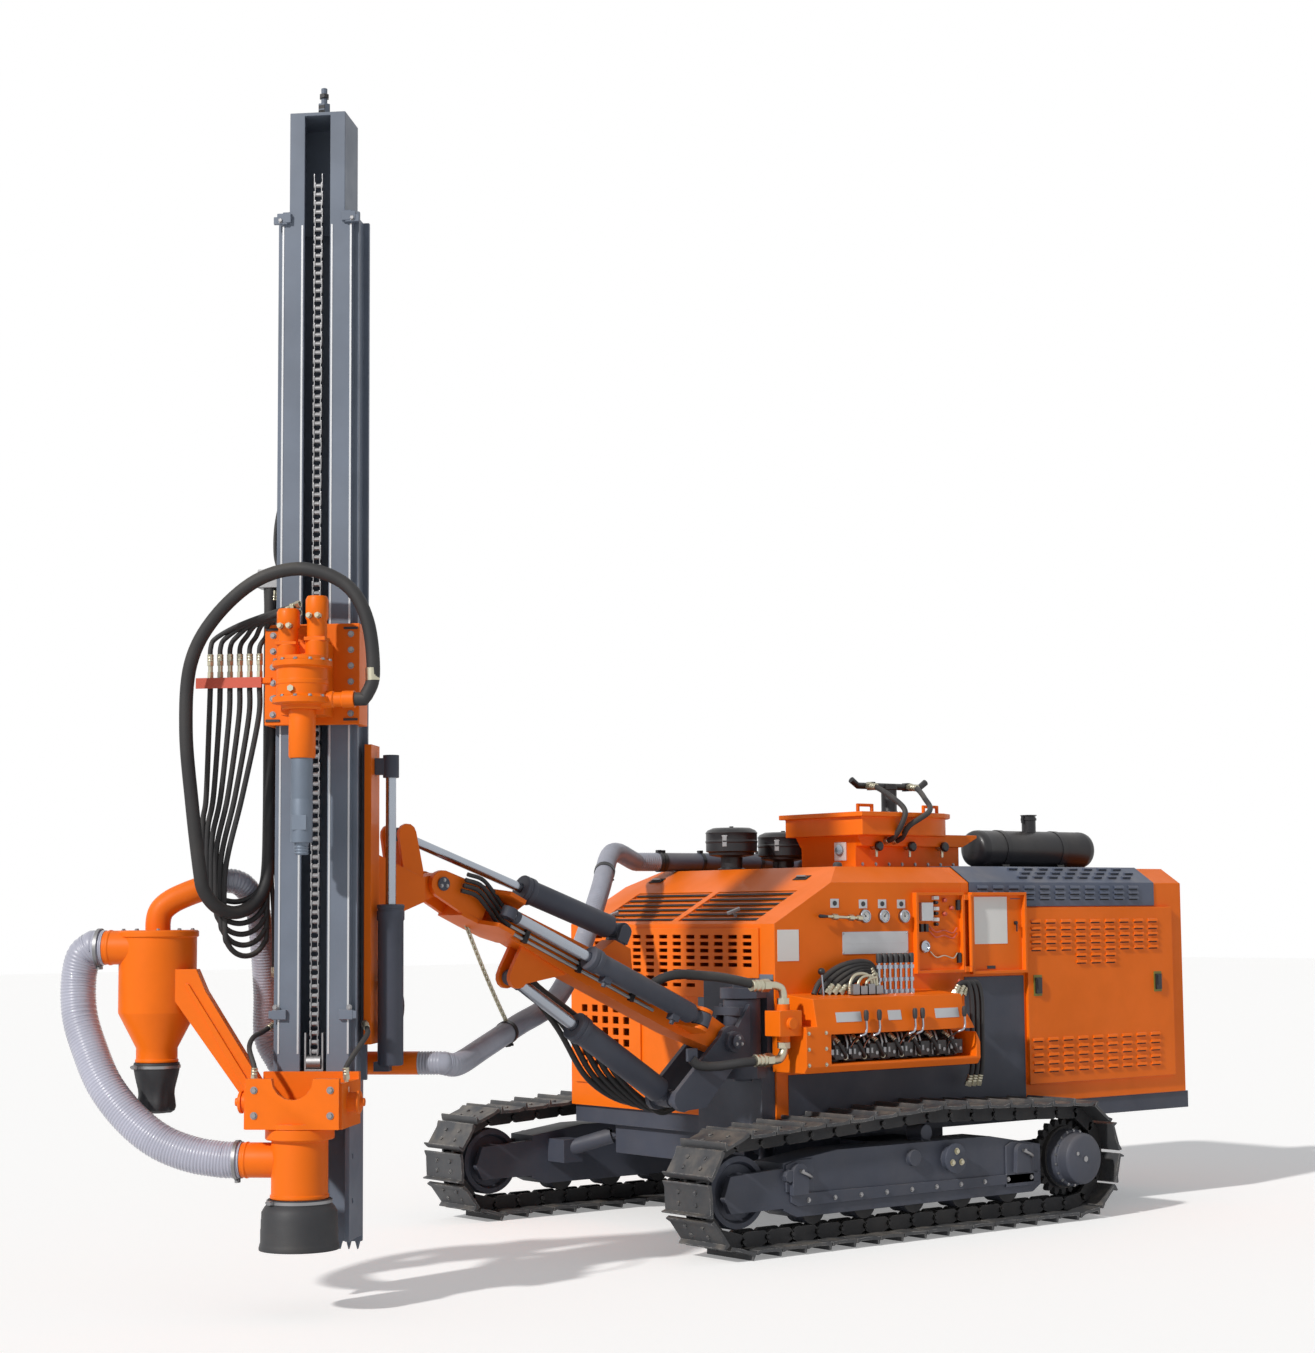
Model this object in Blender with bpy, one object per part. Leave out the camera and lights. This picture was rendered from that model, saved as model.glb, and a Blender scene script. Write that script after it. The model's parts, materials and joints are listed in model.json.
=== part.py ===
"""Crawler drilling rig: tracked carrier, housing, hinged boom and upright feed beam.

Measured in metres, +Z up, +X forward and +Y to the machine's left. The design datum is
the ground halfway between idler and sprocket. The stored origin is the middle of the
overall footprint, so every body hangs from one empty that moves the datum there.
"""
import math

import bmesh
import bpy
from mathutils import Matrix, Vector

for leftover in list(bpy.data.objects):
    bpy.data.objects.remove(leftover, do_unlink=True)

# Fits
SEAT = 0.0003          # between pieces that touch
ROD_FIT = 0.0005       # between a piston rod and its gland
PIN_FIT = 0.0006       # between a pin and its bore
SLIDE_FIT = 0.0009     # between a guide and its rail

# Facets round a turned piece
WHEEL_SIDES = 20
DRUM_SIDES = 18
BAR_SIDES = 12
PIN_SIDES = 8

# Tracks
SHOE_PITCH = 0.154
SHOE_WIDTH = 0.33
SHOE_PLATE = 0.018
GROUSER = 0.030
LINK_DEPTH = 0.070
LINK_WIDTH = 0.110
TRACK_GAP = 0.010      # from the body's side to a track
WHEEL_BASE = 2.22      # idler axle to sprocket axle
IDLER_PATH_R = 0.250
SPROCKET_PATH_R = 0.265
CARRIER_X = -0.10      # return roller that lifts the top run
CARRIER_Z = 0.50
CARRIER_R = 0.045
ROLLER_R = 0.075
ROLLER_COUNT = 5
DRIVE_COVER_R = 0.130

BODY_HALF_Y = 0.83
TRACK_INNER_Y = BODY_HALF_Y + TRACK_GAP
TRACK_Y = TRACK_INNER_Y + SHOE_WIDTH / 2
PATH_LOW_Z = SHOE_PLATE + GROUSER
IDLER_X = WHEEL_BASE / 2
SPROCKET_X = -WHEEL_BASE / 2
IDLER_Z = PATH_LOW_Z + IDLER_PATH_R
SPROCKET_Z = PATH_LOW_Z + SPROCKET_PATH_R
FRAME_HALF_Y = 0.100   # half width of a track frame
CHASSIS_HALF_Y = BODY_HALF_Y - 0.31

# Base frame and housing
BODY_FRONT_X = 0.675
BODY_REAR_X = -2.34
HOUSING_SPLIT_X = -0.60
DECK_LOW_Z = 0.49
DECK_TOP_Z = 0.58
FRONT_EDGE_Z = 1.53    # top of the upright front panel
SHOULDER_Z = 1.73      # where the sides bend into the roof
ROOF_Z = 1.812
ROOF_INSET = 0.13
ROOF_FRONT_X = 0.15
SHEET = 0.025
COVER = 0.006          # louvred cover over the shoulders
COVER_X = (-2.11, -0.66)
COVER_LOW_Z = 1.605
ENGINE_X = (-2.15, -0.95)
ENGINE_HALF_Y = 0.48
ENGINE_TOP_Z = 1.45
BENCH_X = (0.70, -0.47)
BENCH_DEPTH = 0.25

# Front grille: slots in the upper plate and square holes below
GRILLE = 0.010
SLOT_FIRST = (-0.576, 1.466)
SLOT_STEP = (0.110, -0.0345)
SLOT_SIZE = (0.066, 0.018)
MESH_FIRST = (-0.70, 1.09)
MESH_STEP = (0.090, -0.058)
MESH_SIZE = (0.050, 0.036)

# Louvred openings in the sloped front, along the slope and across
VENT_START = 0.030
VENT_END = 0.345
VENT_WIDTHS = ((-0.66, -0.05), (0.0, 0.62))
VENT_BLADES = 6

# Boom, in the upright plane BOOM_Y
BOOM_Y = BODY_HALF_Y - 0.08
SWING_X = 0.82
SWING_LOW_Z = 0.87
SWING_TOP_Z = 1.17
SWING_PIN_R = 0.045
BOOM_FOOT = (0.978, 0.977)
BOOM_RISE = math.radians(24.6)
BOOM_HALF_Y = 0.075
BOOM_ROOT_HALF = 0.085
BOOM_TIP_HALF = 0.060
HEAD_SWING_S = 1.42    # along the boom from its foot pin
HEAD_PIN_S = 1.782
TILT_BASE = (0.743, 0.235)
TILT_EYE = (2.029, 0.1245)
EAR_GAP = 0.060        # from the middle to an ear for the tilt rod
LIFT_BASE = (1.272, 0.72)
LIFT_EYE = (1.22, -0.20)
YAW_BASE = (0.27, 0.185)
YAW_EYE = (1.47, 0.185)
LUG_GAP = 0.005
FOOT_PIN_R = 0.028
HEAD_SWING_PIN_R = 0.030
HEAD_PIN_R = 0.025
CYLINDER_PIN_R = 0.018

# Feed beam, upright, its face turned out to the left of straight ahead
FEED_X = 3.245
FEED_Y = BOOM_Y + 0.155
FEED_TURN = math.radians(45.0)
BEAM_HALF_W = 0.150
BEAM_HALF_N = 0.130
BEAM_WALL = 0.014
BEAM_SLOT = 0.110
BEAM_LOW_Z = 0.90
BEAM_TOP_Z = 4.56
HEAD_BOX_TOP_Z = 4.99
SCREW_TOP_Z = 5.13
RAIL_OUT = 0.025
DRILL_N = 0.33         # drill axis in front of the beam's middle
CARRIAGE_LOW_Z = 2.37
CARRIAGE_TOP_Z = 2.79
ROD_R = 0.0445
SPINDLE_R = 0.055
HOLDER_LOW_Z = 1.05
HOLDER_CHEEK = 0.030
HOLDER_TOP_Z = 2.30
STRING_LOW_Z = 1.83
TABLE_LOW_Z = 0.74
TABLE_TOP_Z = 0.94
TABLE_HALF_W = 0.20
TABLE_NOTCH_R = 0.085
STRING_HOLE_R = 0.070
HOOD_R = 0.1135
HOOD_LOW_Z = 0.46
BOOT_R = 0.155
BOOT_LOW_Z = 0.26
FOOT_Z = 0.20
FOOT_TEETH = 8
CHAIN_PITCH = 0.16
CYCLONE_W = 0.67
CYCLONE_N = 0.10
CYCLONE_R = 0.160
CYCLONE_TOP_Z = 1.53
CONE_LOW_Z = 0.985
DUST_HOSE_R = 0.075
INLET_W = 0.87         # end of the cyclone's inlet pipe
INLET_N = 0.17
INLET_Z = 1.46
INLET_R = 0.070
OUTLET_R = 0.052
BRANCH_W = 0.235       # end of the hood's side branch
BRANCH_Z = 0.61
AIR_W = 0.22           # end of the air pipe on the rotation head
AIR_Z = CARRIAGE_LOW_Z + 0.09
ELBOW_Z = 0.96         # dust pipe that passes behind the beam
ELBOW_N = -0.255
ELBOW_W = -0.36
ROOF_PIPE = (0.24, -0.60)
ANCHOR_Z = 2.97        # where the carriage hoses end on the beam
ROOF_PIPE_R = 0.050
ROOF_BEND = (-0.62, -0.52)
COLLECTOR_X = (-0.98, -0.22)
COLLECTOR_Y = (0.03, 0.45)
COLLECTOR_TOP_Z = 1.985
HOPPER = (-0.64, 0.27)
HOPPER_R = 0.30
HOPPER_X = -0.16
HOPPER_TOP_Z = 2.10

FRONT_REACH = FEED_X + (INLET_W + INLET_N + 0.12) * math.cos(FEED_TURN) + DUST_HOSE_R
LEFT_REACH = FEED_Y + (DRILL_N + 0.235) * math.cos(FEED_TURN) + 0.03
RIGHT_REACH = TRACK_Y + 0.185
RIG_MIDDLE = Vector(((FRONT_REACH + BODY_REAR_X - 0.03) / 2, (LEFT_REACH - RIGHT_REACH) / 2, 0.0))

# Bodies: name, parent, joint axis point in the datum
FOOT_PIN = Vector((BOOM_FOOT[0], BOOM_Y, BOOM_FOOT[1]))


def frame_of(origin, x_axis, z_hint):
    """Right-handed frame at origin with X along x_axis and Z as near z_hint as can be."""
    x_dir = Vector(x_axis).normalized()
    y_dir = Vector(z_hint).cross(x_dir).normalized()
    z_dir = x_dir.cross(y_dir)
    frame = Matrix((x_dir, y_dir, z_dir)).transposed().to_4x4()
    frame.translation = Vector(origin)
    return frame


BOOM = frame_of(FOOT_PIN, (math.cos(BOOM_RISE), 0, math.sin(BOOM_RISE)), (0, 0, 1))
FEED = frame_of((FEED_X, FEED_Y, 0), (math.sin(FEED_TURN), -math.cos(FEED_TURN), 0), (0, 0, 1))


def boom_point(along, above, aside=0.0):
    return BOOM @ Vector((along, aside, above))


def feed_point(w, n, z):
    return FEED @ Vector((w, n, z))


HEAD_PIN = boom_point(HEAD_PIN_S, 0)
LIFT_PIN = Vector((LIFT_BASE[0], BOOM_Y, LIFT_BASE[1]))
DRILL = feed_point(0, DRILL_N, 0)
OUTLET_START = feed_point(CYCLONE_W + 0.02, CYCLONE_N, CYCLONE_TOP_Z + 0.055)
OUTLET_END = feed_point(CYCLONE_W - 0.17, CYCLONE_N - 0.04, CYCLONE_TOP_Z + 0.17)
EL_DOOR_X = -0.63
EL_DOOR_Y = BODY_HALF_Y + 0.041
DOOR_TOP_Z = 1.60
DOOR_LOW_Z = 0.675
DOOR_FRONT_X = -1.07
DOOR_REAR_X = -2.235
DOOR_PLATE = 0.022

BODIES = (
    ("root", None, Vector((0, 0, 0))),
    ("swing_bracket", "root", Vector((SWING_X, BOOM_Y, SWING_LOW_Z))),
    ("boom", "swing_bracket", FOOT_PIN),
    ("lift_barrel", "swing_bracket", LIFT_PIN),
    ("lift_rod", "lift_barrel", boom_point(*LIFT_EYE)),
    ("boom_head", "boom", boom_point(HEAD_SWING_S, 0)),
    ("yaw_barrel", "boom", boom_point(YAW_BASE[0], 0, YAW_BASE[1])),
    ("yaw_rod", "yaw_barrel", boom_point(YAW_EYE[0], 0, YAW_EYE[1])),
    ("tilt_trunnion", "boom", boom_point(*TILT_BASE)),
    ("tilt_barrel", "tilt_trunnion", boom_point(*TILT_BASE)),
    ("tilt_rod", "tilt_barrel", boom_point(*TILT_EYE)),
    ("feed_holder", "boom_head", HEAD_PIN),
    ("feed_beam", "feed_holder", feed_point(0, 0, BEAM_LOW_Z)),
    ("carriage", "feed_beam", feed_point(0, 0, CARRIAGE_LOW_Z)),
    ("spindle", "carriage", DRILL + Vector((0, 0, CARRIAGE_LOW_Z))),
    ("electrical_door", "root", Vector((EL_DOOR_X, EL_DOOR_Y, DOOR_TOP_Z))),
    ("side_door_left", "root", Vector((-1.6, BODY_HALF_Y + DOOR_PLATE, DOOR_TOP_Z))),
    ("side_door_right", "root", Vector((-1.6, -BODY_HALF_Y - DOOR_PLATE, DOOR_TOP_Z))),
)
PIVOT = {name: pivot for name, _, pivot in BODIES}

# Materials: name, colour, roughness, metallic
PAINTS = {
    "orange_paint": ((0.90, 0.27, 0.03), 0.42, 0.0),
    "slate_paint": ((0.105, 0.125, 0.16), 0.50, 0.0),
    "track_steel": ((0.07, 0.075, 0.085), 0.60, 0.6),
    "black_rubber": ((0.02, 0.02, 0.022), 0.75, 0.0),
    "black_paint": ((0.02, 0.02, 0.022), 0.40, 0.0),
    "chrome": ((0.75, 0.76, 0.78), 0.15, 1.0),
    "bare_steel": ((0.35, 0.36, 0.38), 0.40, 1.0),
    "grey_hose": ((0.42, 0.43, 0.47), 0.45, 0.0),
    "engine_grey": ((0.20, 0.21, 0.22), 0.55, 0.3),
}


def paint(name):
    """Principled material of that name, made once."""
    if name in bpy.data.materials:
        return bpy.data.materials[name]
    colour, roughness, metallic = PAINTS[name]
    material = bpy.data.materials.new(name)
    material.use_nodes = True
    shader = material.node_tree.nodes["Principled BSDF"]
    shader.inputs["Base Color"].default_value = (*colour, 1.0)
    shader.inputs["Roughness"].default_value = roughness
    shader.inputs["Metallic"].default_value = metallic
    return material


def make_bodies():
    """One empty on each joint axis, the root one carrying the shift to the origin."""
    empties = {}
    for name, parent, pivot in BODIES:
        empty = bpy.data.objects.new("axis_" + name, None)
        bpy.context.collection.objects.link(empty)
        if parent is None:
            empty.location = -RIG_MIDDLE
        else:
            empty.parent = empties[parent]
            empty.location = pivot - PIVOT[parent]
        empties[name] = empty
    return empties


# Shapes, each a loose closed piece in the datum


def solid(vertices, faces, frame=Matrix()):
    """Closed piece with its faces turned outwards."""
    mesh = bpy.data.meshes.new("piece")
    mesh.from_pydata([frame @ Vector(v) for v in vertices], [], faces)
    form = bmesh.new()
    form.from_mesh(mesh)
    bmesh.ops.remove_doubles(form, verts=form.verts, dist=1e-6)
    bmesh.ops.recalc_face_normals(form, faces=form.faces)
    form.to_mesh(mesh)
    form.free()
    piece = bpy.data.objects.new("piece", mesh)
    bpy.context.collection.objects.link(piece)
    return piece


def prism(outline, low, high, frame=Matrix(), along="z"):
    """Outline in the two other axes, pushed from low to high along one axis."""
    place = {
        "x": lambda a, b, t: (t, a, b),
        "y": lambda a, b, t: (a, t, b),
        "z": lambda a, b, t: (a, b, t),
    }[along]
    count = len(outline)
    vertices = [place(a, b, t) for t in (low, high) for a, b in outline]
    faces = [tuple(range(count)), tuple(range(count, 2 * count))]
    for i in range(count):
        j = (i + 1) % count
        faces.append((i, j, count + j, count + i))
    return solid(vertices, faces, frame)


def block(low, high, frame=Matrix()):
    corners = [(low[0], low[1]), (high[0], low[1]), (high[0], high[1]), (low[0], high[1])]
    return prism(corners, low[2], high[2], frame)


def turned(profile, frame=Matrix(), sides=DRUM_SIDES):
    """Turn (radius, height) points about the frame's Z. Radius 0 closes on the axis."""
    rings = []
    vertices = []
    for radius, height in profile:
        if radius == 0:
            rings.append([len(vertices)] * sides)
            vertices.append((0, 0, height))
            continue
        rings.append(list(range(len(vertices), len(vertices) + sides)))
        for k in range(sides):
            angle = 2 * math.pi * k / sides
            vertices.append((radius * math.cos(angle), radius * math.sin(angle), height))
    faces = []
    closed = profile[0][0] > 0
    last = len(rings) if closed else len(rings) - 1
    for i in range(last):
        ring, following = rings[i], rings[(i + 1) % len(rings)]
        for k in range(sides):
            m = (k + 1) % sides
            corners = []
            for index in (ring[k], ring[m], following[m], following[k]):
                if index not in corners:
                    corners.append(index)
            if len(corners) > 2:
                faces.append(tuple(corners))
    return solid(vertices, faces, frame)


def axis_frame(start, end):
    """Frame at start whose Z runs to end."""
    z_dir = (Vector(end) - Vector(start)).normalized()
    hint = Vector((0, 1, 0)) if abs(z_dir.y) < 0.9 else Vector((1, 0, 0))
    x_dir = hint.cross(z_dir).normalized()
    frame = Matrix((x_dir, z_dir.cross(x_dir), z_dir)).transposed().to_4x4()
    frame.translation = Vector(start)
    return frame


def bar(start, end, radius, sides=BAR_SIDES):
    length = (Vector(end) - Vector(start)).length
    return turned([(0, 0), (radius, 0), (radius, length), (0, length)], axis_frame(start, end), sides)


def cross_bar(centre, half, radius, sides=BAR_SIDES):
    """Bar along Y through centre."""
    centre = Vector(centre)
    return bar(centre - Vector((0, half, 0)), centre + Vector((0, half, 0)), radius, sides)


def pin_bore(start, end, pin_radius):
    """Cutter whose flats clear a pin of that radius at any angle, the nearest over its corners."""
    half_step = math.pi / BAR_SIDES
    radius = (pin_radius + PIN_FIT) / math.cos(half_step)
    length = (Vector(end) - Vector(start)).length
    frame = axis_frame(start, end) @ Matrix.Rotation(half_step, 4, "Z")
    return turned([(0, 0), (radius, 0), (radius, length), (0, length)], frame, BAR_SIDES)


def span(side, first, second):
    """Low and high end of a stretch on one side of the middle."""
    return sorted((side * first, side * second))


def arc(centre, radius, start, end, steps):
    """Points on a circle between two angles in degrees."""
    points = []
    for i in range(steps + 1):
        angle = math.radians(start + (end - start) * i / steps)
        points.append((centre[0] + radius * math.cos(angle), centre[1] + radius * math.sin(angle)))
    return points


def capsule(a, b, radius_a, radius_b, steps=6):
    """Outline of two round ends joined by straight sides."""
    heading = math.degrees(math.atan2(b[1] - a[1], b[0] - a[0]))
    return (arc(a, radius_a, heading + 90, heading + 270, steps)
            + arc(b, radius_b, heading - 90, heading + 90, steps))


def add_node(name, body, material, mesh):
    """Store a finished mesh as a node that hangs from its body's empty."""
    for polygon in mesh.polygons:
        polygon.use_smooth = False
    mesh.transform(Matrix.Translation(-PIVOT[body]))
    mesh.materials.clear()
    mesh.materials.append(paint(material))
    node = bpy.data.objects.new(name, mesh)
    bpy.context.collection.objects.link(node)
    node.parent = EMPTIES[body]
    return node


def fuse(name, body, material, pieces, cuts=()):
    """Union the pieces, take the cuts away and store the result as one node."""
    base = pieces[0]
    for others, operation in ((pieces[1:], "UNION"), (cuts, "DIFFERENCE")):
        if not others:
            continue
        group = bpy.data.collections.new(name + operation)
        for piece in others:
            group.objects.link(piece)
        step = base.modifiers.new(operation, "BOOLEAN")
        step.operation = operation
        step.operand_type = "COLLECTION"
        step.collection = group
        step.solver = "EXACT"
    graph = bpy.context.evaluated_depsgraph_get()
    mesh = bpy.data.meshes.new_from_object(base.evaluated_get(graph))
    mesh.name = name
    for piece in list(pieces) + list(cuts):
        bpy.data.objects.remove(piece, do_unlink=True)
    return add_node(name, body, material, mesh)


def combine(piece, other, operation):
    """Change a loose piece by one Boolean with another, which is used up."""
    step = piece.modifiers.new("combine", "BOOLEAN")
    step.operation = operation
    step.object = other
    step.solver = "EXACT"
    graph = bpy.context.evaluated_depsgraph_get()
    piece.data = bpy.data.meshes.new_from_object(piece.evaluated_get(graph))
    piece.modifiers.clear()
    bpy.data.objects.remove(other, do_unlink=True)
    return piece


def smooth_route(points, spacing):
    """Evenly spaced points on a smooth curve through a route's own points."""
    route = [Vector(p) for p in points]
    ends = [route[0] * 2 - route[1]] + route + [route[-1] * 2 - route[-2]]
    fine = []
    for i in range(1, len(ends) - 2):
        p0, p1, p2, p3 = ends[i - 1:i + 3]
        for k in range(12):
            t = k / 12
            fine.append(0.5 * (2 * p1 + (p2 - p0) * t + (2 * p0 - 5 * p1 + 4 * p2 - p3) * t ** 2
                               + (3 * p1 - p0 - 3 * p2 + p3) * t ** 3))
    fine.append(route[-1])
    total = sum((b - a).length for a, b in zip(fine, fine[1:]))
    count = max(4, round(total / spacing))
    result = [fine[0]]
    walked = 0.0
    for a, b in zip(fine, fine[1:]):
        step = (b - a).length
        while len(result) < count and walked + step >= total * len(result) / count:
            result.append(a.lerp(b, (total * len(result) / count - walked) / step))
        walked += step
    result.append(fine[-1])
    return result


def hose(name, body, material, points, radius, spacing):
    """Flexible hose, straight at both ends and smooth between, spacing in diameters."""
    route = [Vector(points[0])] + smooth_route(points[1:-1], spacing * radius * 2) + [Vector(points[-1])]
    curve = bpy.data.curves.new(name, "CURVE")
    curve.dimensions = "3D"
    curve.bevel_depth = radius
    curve.bevel_resolution = 2
    curve.use_fill_caps = True
    spline = curve.splines.new("POLY")
    spline.points.add(len(route) - 1)
    for knot, place in zip(spline.points, route):
        knot.co = (*(place - PIVOT[body]), 1.0)
    curve.materials.append(paint(material))
    node = bpy.data.objects.new(name, curve)
    bpy.context.collection.objects.link(node)
    node.parent = EMPTIES[body]
    return node


# Tracks


def belt_path(circles):
    """Straight runs and arcs of a belt round circles (x, z, r), anticlockwise from the left."""
    legs = []
    count = len(circles)
    for i in range(count):
        xa, za, ra = circles[i]
        xb, zb, rb = circles[(i + 1) % count]
        heading = math.atan2(zb - za, xb - xa)
        length = math.hypot(xb - xa, zb - za)
        normal = heading - math.pi / 2 - math.asin((rb - ra) / length)
        legs.append((normal, (xa + ra * math.cos(normal), za + ra * math.sin(normal)),
                     (xb + rb * math.cos(normal), zb + rb * math.sin(normal))))
    pieces = []
    for i in range(count):
        x, z, r = circles[i]
        start = legs[i - 1][0]
        sweep = (legs[i][0] - start) % (2 * math.pi)
        pieces.append(("arc", (x, z, r, start, sweep), r * sweep))
        a, b = legs[i][1], legs[i][2]
        pieces.append(("run", (a, b), math.dist(a, b)))
    return pieces


def belt_at(pieces, distance, lift):
    """Point at a distance along the belt, lifted outwards from it."""
    distance %= sum(piece[2] for piece in pieces)
    for kind, shape, length in pieces:
        if distance <= length:
            break
        distance -= length
    if kind == "arc":
        x, z, r, start, sweep = shape
        angle = start + sweep * distance / length
        return (x + (r + lift) * math.cos(angle), z + (r + lift) * math.sin(angle))
    (xa, za), (xb, zb) = shape
    t = distance / length
    nx, nz = (zb - za) / length, -(xb - xa) / length
    return (xa + (xb - xa) * t + nx * lift, za + (zb - za) * t + nz * lift)


def ring(outer, inner, low, high):
    """Closed ring between two outlines of equal count in x and z, pushed along y."""
    count = len(outer)
    vertices = [(a, t, b) for t in (low, high) for line in (outer, inner) for a, b in line]
    faces = []
    for i in range(count):
        j = (i + 1) % count
        faces.append((i, j, count + j, count + i))
        faces.append((2 * count + i, 2 * count + j, 3 * count + j, 3 * count + i))
        faces.append((i, j, 2 * count + j, 2 * count + i))
        faces.append((count + i, count + j, 3 * count + j, 3 * count + i))
    return solid(vertices, faces)


def track_path():
    return belt_path([
        (SPROCKET_X, SPROCKET_Z, SPROCKET_PATH_R),
        (IDLER_X, IDLER_Z, IDLER_PATH_R),
        (CARRIER_X, CARRIER_Z, CARRIER_R + LINK_DEPTH),
    ])


def wheel_rim(path_radius):
    """Wheel that fits inside the straight links of a band round that radius."""
    return (path_radius - LINK_DEPTH) * math.cos(SHOE_PITCH / 2 / path_radius) - SEAT


def make_track(side, name):
    """One loop: shoes with their lugs in the outline, over the band of links."""
    path = track_path()
    length = sum(piece[2] for piece in path)
    shoes = round(length / SHOE_PITCH)
    pitch = length / shoes
    # share of the pitch, height above the path
    shoe_outline = ((0.02, SHOE_PLATE + GROUSER), (0.12, SHOE_PLATE + GROUSER),
                    (0.16, SHOE_PLATE), (0.98, SHOE_PLATE))
    outer = [belt_at(path, (i + share) * pitch, height)
             for i in range(shoes) for share, height in shoe_outline]
    inner = [belt_at(path, i * pitch, 0) for i in range(shoes)]
    band_out = [belt_at(path, i * pitch, SHOE_PLATE / 2) for i in range(shoes)]
    band_in = [belt_at(path, i * pitch, -LINK_DEPTH) for i in range(shoes)]
    middle = side * TRACK_Y
    low, high = middle - SHOE_WIDTH / 2, middle + SHOE_WIDTH / 2
    plates = combine(prism(outer, low, high, along="y"),
                     prism(inner, low - SHEET, high + SHEET, along="y"), "DIFFERENCE")
    links = ring(band_out, band_in, middle - LINK_WIDTH / 2, middle + LINK_WIDTH / 2)
    fuse(name, "root", "track_steel", [plates, links])


def make_track_frame(side, name):
    """Side plates, roller row, idler fork, lifting eyes and the front guard."""
    middle = side * TRACK_Y
    low, high = sorted((middle - FRAME_HALF_Y, middle + FRAME_HALF_Y))
    outline = [(-0.86, 0.20), (-0.80, 0.165), (0.80, 0.165), (0.88, 0.20), (0.88, 0.42),
               (0.55, 0.46), (-0.50, 0.46), (-0.86, 0.40)]
    pieces = [prism(outline, low, high, along="y")]
    fork = [(0.78, 0.21), (1.20, 0.21), (1.24, 0.28), (1.20, 0.38), (0.78, 0.40)]
    for edge in (-1, 1):
        outside = middle + edge * FRAME_HALF_Y
        inside = outside - edge * 0.030
        pieces.append(prism(fork, min(inside, outside), max(inside, outside), along="y"))
    tail = [(-0.80, 0.24), (-1.0097, 0.24), (-1.0097, 0.40), (-0.80, 0.40)]
    inner_edge = middle - side * FRAME_HALF_Y
    pieces.append(prism(tail, *sorted((inner_edge, inner_edge + side * 0.03)), along="y"))
    roller_z = PATH_LOW_Z + LINK_DEPTH + ROLLER_R + SEAT
    for i in range(ROLLER_COUNT):
        x = -0.66 + i * 1.32 / (ROLLER_COUNT - 1)
        pieces.append(cross_bar((x, middle, roller_z), LINK_WIDTH / 2, ROLLER_R))
    carrier = (CARRIER_X, middle, CARRIER_Z)
    pieces.append(cross_bar(carrier, LINK_WIDTH / 2, CARRIER_R - 0.006))
    pieces.append(block((CARRIER_X - 0.03, middle - 0.05, 0.43),
                        (CARRIER_X + 0.03, middle + 0.05, CARRIER_Z)))
    outer_face = middle + side * FRAME_HALF_Y
    pivot = (-0.212, outer_face, 0.372)
    pieces.append(cross_bar(pivot, 0.035, 0.062))
    pieces.append(cross_bar((0.047, outer_face, 0.39), 0.025, 0.040))
    for x, z in ((0.86, 0.36), (-0.70, 0.36)):
        pieces.append(cross_bar((x, outer_face, z), 0.030, 0.030, PIN_SIDES))
    fuse(name, "root", "slate_paint", pieces)


def make_idler(side, name):
    """Front wheel on its axle between the fork plates."""
    middle = side * TRACK_Y
    rim = wheel_rim(IDLER_PATH_R)
    frame = axis_frame((IDLER_X, middle - 0.05, IDLER_Z), (IDLER_X, middle + 0.05, IDLER_Z))
    wheel = turned([(0, 0.02), (0.10, 0.02), (0.13, 0.0), (rim, 0.0), (rim, 0.10), (0.13, 0.10),
                    (0.10, 0.08), (0, 0.08)], frame, WHEEL_SIDES)
    axle = cross_bar((IDLER_X, middle, IDLER_Z), FRAME_HALF_Y - 0.030 - SEAT, 0.035)
    fuse(name, "root", "slate_paint", [wheel, axle])


def make_final_drive(side, name):
    """Sprocket and the round reduction gear cover that stands out of the track."""
    middle = side * TRACK_Y
    centre = Vector((SPROCKET_X, middle, SPROCKET_Z))
    rim = wheel_rim(SPROCKET_PATH_R)
    sprocket = cross_bar(centre, 0.045, rim, WHEEL_SIDES)
    out = Vector((0, side, 0))
    cover = axis_frame(centre, centre + out)
    gear = turned([(0, -0.08), (0.10, -0.08), (0.10, 0.02), (DRIVE_COVER_R + 0.015, 0.02),
                   (DRIVE_COVER_R + 0.015, 0.10), (DRIVE_COVER_R, 0.11), (DRIVE_COVER_R, 0.165),
                   (DRIVE_COVER_R - 0.02, 0.185), (0, 0.185)], cover, WHEEL_SIDES)
    inwards, middle = span(side, TRACK_Y - 0.10, TRACK_Y)
    carrier = block((centre.x - 0.06, inwards, centre.z - 0.09), (centre.x + 0.10, middle, centre.z + 0.09))
    fuse(name, "root", "slate_paint", [sprocket, gear, carrier])


def make_chassis():
    """Cross frame under the deck, with the beams and shafts that reach the track frames."""
    reach = TRACK_Y - FRAME_HALF_Y - SEAT
    pieces = [block((-0.75, -CHASSIS_HALF_Y, 0.34), (0.62, CHASSIS_HALF_Y, DECK_LOW_Z - SEAT))]
    for side in (-1, 1):
        low, high = span(side, CHASSIS_HALF_Y - 0.05, reach)
        pieces.append(bar((-0.212, low, 0.372), (-0.212, high, 0.372), 0.055))
        pieces.append(block((-0.42, low, 0.30), (-0.02, high, 0.44)))
    fuse("chassis", "root", "slate_paint", pieces)


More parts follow.
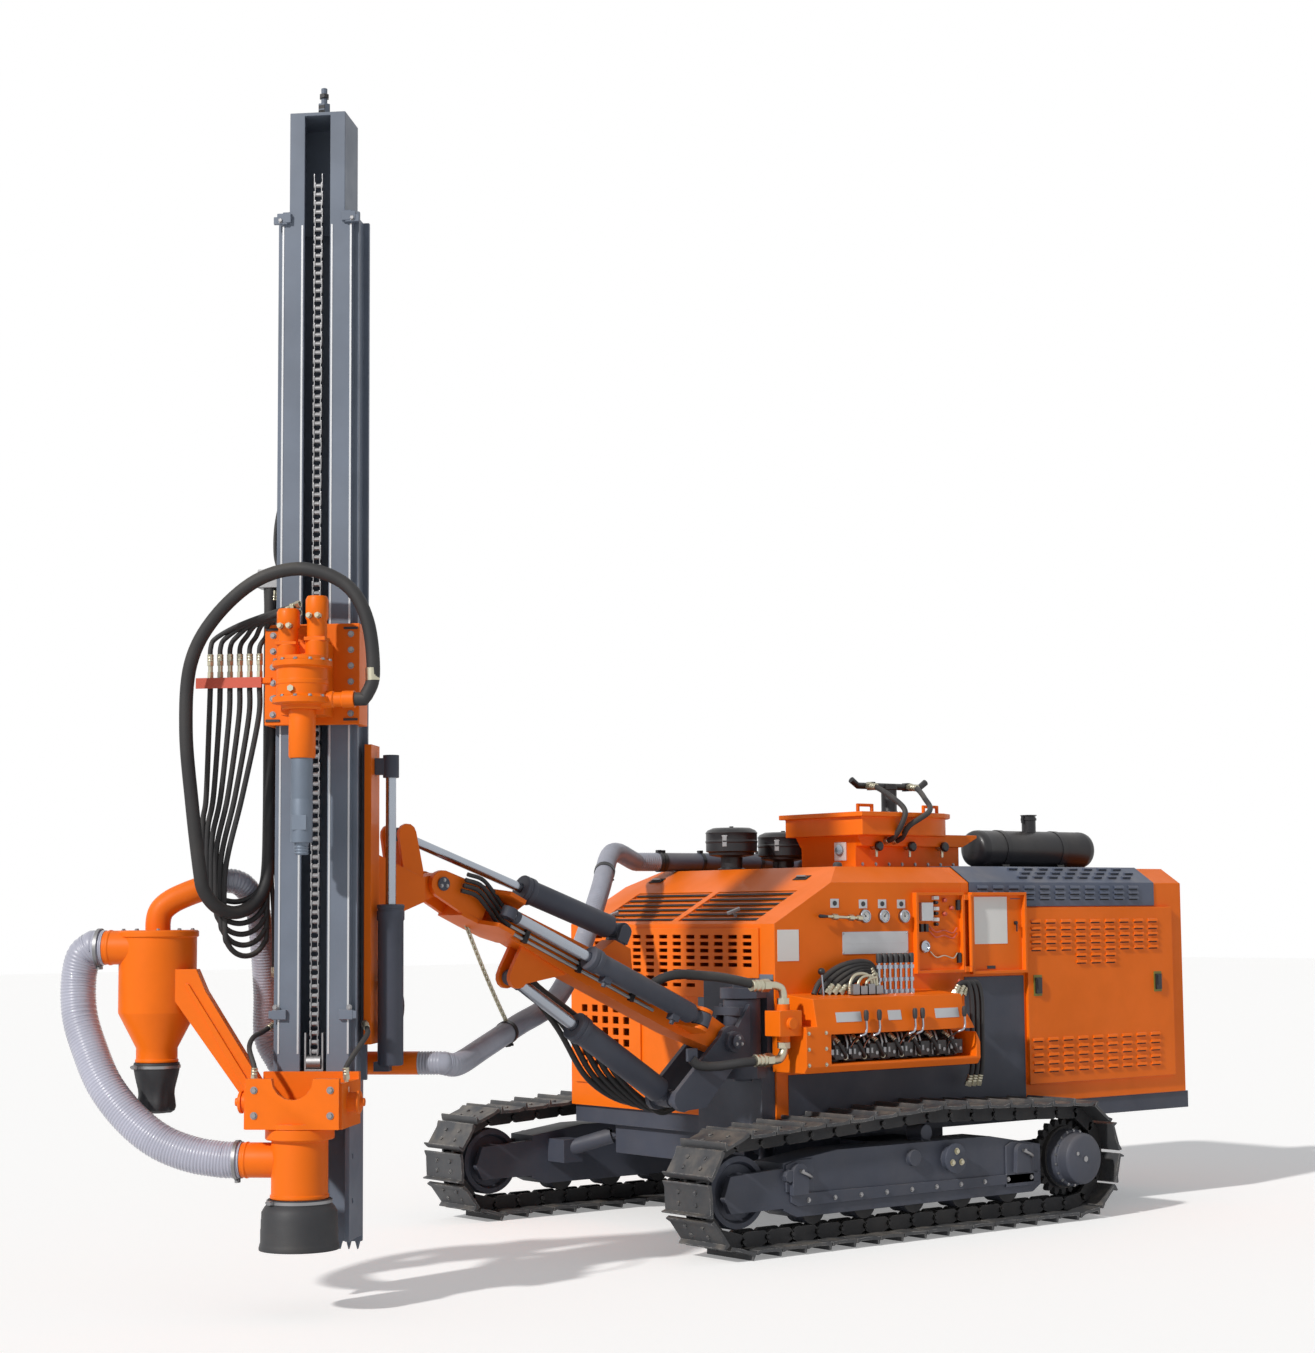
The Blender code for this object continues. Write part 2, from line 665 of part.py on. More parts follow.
def make_levelling_cylinder(side, name):
    """Fixed link between the track frame's nose and the chassis."""
    reach = TRACK_Y - FRAME_HALF_Y - SEAT
    low = Vector((0.72, side * (reach - 0.105), 0.34))
    high = Vector((0.50, side * (CHASSIS_HALF_Y + 0.04), 0.45))
    foot_y = span(side, reach - 0.145, reach)
    head_y = span(side, CHASSIS_HALF_Y + SEAT, CHASSIS_HALF_Y + 0.08)
    foot = block((0.66, foot_y[0], 0.28), (0.78, foot_y[1], 0.40))
    head = block((0.44, head_y[0], 0.40), (0.56, head_y[1], 0.485))
    barrel = bar(low + Vector((0, 0, 0.01)), low.lerp(high, 0.72), 0.042)
    rod = bar(low, high.lerp(low, 0.05), 0.024, PIN_SIDES)
    fuse(name, "root", "slate_paint", [foot, barrel, rod, head])


# Base frame and housing


def make_base_frame():
    """Deck with side rails, boom pedestal and the lugs that hold the swing pin."""
    front = BODY_FRONT_X - 0.02
    wall = BODY_FRONT_X + SEAT
    deck_y = TRACK_INNER_Y - 0.02
    left, right = BODY_HALF_Y - 0.01, BOOM_Y - 0.41
    lug = [(wall, BOOM_Y - 0.15), (wall, left - 0.005), (wall + 0.035, left - 0.005),
           (SWING_X, BOOM_Y + 0.11)]
    lug += arc((SWING_X, BOOM_Y), 0.105, 80, -80, 8) + [(SWING_X, BOOM_Y - 0.11)]
    pieces = [
        block((BODY_REAR_X - 0.03, -deck_y, DECK_LOW_Z), (front, deck_y, DECK_TOP_Z)),
        block((front - 0.03, right, 0.47), (0.76, left, DECK_TOP_Z - 0.005)),
        block((wall, right, DECK_TOP_Z - 0.02), (0.76, left, 0.80)),
        block((wall, right, 0.78), (0.72, left, 1.26)),
        prism(lug, SWING_LOW_Z - 0.075, SWING_LOW_Z - LUG_GAP),
        prism(lug, SWING_TOP_Z + LUG_GAP, SWING_TOP_Z + 0.055),
        bar((SWING_X, BOOM_Y, SWING_LOW_Z - 0.09), (SWING_X, BOOM_Y, SWING_TOP_Z + 0.085), SWING_PIN_R),
    ]
    fuse("base_frame", "root", "slate_paint", pieces)


def house_section(inset):
    """Cross-section of the housing in y and z, moved inwards by inset."""
    half = BODY_HALF_Y - inset
    low = DECK_TOP_Z + SEAT
    flat = half - ROOF_INSET + inset * 0.4
    shoulder = SHOULDER_Z - inset * 0.3
    return [(half, low), (half, shoulder), (flat, ROOF_Z - inset), (-flat, ROOF_Z - inset), (-half, shoulder),
            (-half, low)]


def front_profile(inset):
    """Side view of the sloped front in x and z, moved inwards by inset."""
    low = DECK_TOP_Z + SEAT
    return [(HOUSING_SPLIT_X + SEAT, low), (BODY_FRONT_X - inset, low),
            (BODY_FRONT_X - inset, FRONT_EDGE_Z - inset * 0.5),
            (ROOF_FRONT_X - inset * 0.6, ROOF_Z - inset), (HOUSING_SPLIT_X + SEAT, ROOF_Z - inset)]


def slope_frame():
    """Frame on the sloped front: X up the slope, Y to the machine's right, Z outwards."""
    rise = (ROOF_FRONT_X - BODY_FRONT_X, 0, ROOF_Z - FRONT_EDGE_Z)
    return frame_of((BODY_FRONT_X, 0, FRONT_EDGE_Z), rise, (0, 0, 1))


def make_front_housing():
    """Sheet housing over pumps and tanks, with louvred openings in its sloped front."""
    shell = combine(prism(house_section(0), HOUSING_SPLIT_X + SEAT, BODY_FRONT_X, along="x"),
                    prism(front_profile(0), -2.0, 2.0, along="y"), "INTERSECT")
    core = combine(prism(house_section(SHEET), HOUSING_SPLIT_X - 0.05, BODY_FRONT_X - SHEET, along="x"),
                   prism(front_profile(SHEET), -2.0, 2.0, along="y"), "INTERSECT")
    inner_y = BODY_HALF_Y - SHEET
    behind, before = BODY_FRONT_X - 2 * SHEET, BODY_FRONT_X + SHEET
    right, left = SLOT_FIRST[0] - 0.045, SLOT_FIRST[0] + 11 * SLOT_STEP[0] + 0.045
    cuts = [
        core,
        block((HOUSING_SPLIT_X - 0.15, -inner_y, DECK_TOP_Z - 0.05),
              (BODY_FRONT_X - SHEET, inner_y, DECK_TOP_Z + 0.05)),
        block((HOUSING_SPLIT_X - 0.05, -inner_y, DECK_TOP_Z - 0.02),
              (HOUSING_SPLIT_X + 0.05, inner_y, ROOF_Z - 0.12)),
        block((behind, right, SLOT_FIRST[1] - 0.160), (before, left, SLOT_FIRST[1] + 0.022)),
        block((behind, right, SLOT_FIRST[1] - 0.265), (before, BOOM_Y - 0.49, SLOT_FIRST[1] - 0.150)),
        block((behind, MESH_FIRST[0] - 0.045, MESH_FIRST[1] - 0.325),
              (before, MESH_FIRST[0] + 0.405, MESH_FIRST[1] + 0.035)),
    ]
    slope = slope_frame()
    for right, left in VENT_WIDTHS:
        cuts.append(block((VENT_START, right, -2 * SHEET), (VENT_END, left, SHEET), slope))
    shell = fuse("front_shell", "root", "orange_paint", [shell], cuts)
    shell.parent = None
    shell.location = (0, 0, 0)
    pitch = (VENT_END - VENT_START) / VENT_BLADES
    blades = []
    for right, left in VENT_WIDTHS:
        for i in range(VENT_BLADES):
            foot = VENT_START + (i + 0.25) * pitch
            blade = [(foot, -0.021), (foot + 0.006, -0.021), (foot + 0.030, -0.003), (foot + 0.024, -0.003)]
            blades.append(prism(blade, right - 0.006, left + 0.006, slope, "y"))
    fuse("front_housing", "root", "orange_paint", [shell] + blades)


def make_front_grille():
    """Perforated plate bolted over the openings of the front wall."""
    face = BODY_FRONT_X + SEAT
    top, step, low = SLOT_FIRST[1] + 0.044, DECK_TOP_Z + 0.685, SLOT_FIRST[1] - 0.30
    outline = [(-0.66, top), (0.72, top), (0.72, step), (BOOM_Y - 0.43, step), (BOOM_Y - 0.43, low),
               (MESH_FIRST[0] + 0.48, low), (MESH_FIRST[0] + 0.48, 0.70), (MESH_FIRST[0] - 0.08, 0.70),
               (MESH_FIRST[0] - 0.08, low), (-0.66, low)]
    plate = prism(outline, face, face + GRILLE, along="x")
    holes = []
    patterns = (
        (12, range(0, 5), SLOT_FIRST, SLOT_STEP, SLOT_SIZE),
        (8, range(5, 8), SLOT_FIRST, SLOT_STEP, SLOT_SIZE),
        (5, range(0, 6), MESH_FIRST, MESH_STEP, MESH_SIZE),
    )
    for columns, rows, first, step, size in patterns:
        for i in range(columns):
            for j in rows:
                y, z = first[0] + i * step[0], first[1] + j * step[1]
                holes.append(block((face - GRILLE, y - size[0] / 2, z - size[1] / 2),
                                   (face + 2 * GRILLE, y + size[0] / 2, z + size[1] / 2)))
    fuse("front_grille", "root", "orange_paint", [plate], holes)


def make_rear_housing():
    """Posts, roof and rear wall round the engine bay, open where the side doors close."""
    shell = prism(house_section(0), BODY_REAR_X, HOUSING_SPLIT_X, along="x")
    core = prism(house_section(SHEET), BODY_REAR_X + SHEET, HOUSING_SPLIT_X + 0.1, along="x")
    inner_y = BODY_HALF_Y - SHEET
    floor = block((BODY_REAR_X + SHEET, -inner_y, DECK_LOW_Z + 0.01), (HOUSING_SPLIT_X + 0.1, inner_y, 0.70))
    cuts = [core, floor]
    for side in (-1, 1):
        low, high = span(side, inner_y - 0.05, BODY_HALF_Y + 0.05)
        cuts.append(block((DOOR_REAR_X + 0.035, low, DOOR_LOW_Z + 0.02),
                          (DOOR_FRONT_X - 0.03, high, DOOR_TOP_Z - 0.02)))
    fuse("rear_housing", "root", "orange_paint", [shell], cuts)


def cover_section(lift):
    """Points over the housing's shoulders and roof, left to right, lifted off the sheet."""
    half = BODY_HALF_Y + lift
    flat = BODY_HALF_Y - ROOF_INSET + lift * 0.4
    shoulder = SHOULDER_Z + lift * 0.4
    return [(half, COVER_LOW_Z), (half, shoulder), (flat, ROOF_Z + lift), (-flat, ROOF_Z + lift),
            (-half, shoulder), (-half, COVER_LOW_Z)]


def make_louvred_cover():
    """Sheet cap over both shoulders and the roof, cut back round what stands on it."""
    outline = cover_section(SEAT + COVER) + cover_section(SEAT)[::-1]
    cap = prism(outline, *COVER_X, along="x")
    notch = block((COLLECTOR_X[0] - 0.02, ROOF_BEND[1] - 0.09, ROOF_Z - 0.05),
                  (COVER_X[1] + 0.05, COLLECTOR_Y[1] + 0.05, ROOF_Z + 0.05))
    fuse("louvred_cover", "root", "slate_paint", [cap], [notch])


def make_side_door(side, name):
    """Full-width side door with two latches, hinged along its outer top edge."""
    plate_y = span(side, BODY_HALF_Y + SEAT, BODY_HALF_Y + DOOR_PLATE)
    latch_y = span(side, BODY_HALF_Y + DOOR_PLATE - 0.002, BODY_HALF_Y + DOOR_PLATE + 0.014)
    pieces = [block((DOOR_REAR_X, plate_y[0], DOOR_LOW_Z), (DOOR_FRONT_X, plate_y[1], DOOR_TOP_Z))]
    for x in (DOOR_FRONT_X - 0.07, DOOR_REAR_X + 0.135):
        pieces.append(block((x - 0.02, latch_y[0], 1.15), (x + 0.02, latch_y[1], 1.23)))
    fuse(name, name, "orange_paint", pieces)


def make_engine():
    low = (ENGINE_X[0], -ENGINE_HALF_Y, DECK_TOP_Z + SEAT)
    fuse("engine_block", "root", "engine_grey", [block(low, (ENGINE_X[1], ENGINE_HALF_Y, ENGINE_TOP_Z))])


# Control side


def make_control_bench():
    """Console that stands out of the left side: sloped lever panel over the valve bay."""
    face = BODY_HALF_Y + SEAT
    out = BODY_HALF_Y + BENCH_DEPTH
    section = [(face, 0.82), (out - 0.02, 0.82), (out, 0.85), (out, 1.02), (out - 0.03, 1.17), (face, 1.19)]
    front, rear = BENCH_X
    side_view = [(front, 0.80), (front, 1.04), (front - 0.07, 1.04), (front - 0.07, 1.20),
                 (rear + 0.10, 1.20), (rear + 0.10, 1.11), (rear, 0.93), (rear, 0.80)]
    console = combine(prism(section, rear, front, along="x"),
                      prism(side_view, face - 0.1, out + 0.1, along="y"), "INTERSECT")
    bay = block((rear + 0.03, face + 0.03, 0.86), (front - 0.16, out + 0.1, 1.00))
    fuse("control_bench", "root", "orange_paint", [console], [bay])


def make_valve_bank():
    """Row of valve sections in the open bay of the bench."""
    back = BODY_HALF_Y + 0.04
    rear = BENCH_X[1] + 0.05
    count, pitch = 8, 0.115
    pieces = [block((rear, back, 0.86 + SEAT), (rear + count * pitch, back + 0.06, 0.95))]
    for i in range(count):
        x = rear + (i + 0.5) * pitch
        pieces.append(block((x - 0.03, back + 0.05, 0.875), (x + 0.03, back + 0.16, 0.945)))
    fuse("valve_bank", "root", "bare_steel", pieces)


def make_hose_manifold():
    """Block at the end of the bench where the thick hoses to the boom are joined."""
    x, y = BENCH_X[0] + 0.07, BODY_HALF_Y + 0.165
    pieces = [
        block((BENCH_X[0] + SEAT, y - 0.055, 1.0), (x + 0.07, y + 0.055, 1.12)),
        bar((x, y, 0.97), (x, y, 1.15), 0.032),
        bar((x, y - 0.075, 1.06), (x, y + 0.075, 1.06), 0.028),
    ]
    fuse("hose_manifold", "root", "orange_paint", pieces)


def make_electrical_box():
    """Recessed switch panel on the left side."""
    face = BODY_HALF_Y + SEAT
    frame = block((-0.600, face, 1.27), (-0.255, face + 0.03, 1.68))
    pocket = block((-0.585, face + 0.006, 1.285), (-0.27, face + 0.1, 1.665))
    pieces = [frame]
    knuckle = [(EL_DOOR_X + 0.035, face), (EL_DOOR_X + 0.035, EL_DOOR_Y - 0.006),
               (EL_DOOR_X + 0.008, EL_DOOR_Y - 0.004)]
    knuckle += arc((EL_DOOR_X, EL_DOOR_Y), 0.008, 0, 180, 4) + [(EL_DOOR_X - 0.008, face)]
    for low in (1.272, 1.64 + SEAT):
        pieces.append(prism(knuckle, low, low + 0.028 - SEAT))
    fuse("electrical_box", "root", "orange_paint", pieces, [pocket])


def make_electrical_door():
    """Tray-shaped door, standing open flat against the side."""
    y_low = EL_DOOR_Y - 0.029
    tray = block((-1.05, y_low, 1.26), (EL_DOOR_X - 0.012, y_low + 0.03, 1.68))
    pocket = block((-1.035, y_low + 0.004, 1.275), (EL_DOOR_X - 0.027, y_low + 0.05, 1.665))
    hinge = bar((EL_DOOR_X, EL_DOOR_Y, 1.30), (EL_DOOR_X, EL_DOOR_Y, 1.64), 0.010, PIN_SIDES)
    leaf = block((EL_DOOR_X - 0.016, EL_DOOR_Y - 0.004, 1.32), (EL_DOOR_X, EL_DOOR_Y + 0.004, 1.62))
    fuse("electrical_door", "electrical_door", "orange_paint", [tray, hinge, leaf], [pocket])


# Roof


def make_air_cleaner(name, x, y, z, radius):
    """Turned intake filter with its cap, on a neck."""
    place = Matrix.Translation((x, y, 0))
    profile = [(0, ROOF_Z + SEAT), (0.06, ROOF_Z + SEAT), (0.06, z - 0.085), (radius - 0.02, z - 0.075),
               (radius - 0.02, z - 0.06), (radius, z - 0.055), (radius, z + 0.045), (radius - 0.02, z + 0.06),
               (radius - 0.025, z + 0.075), (0, z + 0.082)]
    fuse(name, "root", "black_paint", [turned(profile, place, DRUM_SIDES)])


def make_muffler():
    """Long silencer on two saddles with a short outlet neck."""
    x_low, x_high, y, z, r = -2.30, -1.37, 0.16, 1.93, 0.105
    frame = axis_frame((x_low, y, z), (x_high, y, z))
    length = x_high - x_low
    can = turned([(0, 0), (r * 0.6, 0.01), (r * 0.93, 0.035), (r, 0.07), (r, length - 0.07),
                  (r * 0.93, length - 0.035), (r * 0.6, length - 0.01), (0, length)], frame, DRUM_SIDES)
    pieces = [can, bar((x_low + 0.46, y, z), (x_low + 0.46, y, z + 0.20), 0.045)]
    base = ROOF_Z + COVER + 2 * SEAT
    for x in (-2.03, -1.58):
        pieces.append(block((x - 0.03, y - 0.07, base), (x + 0.03, y + 0.07, z - 0.05)))
    fuse("muffler", "root", "black_paint", pieces)


def hopper_outline(radius, left):
    """Straight at one end and round at the other, seen from above."""
    return [(left, HOPPER[1] - radius), (left, HOPPER[1] + radius)] + arc(HOPPER, radius, 90, 270, 9)


def make_dust_collector():
    """Filter box with a flared neck and a hopper, round on one side, under its lid."""
    rim = HOPPER_R + 0.025
    left, right = COLLECTOR_X
    near, far = COLLECTOR_Y
    flare, top = COLLECTOR_TOP_Z - 0.06, COLLECTOR_TOP_Z + 0.005
    neck = [(left + 0.01, flare), (left - 0.10, top - 0.015), (left - 0.10, top), (right + 0.03, top),
            (right - 0.01, flare)]
    pieces = [
        block((left, near, ROOF_Z + SEAT), (right, far, COLLECTOR_TOP_Z)),
        prism(neck, near - 0.02, far + 0.04, along="y"),
        prism(hopper_outline(HOPPER_R, HOPPER_X), top - 0.01, HOPPER_TOP_Z - 0.02),
        prism(hopper_outline(rim, HOPPER_X + 0.025), HOPPER_TOP_Z - 0.025, HOPPER_TOP_Z),
    ]
    for x in (HOPPER[0] - 0.20, HOPPER[0] + 0.28):
        for shift in (-0.05, 0.05):
            pieces.append(block((x + shift - 0.008, HOPPER[1] + 0.10, HOPPER_TOP_Z - 0.01),
                                (x + shift + 0.008, HOPPER[1] + 0.116, HOPPER_TOP_Z + 0.05)))
        pieces.append(block((x - 0.058, HOPPER[1] + 0.10, HOPPER_TOP_Z + 0.036),
                            (x + 0.058, HOPPER[1] + 0.116, HOPPER_TOP_Z + 0.052)))
    fuse("dust_collector", "root", "orange_paint", pieces)


def make_air_header():
    """Upright pipe on the hopper's lid with a cross pipe that feeds the filter's pulse air."""
    x, y = HOPPER
    low = HOPPER_TOP_Z + SEAT
    top = HOPPER_TOP_Z + 0.165
    pieces = [
        turned([(0, low), (0.07, low), (0.07, low + 0.012), (0.042, low + 0.02), (0.042, top), (0, top)],
               Matrix.Translation((x, y, 0)), BAR_SIDES),
        bar((x - 0.24, y, top - 0.012), (x + 0.24, y, top - 0.012), 0.018, PIN_SIDES),
    ]
    for edge in (-1, 1):
        tip = (x + edge * 0.275, y, top + 0.018)
        pieces.append(bar((x + edge * 0.225, y, top - 0.012), tip, 0.018, PIN_SIDES))
    fuse("air_header", "root", "black_paint", pieces)


def make_dust_pipe():
    """Rigid suction pipe across the roof into the filter box."""
    z = ROOF_Z + SEAT + ROOF_PIPE_R
    pieces = [
        bar((*ROOF_PIPE, z), (*ROOF_BEND, z), ROOF_PIPE_R),
        turned([(0, z - ROOF_PIPE_R), (ROOF_PIPE_R, z - ROOF_PIPE_R), (ROOF_PIPE_R, z + 0.06), (0, z + 0.06)],
               Matrix.Translation((*ROOF_BEND, 0)), BAR_SIDES),
        bar((*ROOF_BEND, z), (ROOF_BEND[0], COLLECTOR_Y[0] - SEAT, z), ROOF_PIPE_R),
    ]
    fuse("dust_pipe", "root", "grey_hose", pieces)


# Boom and its cylinders


def cylinder_pair(kind, base, eye, radii, lengths, axis, eye_half=0.024, eye_radius=0.036):
    """Barrel with a bore from its eye to its gland, and a rod that slides in it."""
    base, eye, axis = Vector(base), Vector(eye), Vector(axis).normalized()
    radius, rod_radius = radii
    barrel_length, rod_length = lengths
    frame = axis_frame(base, eye)
    gland = radius + 0.008
    barrel = turned([(0, 0.028), (radius * 0.5, 0.028), (radius * 0.6, 0.055), (radius, 0.075),
                     (radius, barrel_length - 0.06), (gland, barrel_length - 0.06), (gland, barrel_length),
                     (0, barrel_length)], frame, BAR_SIDES)
    lug = bar(base - axis * 0.030, base + axis * 0.030, 0.042)
    hole = pin_bore(base - axis * 0.05, base + axis * 0.05, CYLINDER_PIN_R)
    bore = turned([(0, 0.10), (rod_radius + ROD_FIT, 0.10), (rod_radius + ROD_FIT, barrel_length + 0.02),
                   (0, barrel_length + 0.02)], frame, BAR_SIDES)
    fuse(kind + "_barrel", kind + "_barrel", "slate_paint", [barrel, lug], [hole, bore])
    distance = (eye - base).length
    rod = turned([(0, distance - rod_length), (rod_radius, distance - rod_length),
                  (rod_radius, distance - 0.02), (0, distance - 0.02)], frame, BAR_SIDES)
    knuckle = bar(eye - axis * eye_half, eye + axis * eye_half, eye_radius)
    fuse(kind + "_rod", kind + "_rod", "chrome", [rod, knuckle])


def make_swing_bracket():
    """Turning bracket: hub round the swing pin, cheeks for boom foot and lift cylinder."""
    hub = bar((SWING_X, BOOM_Y, SWING_LOW_Z), (SWING_X, BOOM_Y, SWING_TOP_Z), 0.090, DRUM_SIDES)
    bore = pin_bore((SWING_X, BOOM_Y, SWING_LOW_Z - 0.05), (SWING_X, BOOM_Y, SWING_TOP_Z + 0.05), SWING_PIN_R)
    pieces = [hub]
    foot, lift = BOOM_FOOT, LIFT_BASE
    outline = [(SWING_X + 0.045, SWING_TOP_Z - 0.02), (SWING_X + 0.045, SWING_LOW_Z + 0.008),
               (SWING_X + 0.125, SWING_LOW_Z + 0.008),
               (lift[0] - 0.13, lift[1] - 0.045)]
    outline += arc(lift, 0.058, 240, 420, 6)
    outline += arc(foot, 0.075, 20, 120, 5)
    inner = BOOM_HALF_Y + LUG_GAP + 0.004
    for edge in (-1, 1):
        low, high = sorted((BOOM_Y + edge * inner, BOOM_Y + edge * (inner + 0.028)))
        pieces.append(prism(outline, low, high, along="y"))
        collar = Vector((0, edge * 0.02, 0))
        pieces.append(cross_bar(Vector((foot[0], (low + high) / 2, foot[1])) + collar, 0.022, 0.05))
        boss_low, boss_high = sorted((BOOM_Y + edge * 0.035, BOOM_Y + edge * (inner + 0.01)))
        pieces.append(bar((lift[0], boss_low, lift[1]), (lift[0], boss_high, lift[1]), 0.040))
    pieces.append(cross_bar((foot[0], BOOM_Y, foot[1]), inner + 0.02, FOOT_PIN_R))
    pieces.append(cross_bar((lift[0], BOOM_Y, lift[1]), inner + 0.02, CYLINDER_PIN_R, PIN_SIDES + 2))
    for z in (SWING_LOW_Z + 0.015, SWING_TOP_Z - 0.075):
        pieces.append(block((SWING_X + 0.052, BOOM_Y - inner - 0.01, z),
                            (SWING_X + 0.095, BOOM_Y + inner + 0.01, z + 0.04)))
    fuse("swing_bracket", "swing_bracket", "slate_paint", pieces, [bore])


def make_boom():
    """Tapered box boom with foot lug, head eye, lift lug and cylinder brackets."""
    tip = HEAD_SWING_S
    outline = [(0.0, -0.060), (0.30, -BOOM_ROOT_HALF), (0.95, -BOOM_ROOT_HALF), (tip, -BOOM_TIP_HALF),
               (tip, BOOM_TIP_HALF), (0.60, BOOM_ROOT_HALF), (0.25, BOOM_ROOT_HALF)]
    outline += arc((0, 0), 0.06, 80, 260, 7)
    beam = prism(outline, -BOOM_HALF_Y, BOOM_HALF_Y, BOOM, "y")
    head_eye = bar(boom_point(tip, -BOOM_TIP_HALF), boom_point(tip, BOOM_TIP_HALF), BOOM_HALF_Y, DRUM_SIDES)
    pieces = [beam, head_eye]
    lift = [(0.95, -0.06), (1.26, -0.05), (1.27, -0.17)] + arc(LIFT_EYE, 0.05, -10, -170, 6)
    for edge in (-1, 1):
        pieces.append(prism(lift, *sorted((edge * 0.032, edge * 0.056)), BOOM, "y"))
    yaw = YAW_BASE
    for level in (-0.052, 0.034):
        pieces.append(prism([(yaw[0] - 0.06, 0.05), (yaw[0] + 0.09, 0.05)] + arc(yaw, 0.040, 0, 180, 6),
                            level, level + 0.018, BOOM))
    pin = bar(boom_point(yaw[0], -0.05, yaw[1]), boom_point(yaw[0], 0.05, yaw[1]), CYLINDER_PIN_R)
    pieces.append(pin)
    seat_top = TILT_BASE[1] - 0.062
    seat = [(0.62, 0.05), (0.87, 0.05), (0.79, seat_top), (0.69, seat_top)]
    pieces.append(prism(seat, -0.050, 0.050, BOOM, "y"))
    bore_foot = pin_bore(boom_point(0, 0, -0.2), boom_point(0, 0, 0.2), FOOT_PIN_R)
    bore_head = pin_bore(boom_point(tip, -0.2), boom_point(tip, 0.2), HEAD_SWING_PIN_R)
    fuse("boom", "boom", "orange_paint", pieces, [bore_foot, bore_head])


def make_boom_head():
    """Fork that turns on the boom's end and holds the tilt pin and the swing lever."""
    s = HEAD_SWING_S
    plate = [(s - 0.02, -0.085)] + arc((s, 0), 0.085, 200, 160, 3) + [(s, 0.21)]
    plate += [(YAW_EYE[0] + 0.045, YAW_EYE[1] + 0.03), (s + 0.13, 0.10), (s + 0.22, 0.095),
              (s + 0.22, -0.095), (s + 0.10, -0.095)]
    plate_gap = BOOM_TIP_HALF + LUG_GAP
    pieces = [prism(plate, *span(level, plate_gap, plate_gap + 0.020), BOOM) for level in (-1, 1)]
    web = [(s + 0.11, -0.095), (s + 0.22, -0.095), (s + 0.22, 0.095), (s + 0.11, 0.095)]
    pieces.append(prism(web, -0.08, 0.08, BOOM))
    pin_s = HEAD_PIN_S
    cheek = [(s + 0.15, -0.08)] + arc((pin_s, 0), 0.060, -80, 80, 7) + [(s + 0.15, 0.08)]
    for edge in (-1, 1):
        pieces.append(prism(cheek, *span(edge, 0.065, 0.095), BOOM, "y"))
    pieces.append(bar(boom_point(pin_s, 0, -0.09), boom_point(pin_s, 0, 0.09), HEAD_PIN_R))
    pieces.append(bar(boom_point(s, -0.08), boom_point(s, 0.08), HEAD_SWING_PIN_R))
    fuse("boom_head", "boom_head", "orange_paint", pieces)


def make_tilt_trunnion():
    """Cross piece that lets the tilt cylinder follow the turning head."""
    s, n = TILT_BASE
    pieces = [prism(arc((s, 0), 0.045, 0, 330, 11), n - 0.062 + SEAT, n - 0.047, BOOM)]
    for edge in (-1, 1):
        outline = [(s - 0.030, n - 0.052), (s + 0.030, n - 0.052)] + arc((s, n), 0.032, 0, 180, 6)
        pieces.append(prism(outline, *sorted((edge * 0.032, edge * 0.048)), BOOM, "y"))
    pieces.append(bar(boom_point(s, n, -0.040), boom_point(s, n, 0.040), CYLINDER_PIN_R))
    fuse("tilt_trunnion", "tilt_trunnion", "slate_paint", pieces)


def make_feed_holder():
    """Knuckle on the tilt pin, carrying the long guide that the feed beam slides in."""
    upper = boom_point(*TILT_EYE)
    x, z = HEAD_PIN.x, HEAD_PIN.z
    pieces = [cross_bar((x, BOOM_Y, z), 0.060, 0.050)]
    ear = capsule((x + 0.14, z + 0.045), (upper.x, upper.z), 0.05, 0.045)
    for edge in (-1, 1):
        low, high = sorted((BOOM_Y + edge * EAR_GAP, BOOM_Y + edge * (EAR_GAP + 0.018)))
        pieces.append(prism(ear, low, high, along="y"))
    neck = [(x, z - 0.045), (x + 0.12, z - 0.090), (x + 0.12, z + 0.040), (x + 0.10, z + 0.03),
            (x + 0.01, z + 0.04)]
    pieces.append(prism(neck, BOOM_Y - 0.058, BOOM_Y + 0.058, along="y"))
    yoke = [(x + 0.085, z - 0.077), (x + 0.36, z - 0.18), (x + 0.36, z + 0.14), (x + 0.10, z + 0.03),
            (x + 0.085, z + 0.03)]
    pieces.append(prism(yoke, BOOM_Y - EAR_GAP - 0.022, BOOM_Y + EAR_GAP + 0.022, along="y"))
    back = -BEAM_HALF_N - SLIDE_FIT
    side_w = BEAM_HALF_W + RAIL_OUT + SLIDE_FIT
    pieces.append(block((-side_w - HOLDER_CHEEK, back - 0.04, HOLDER_LOW_Z),
                        (side_w + HOLDER_CHEEK, back, HOLDER_TOP_Z), FEED))
    for edge in (-1, 1):
        low, high = sorted((edge * side_w, edge * (side_w + HOLDER_CHEEK)))
        pieces.append(block((low, back - 0.04, HOLDER_LOW_Z), (high, -0.02, HOLDER_TOP_Z), FEED))
    pieces.append(block((-0.14, back - 0.19, z - 0.22), (0.14, back - 0.03, z + 0.22), FEED))
    reach = Vector((0, 0.2, 0))
    bore = pin_bore(HEAD_PIN - reach, HEAD_PIN + reach, HEAD_PIN_R)
    fuse("feed_holder", "feed_holder", "orange_paint", pieces, [bore])


# Feed beam and what rides on it


def mirrored(half):
    """Outline that goes up one side and down the mirrored other one."""
    return half + [(-a, b) for a, b in reversed(half)]


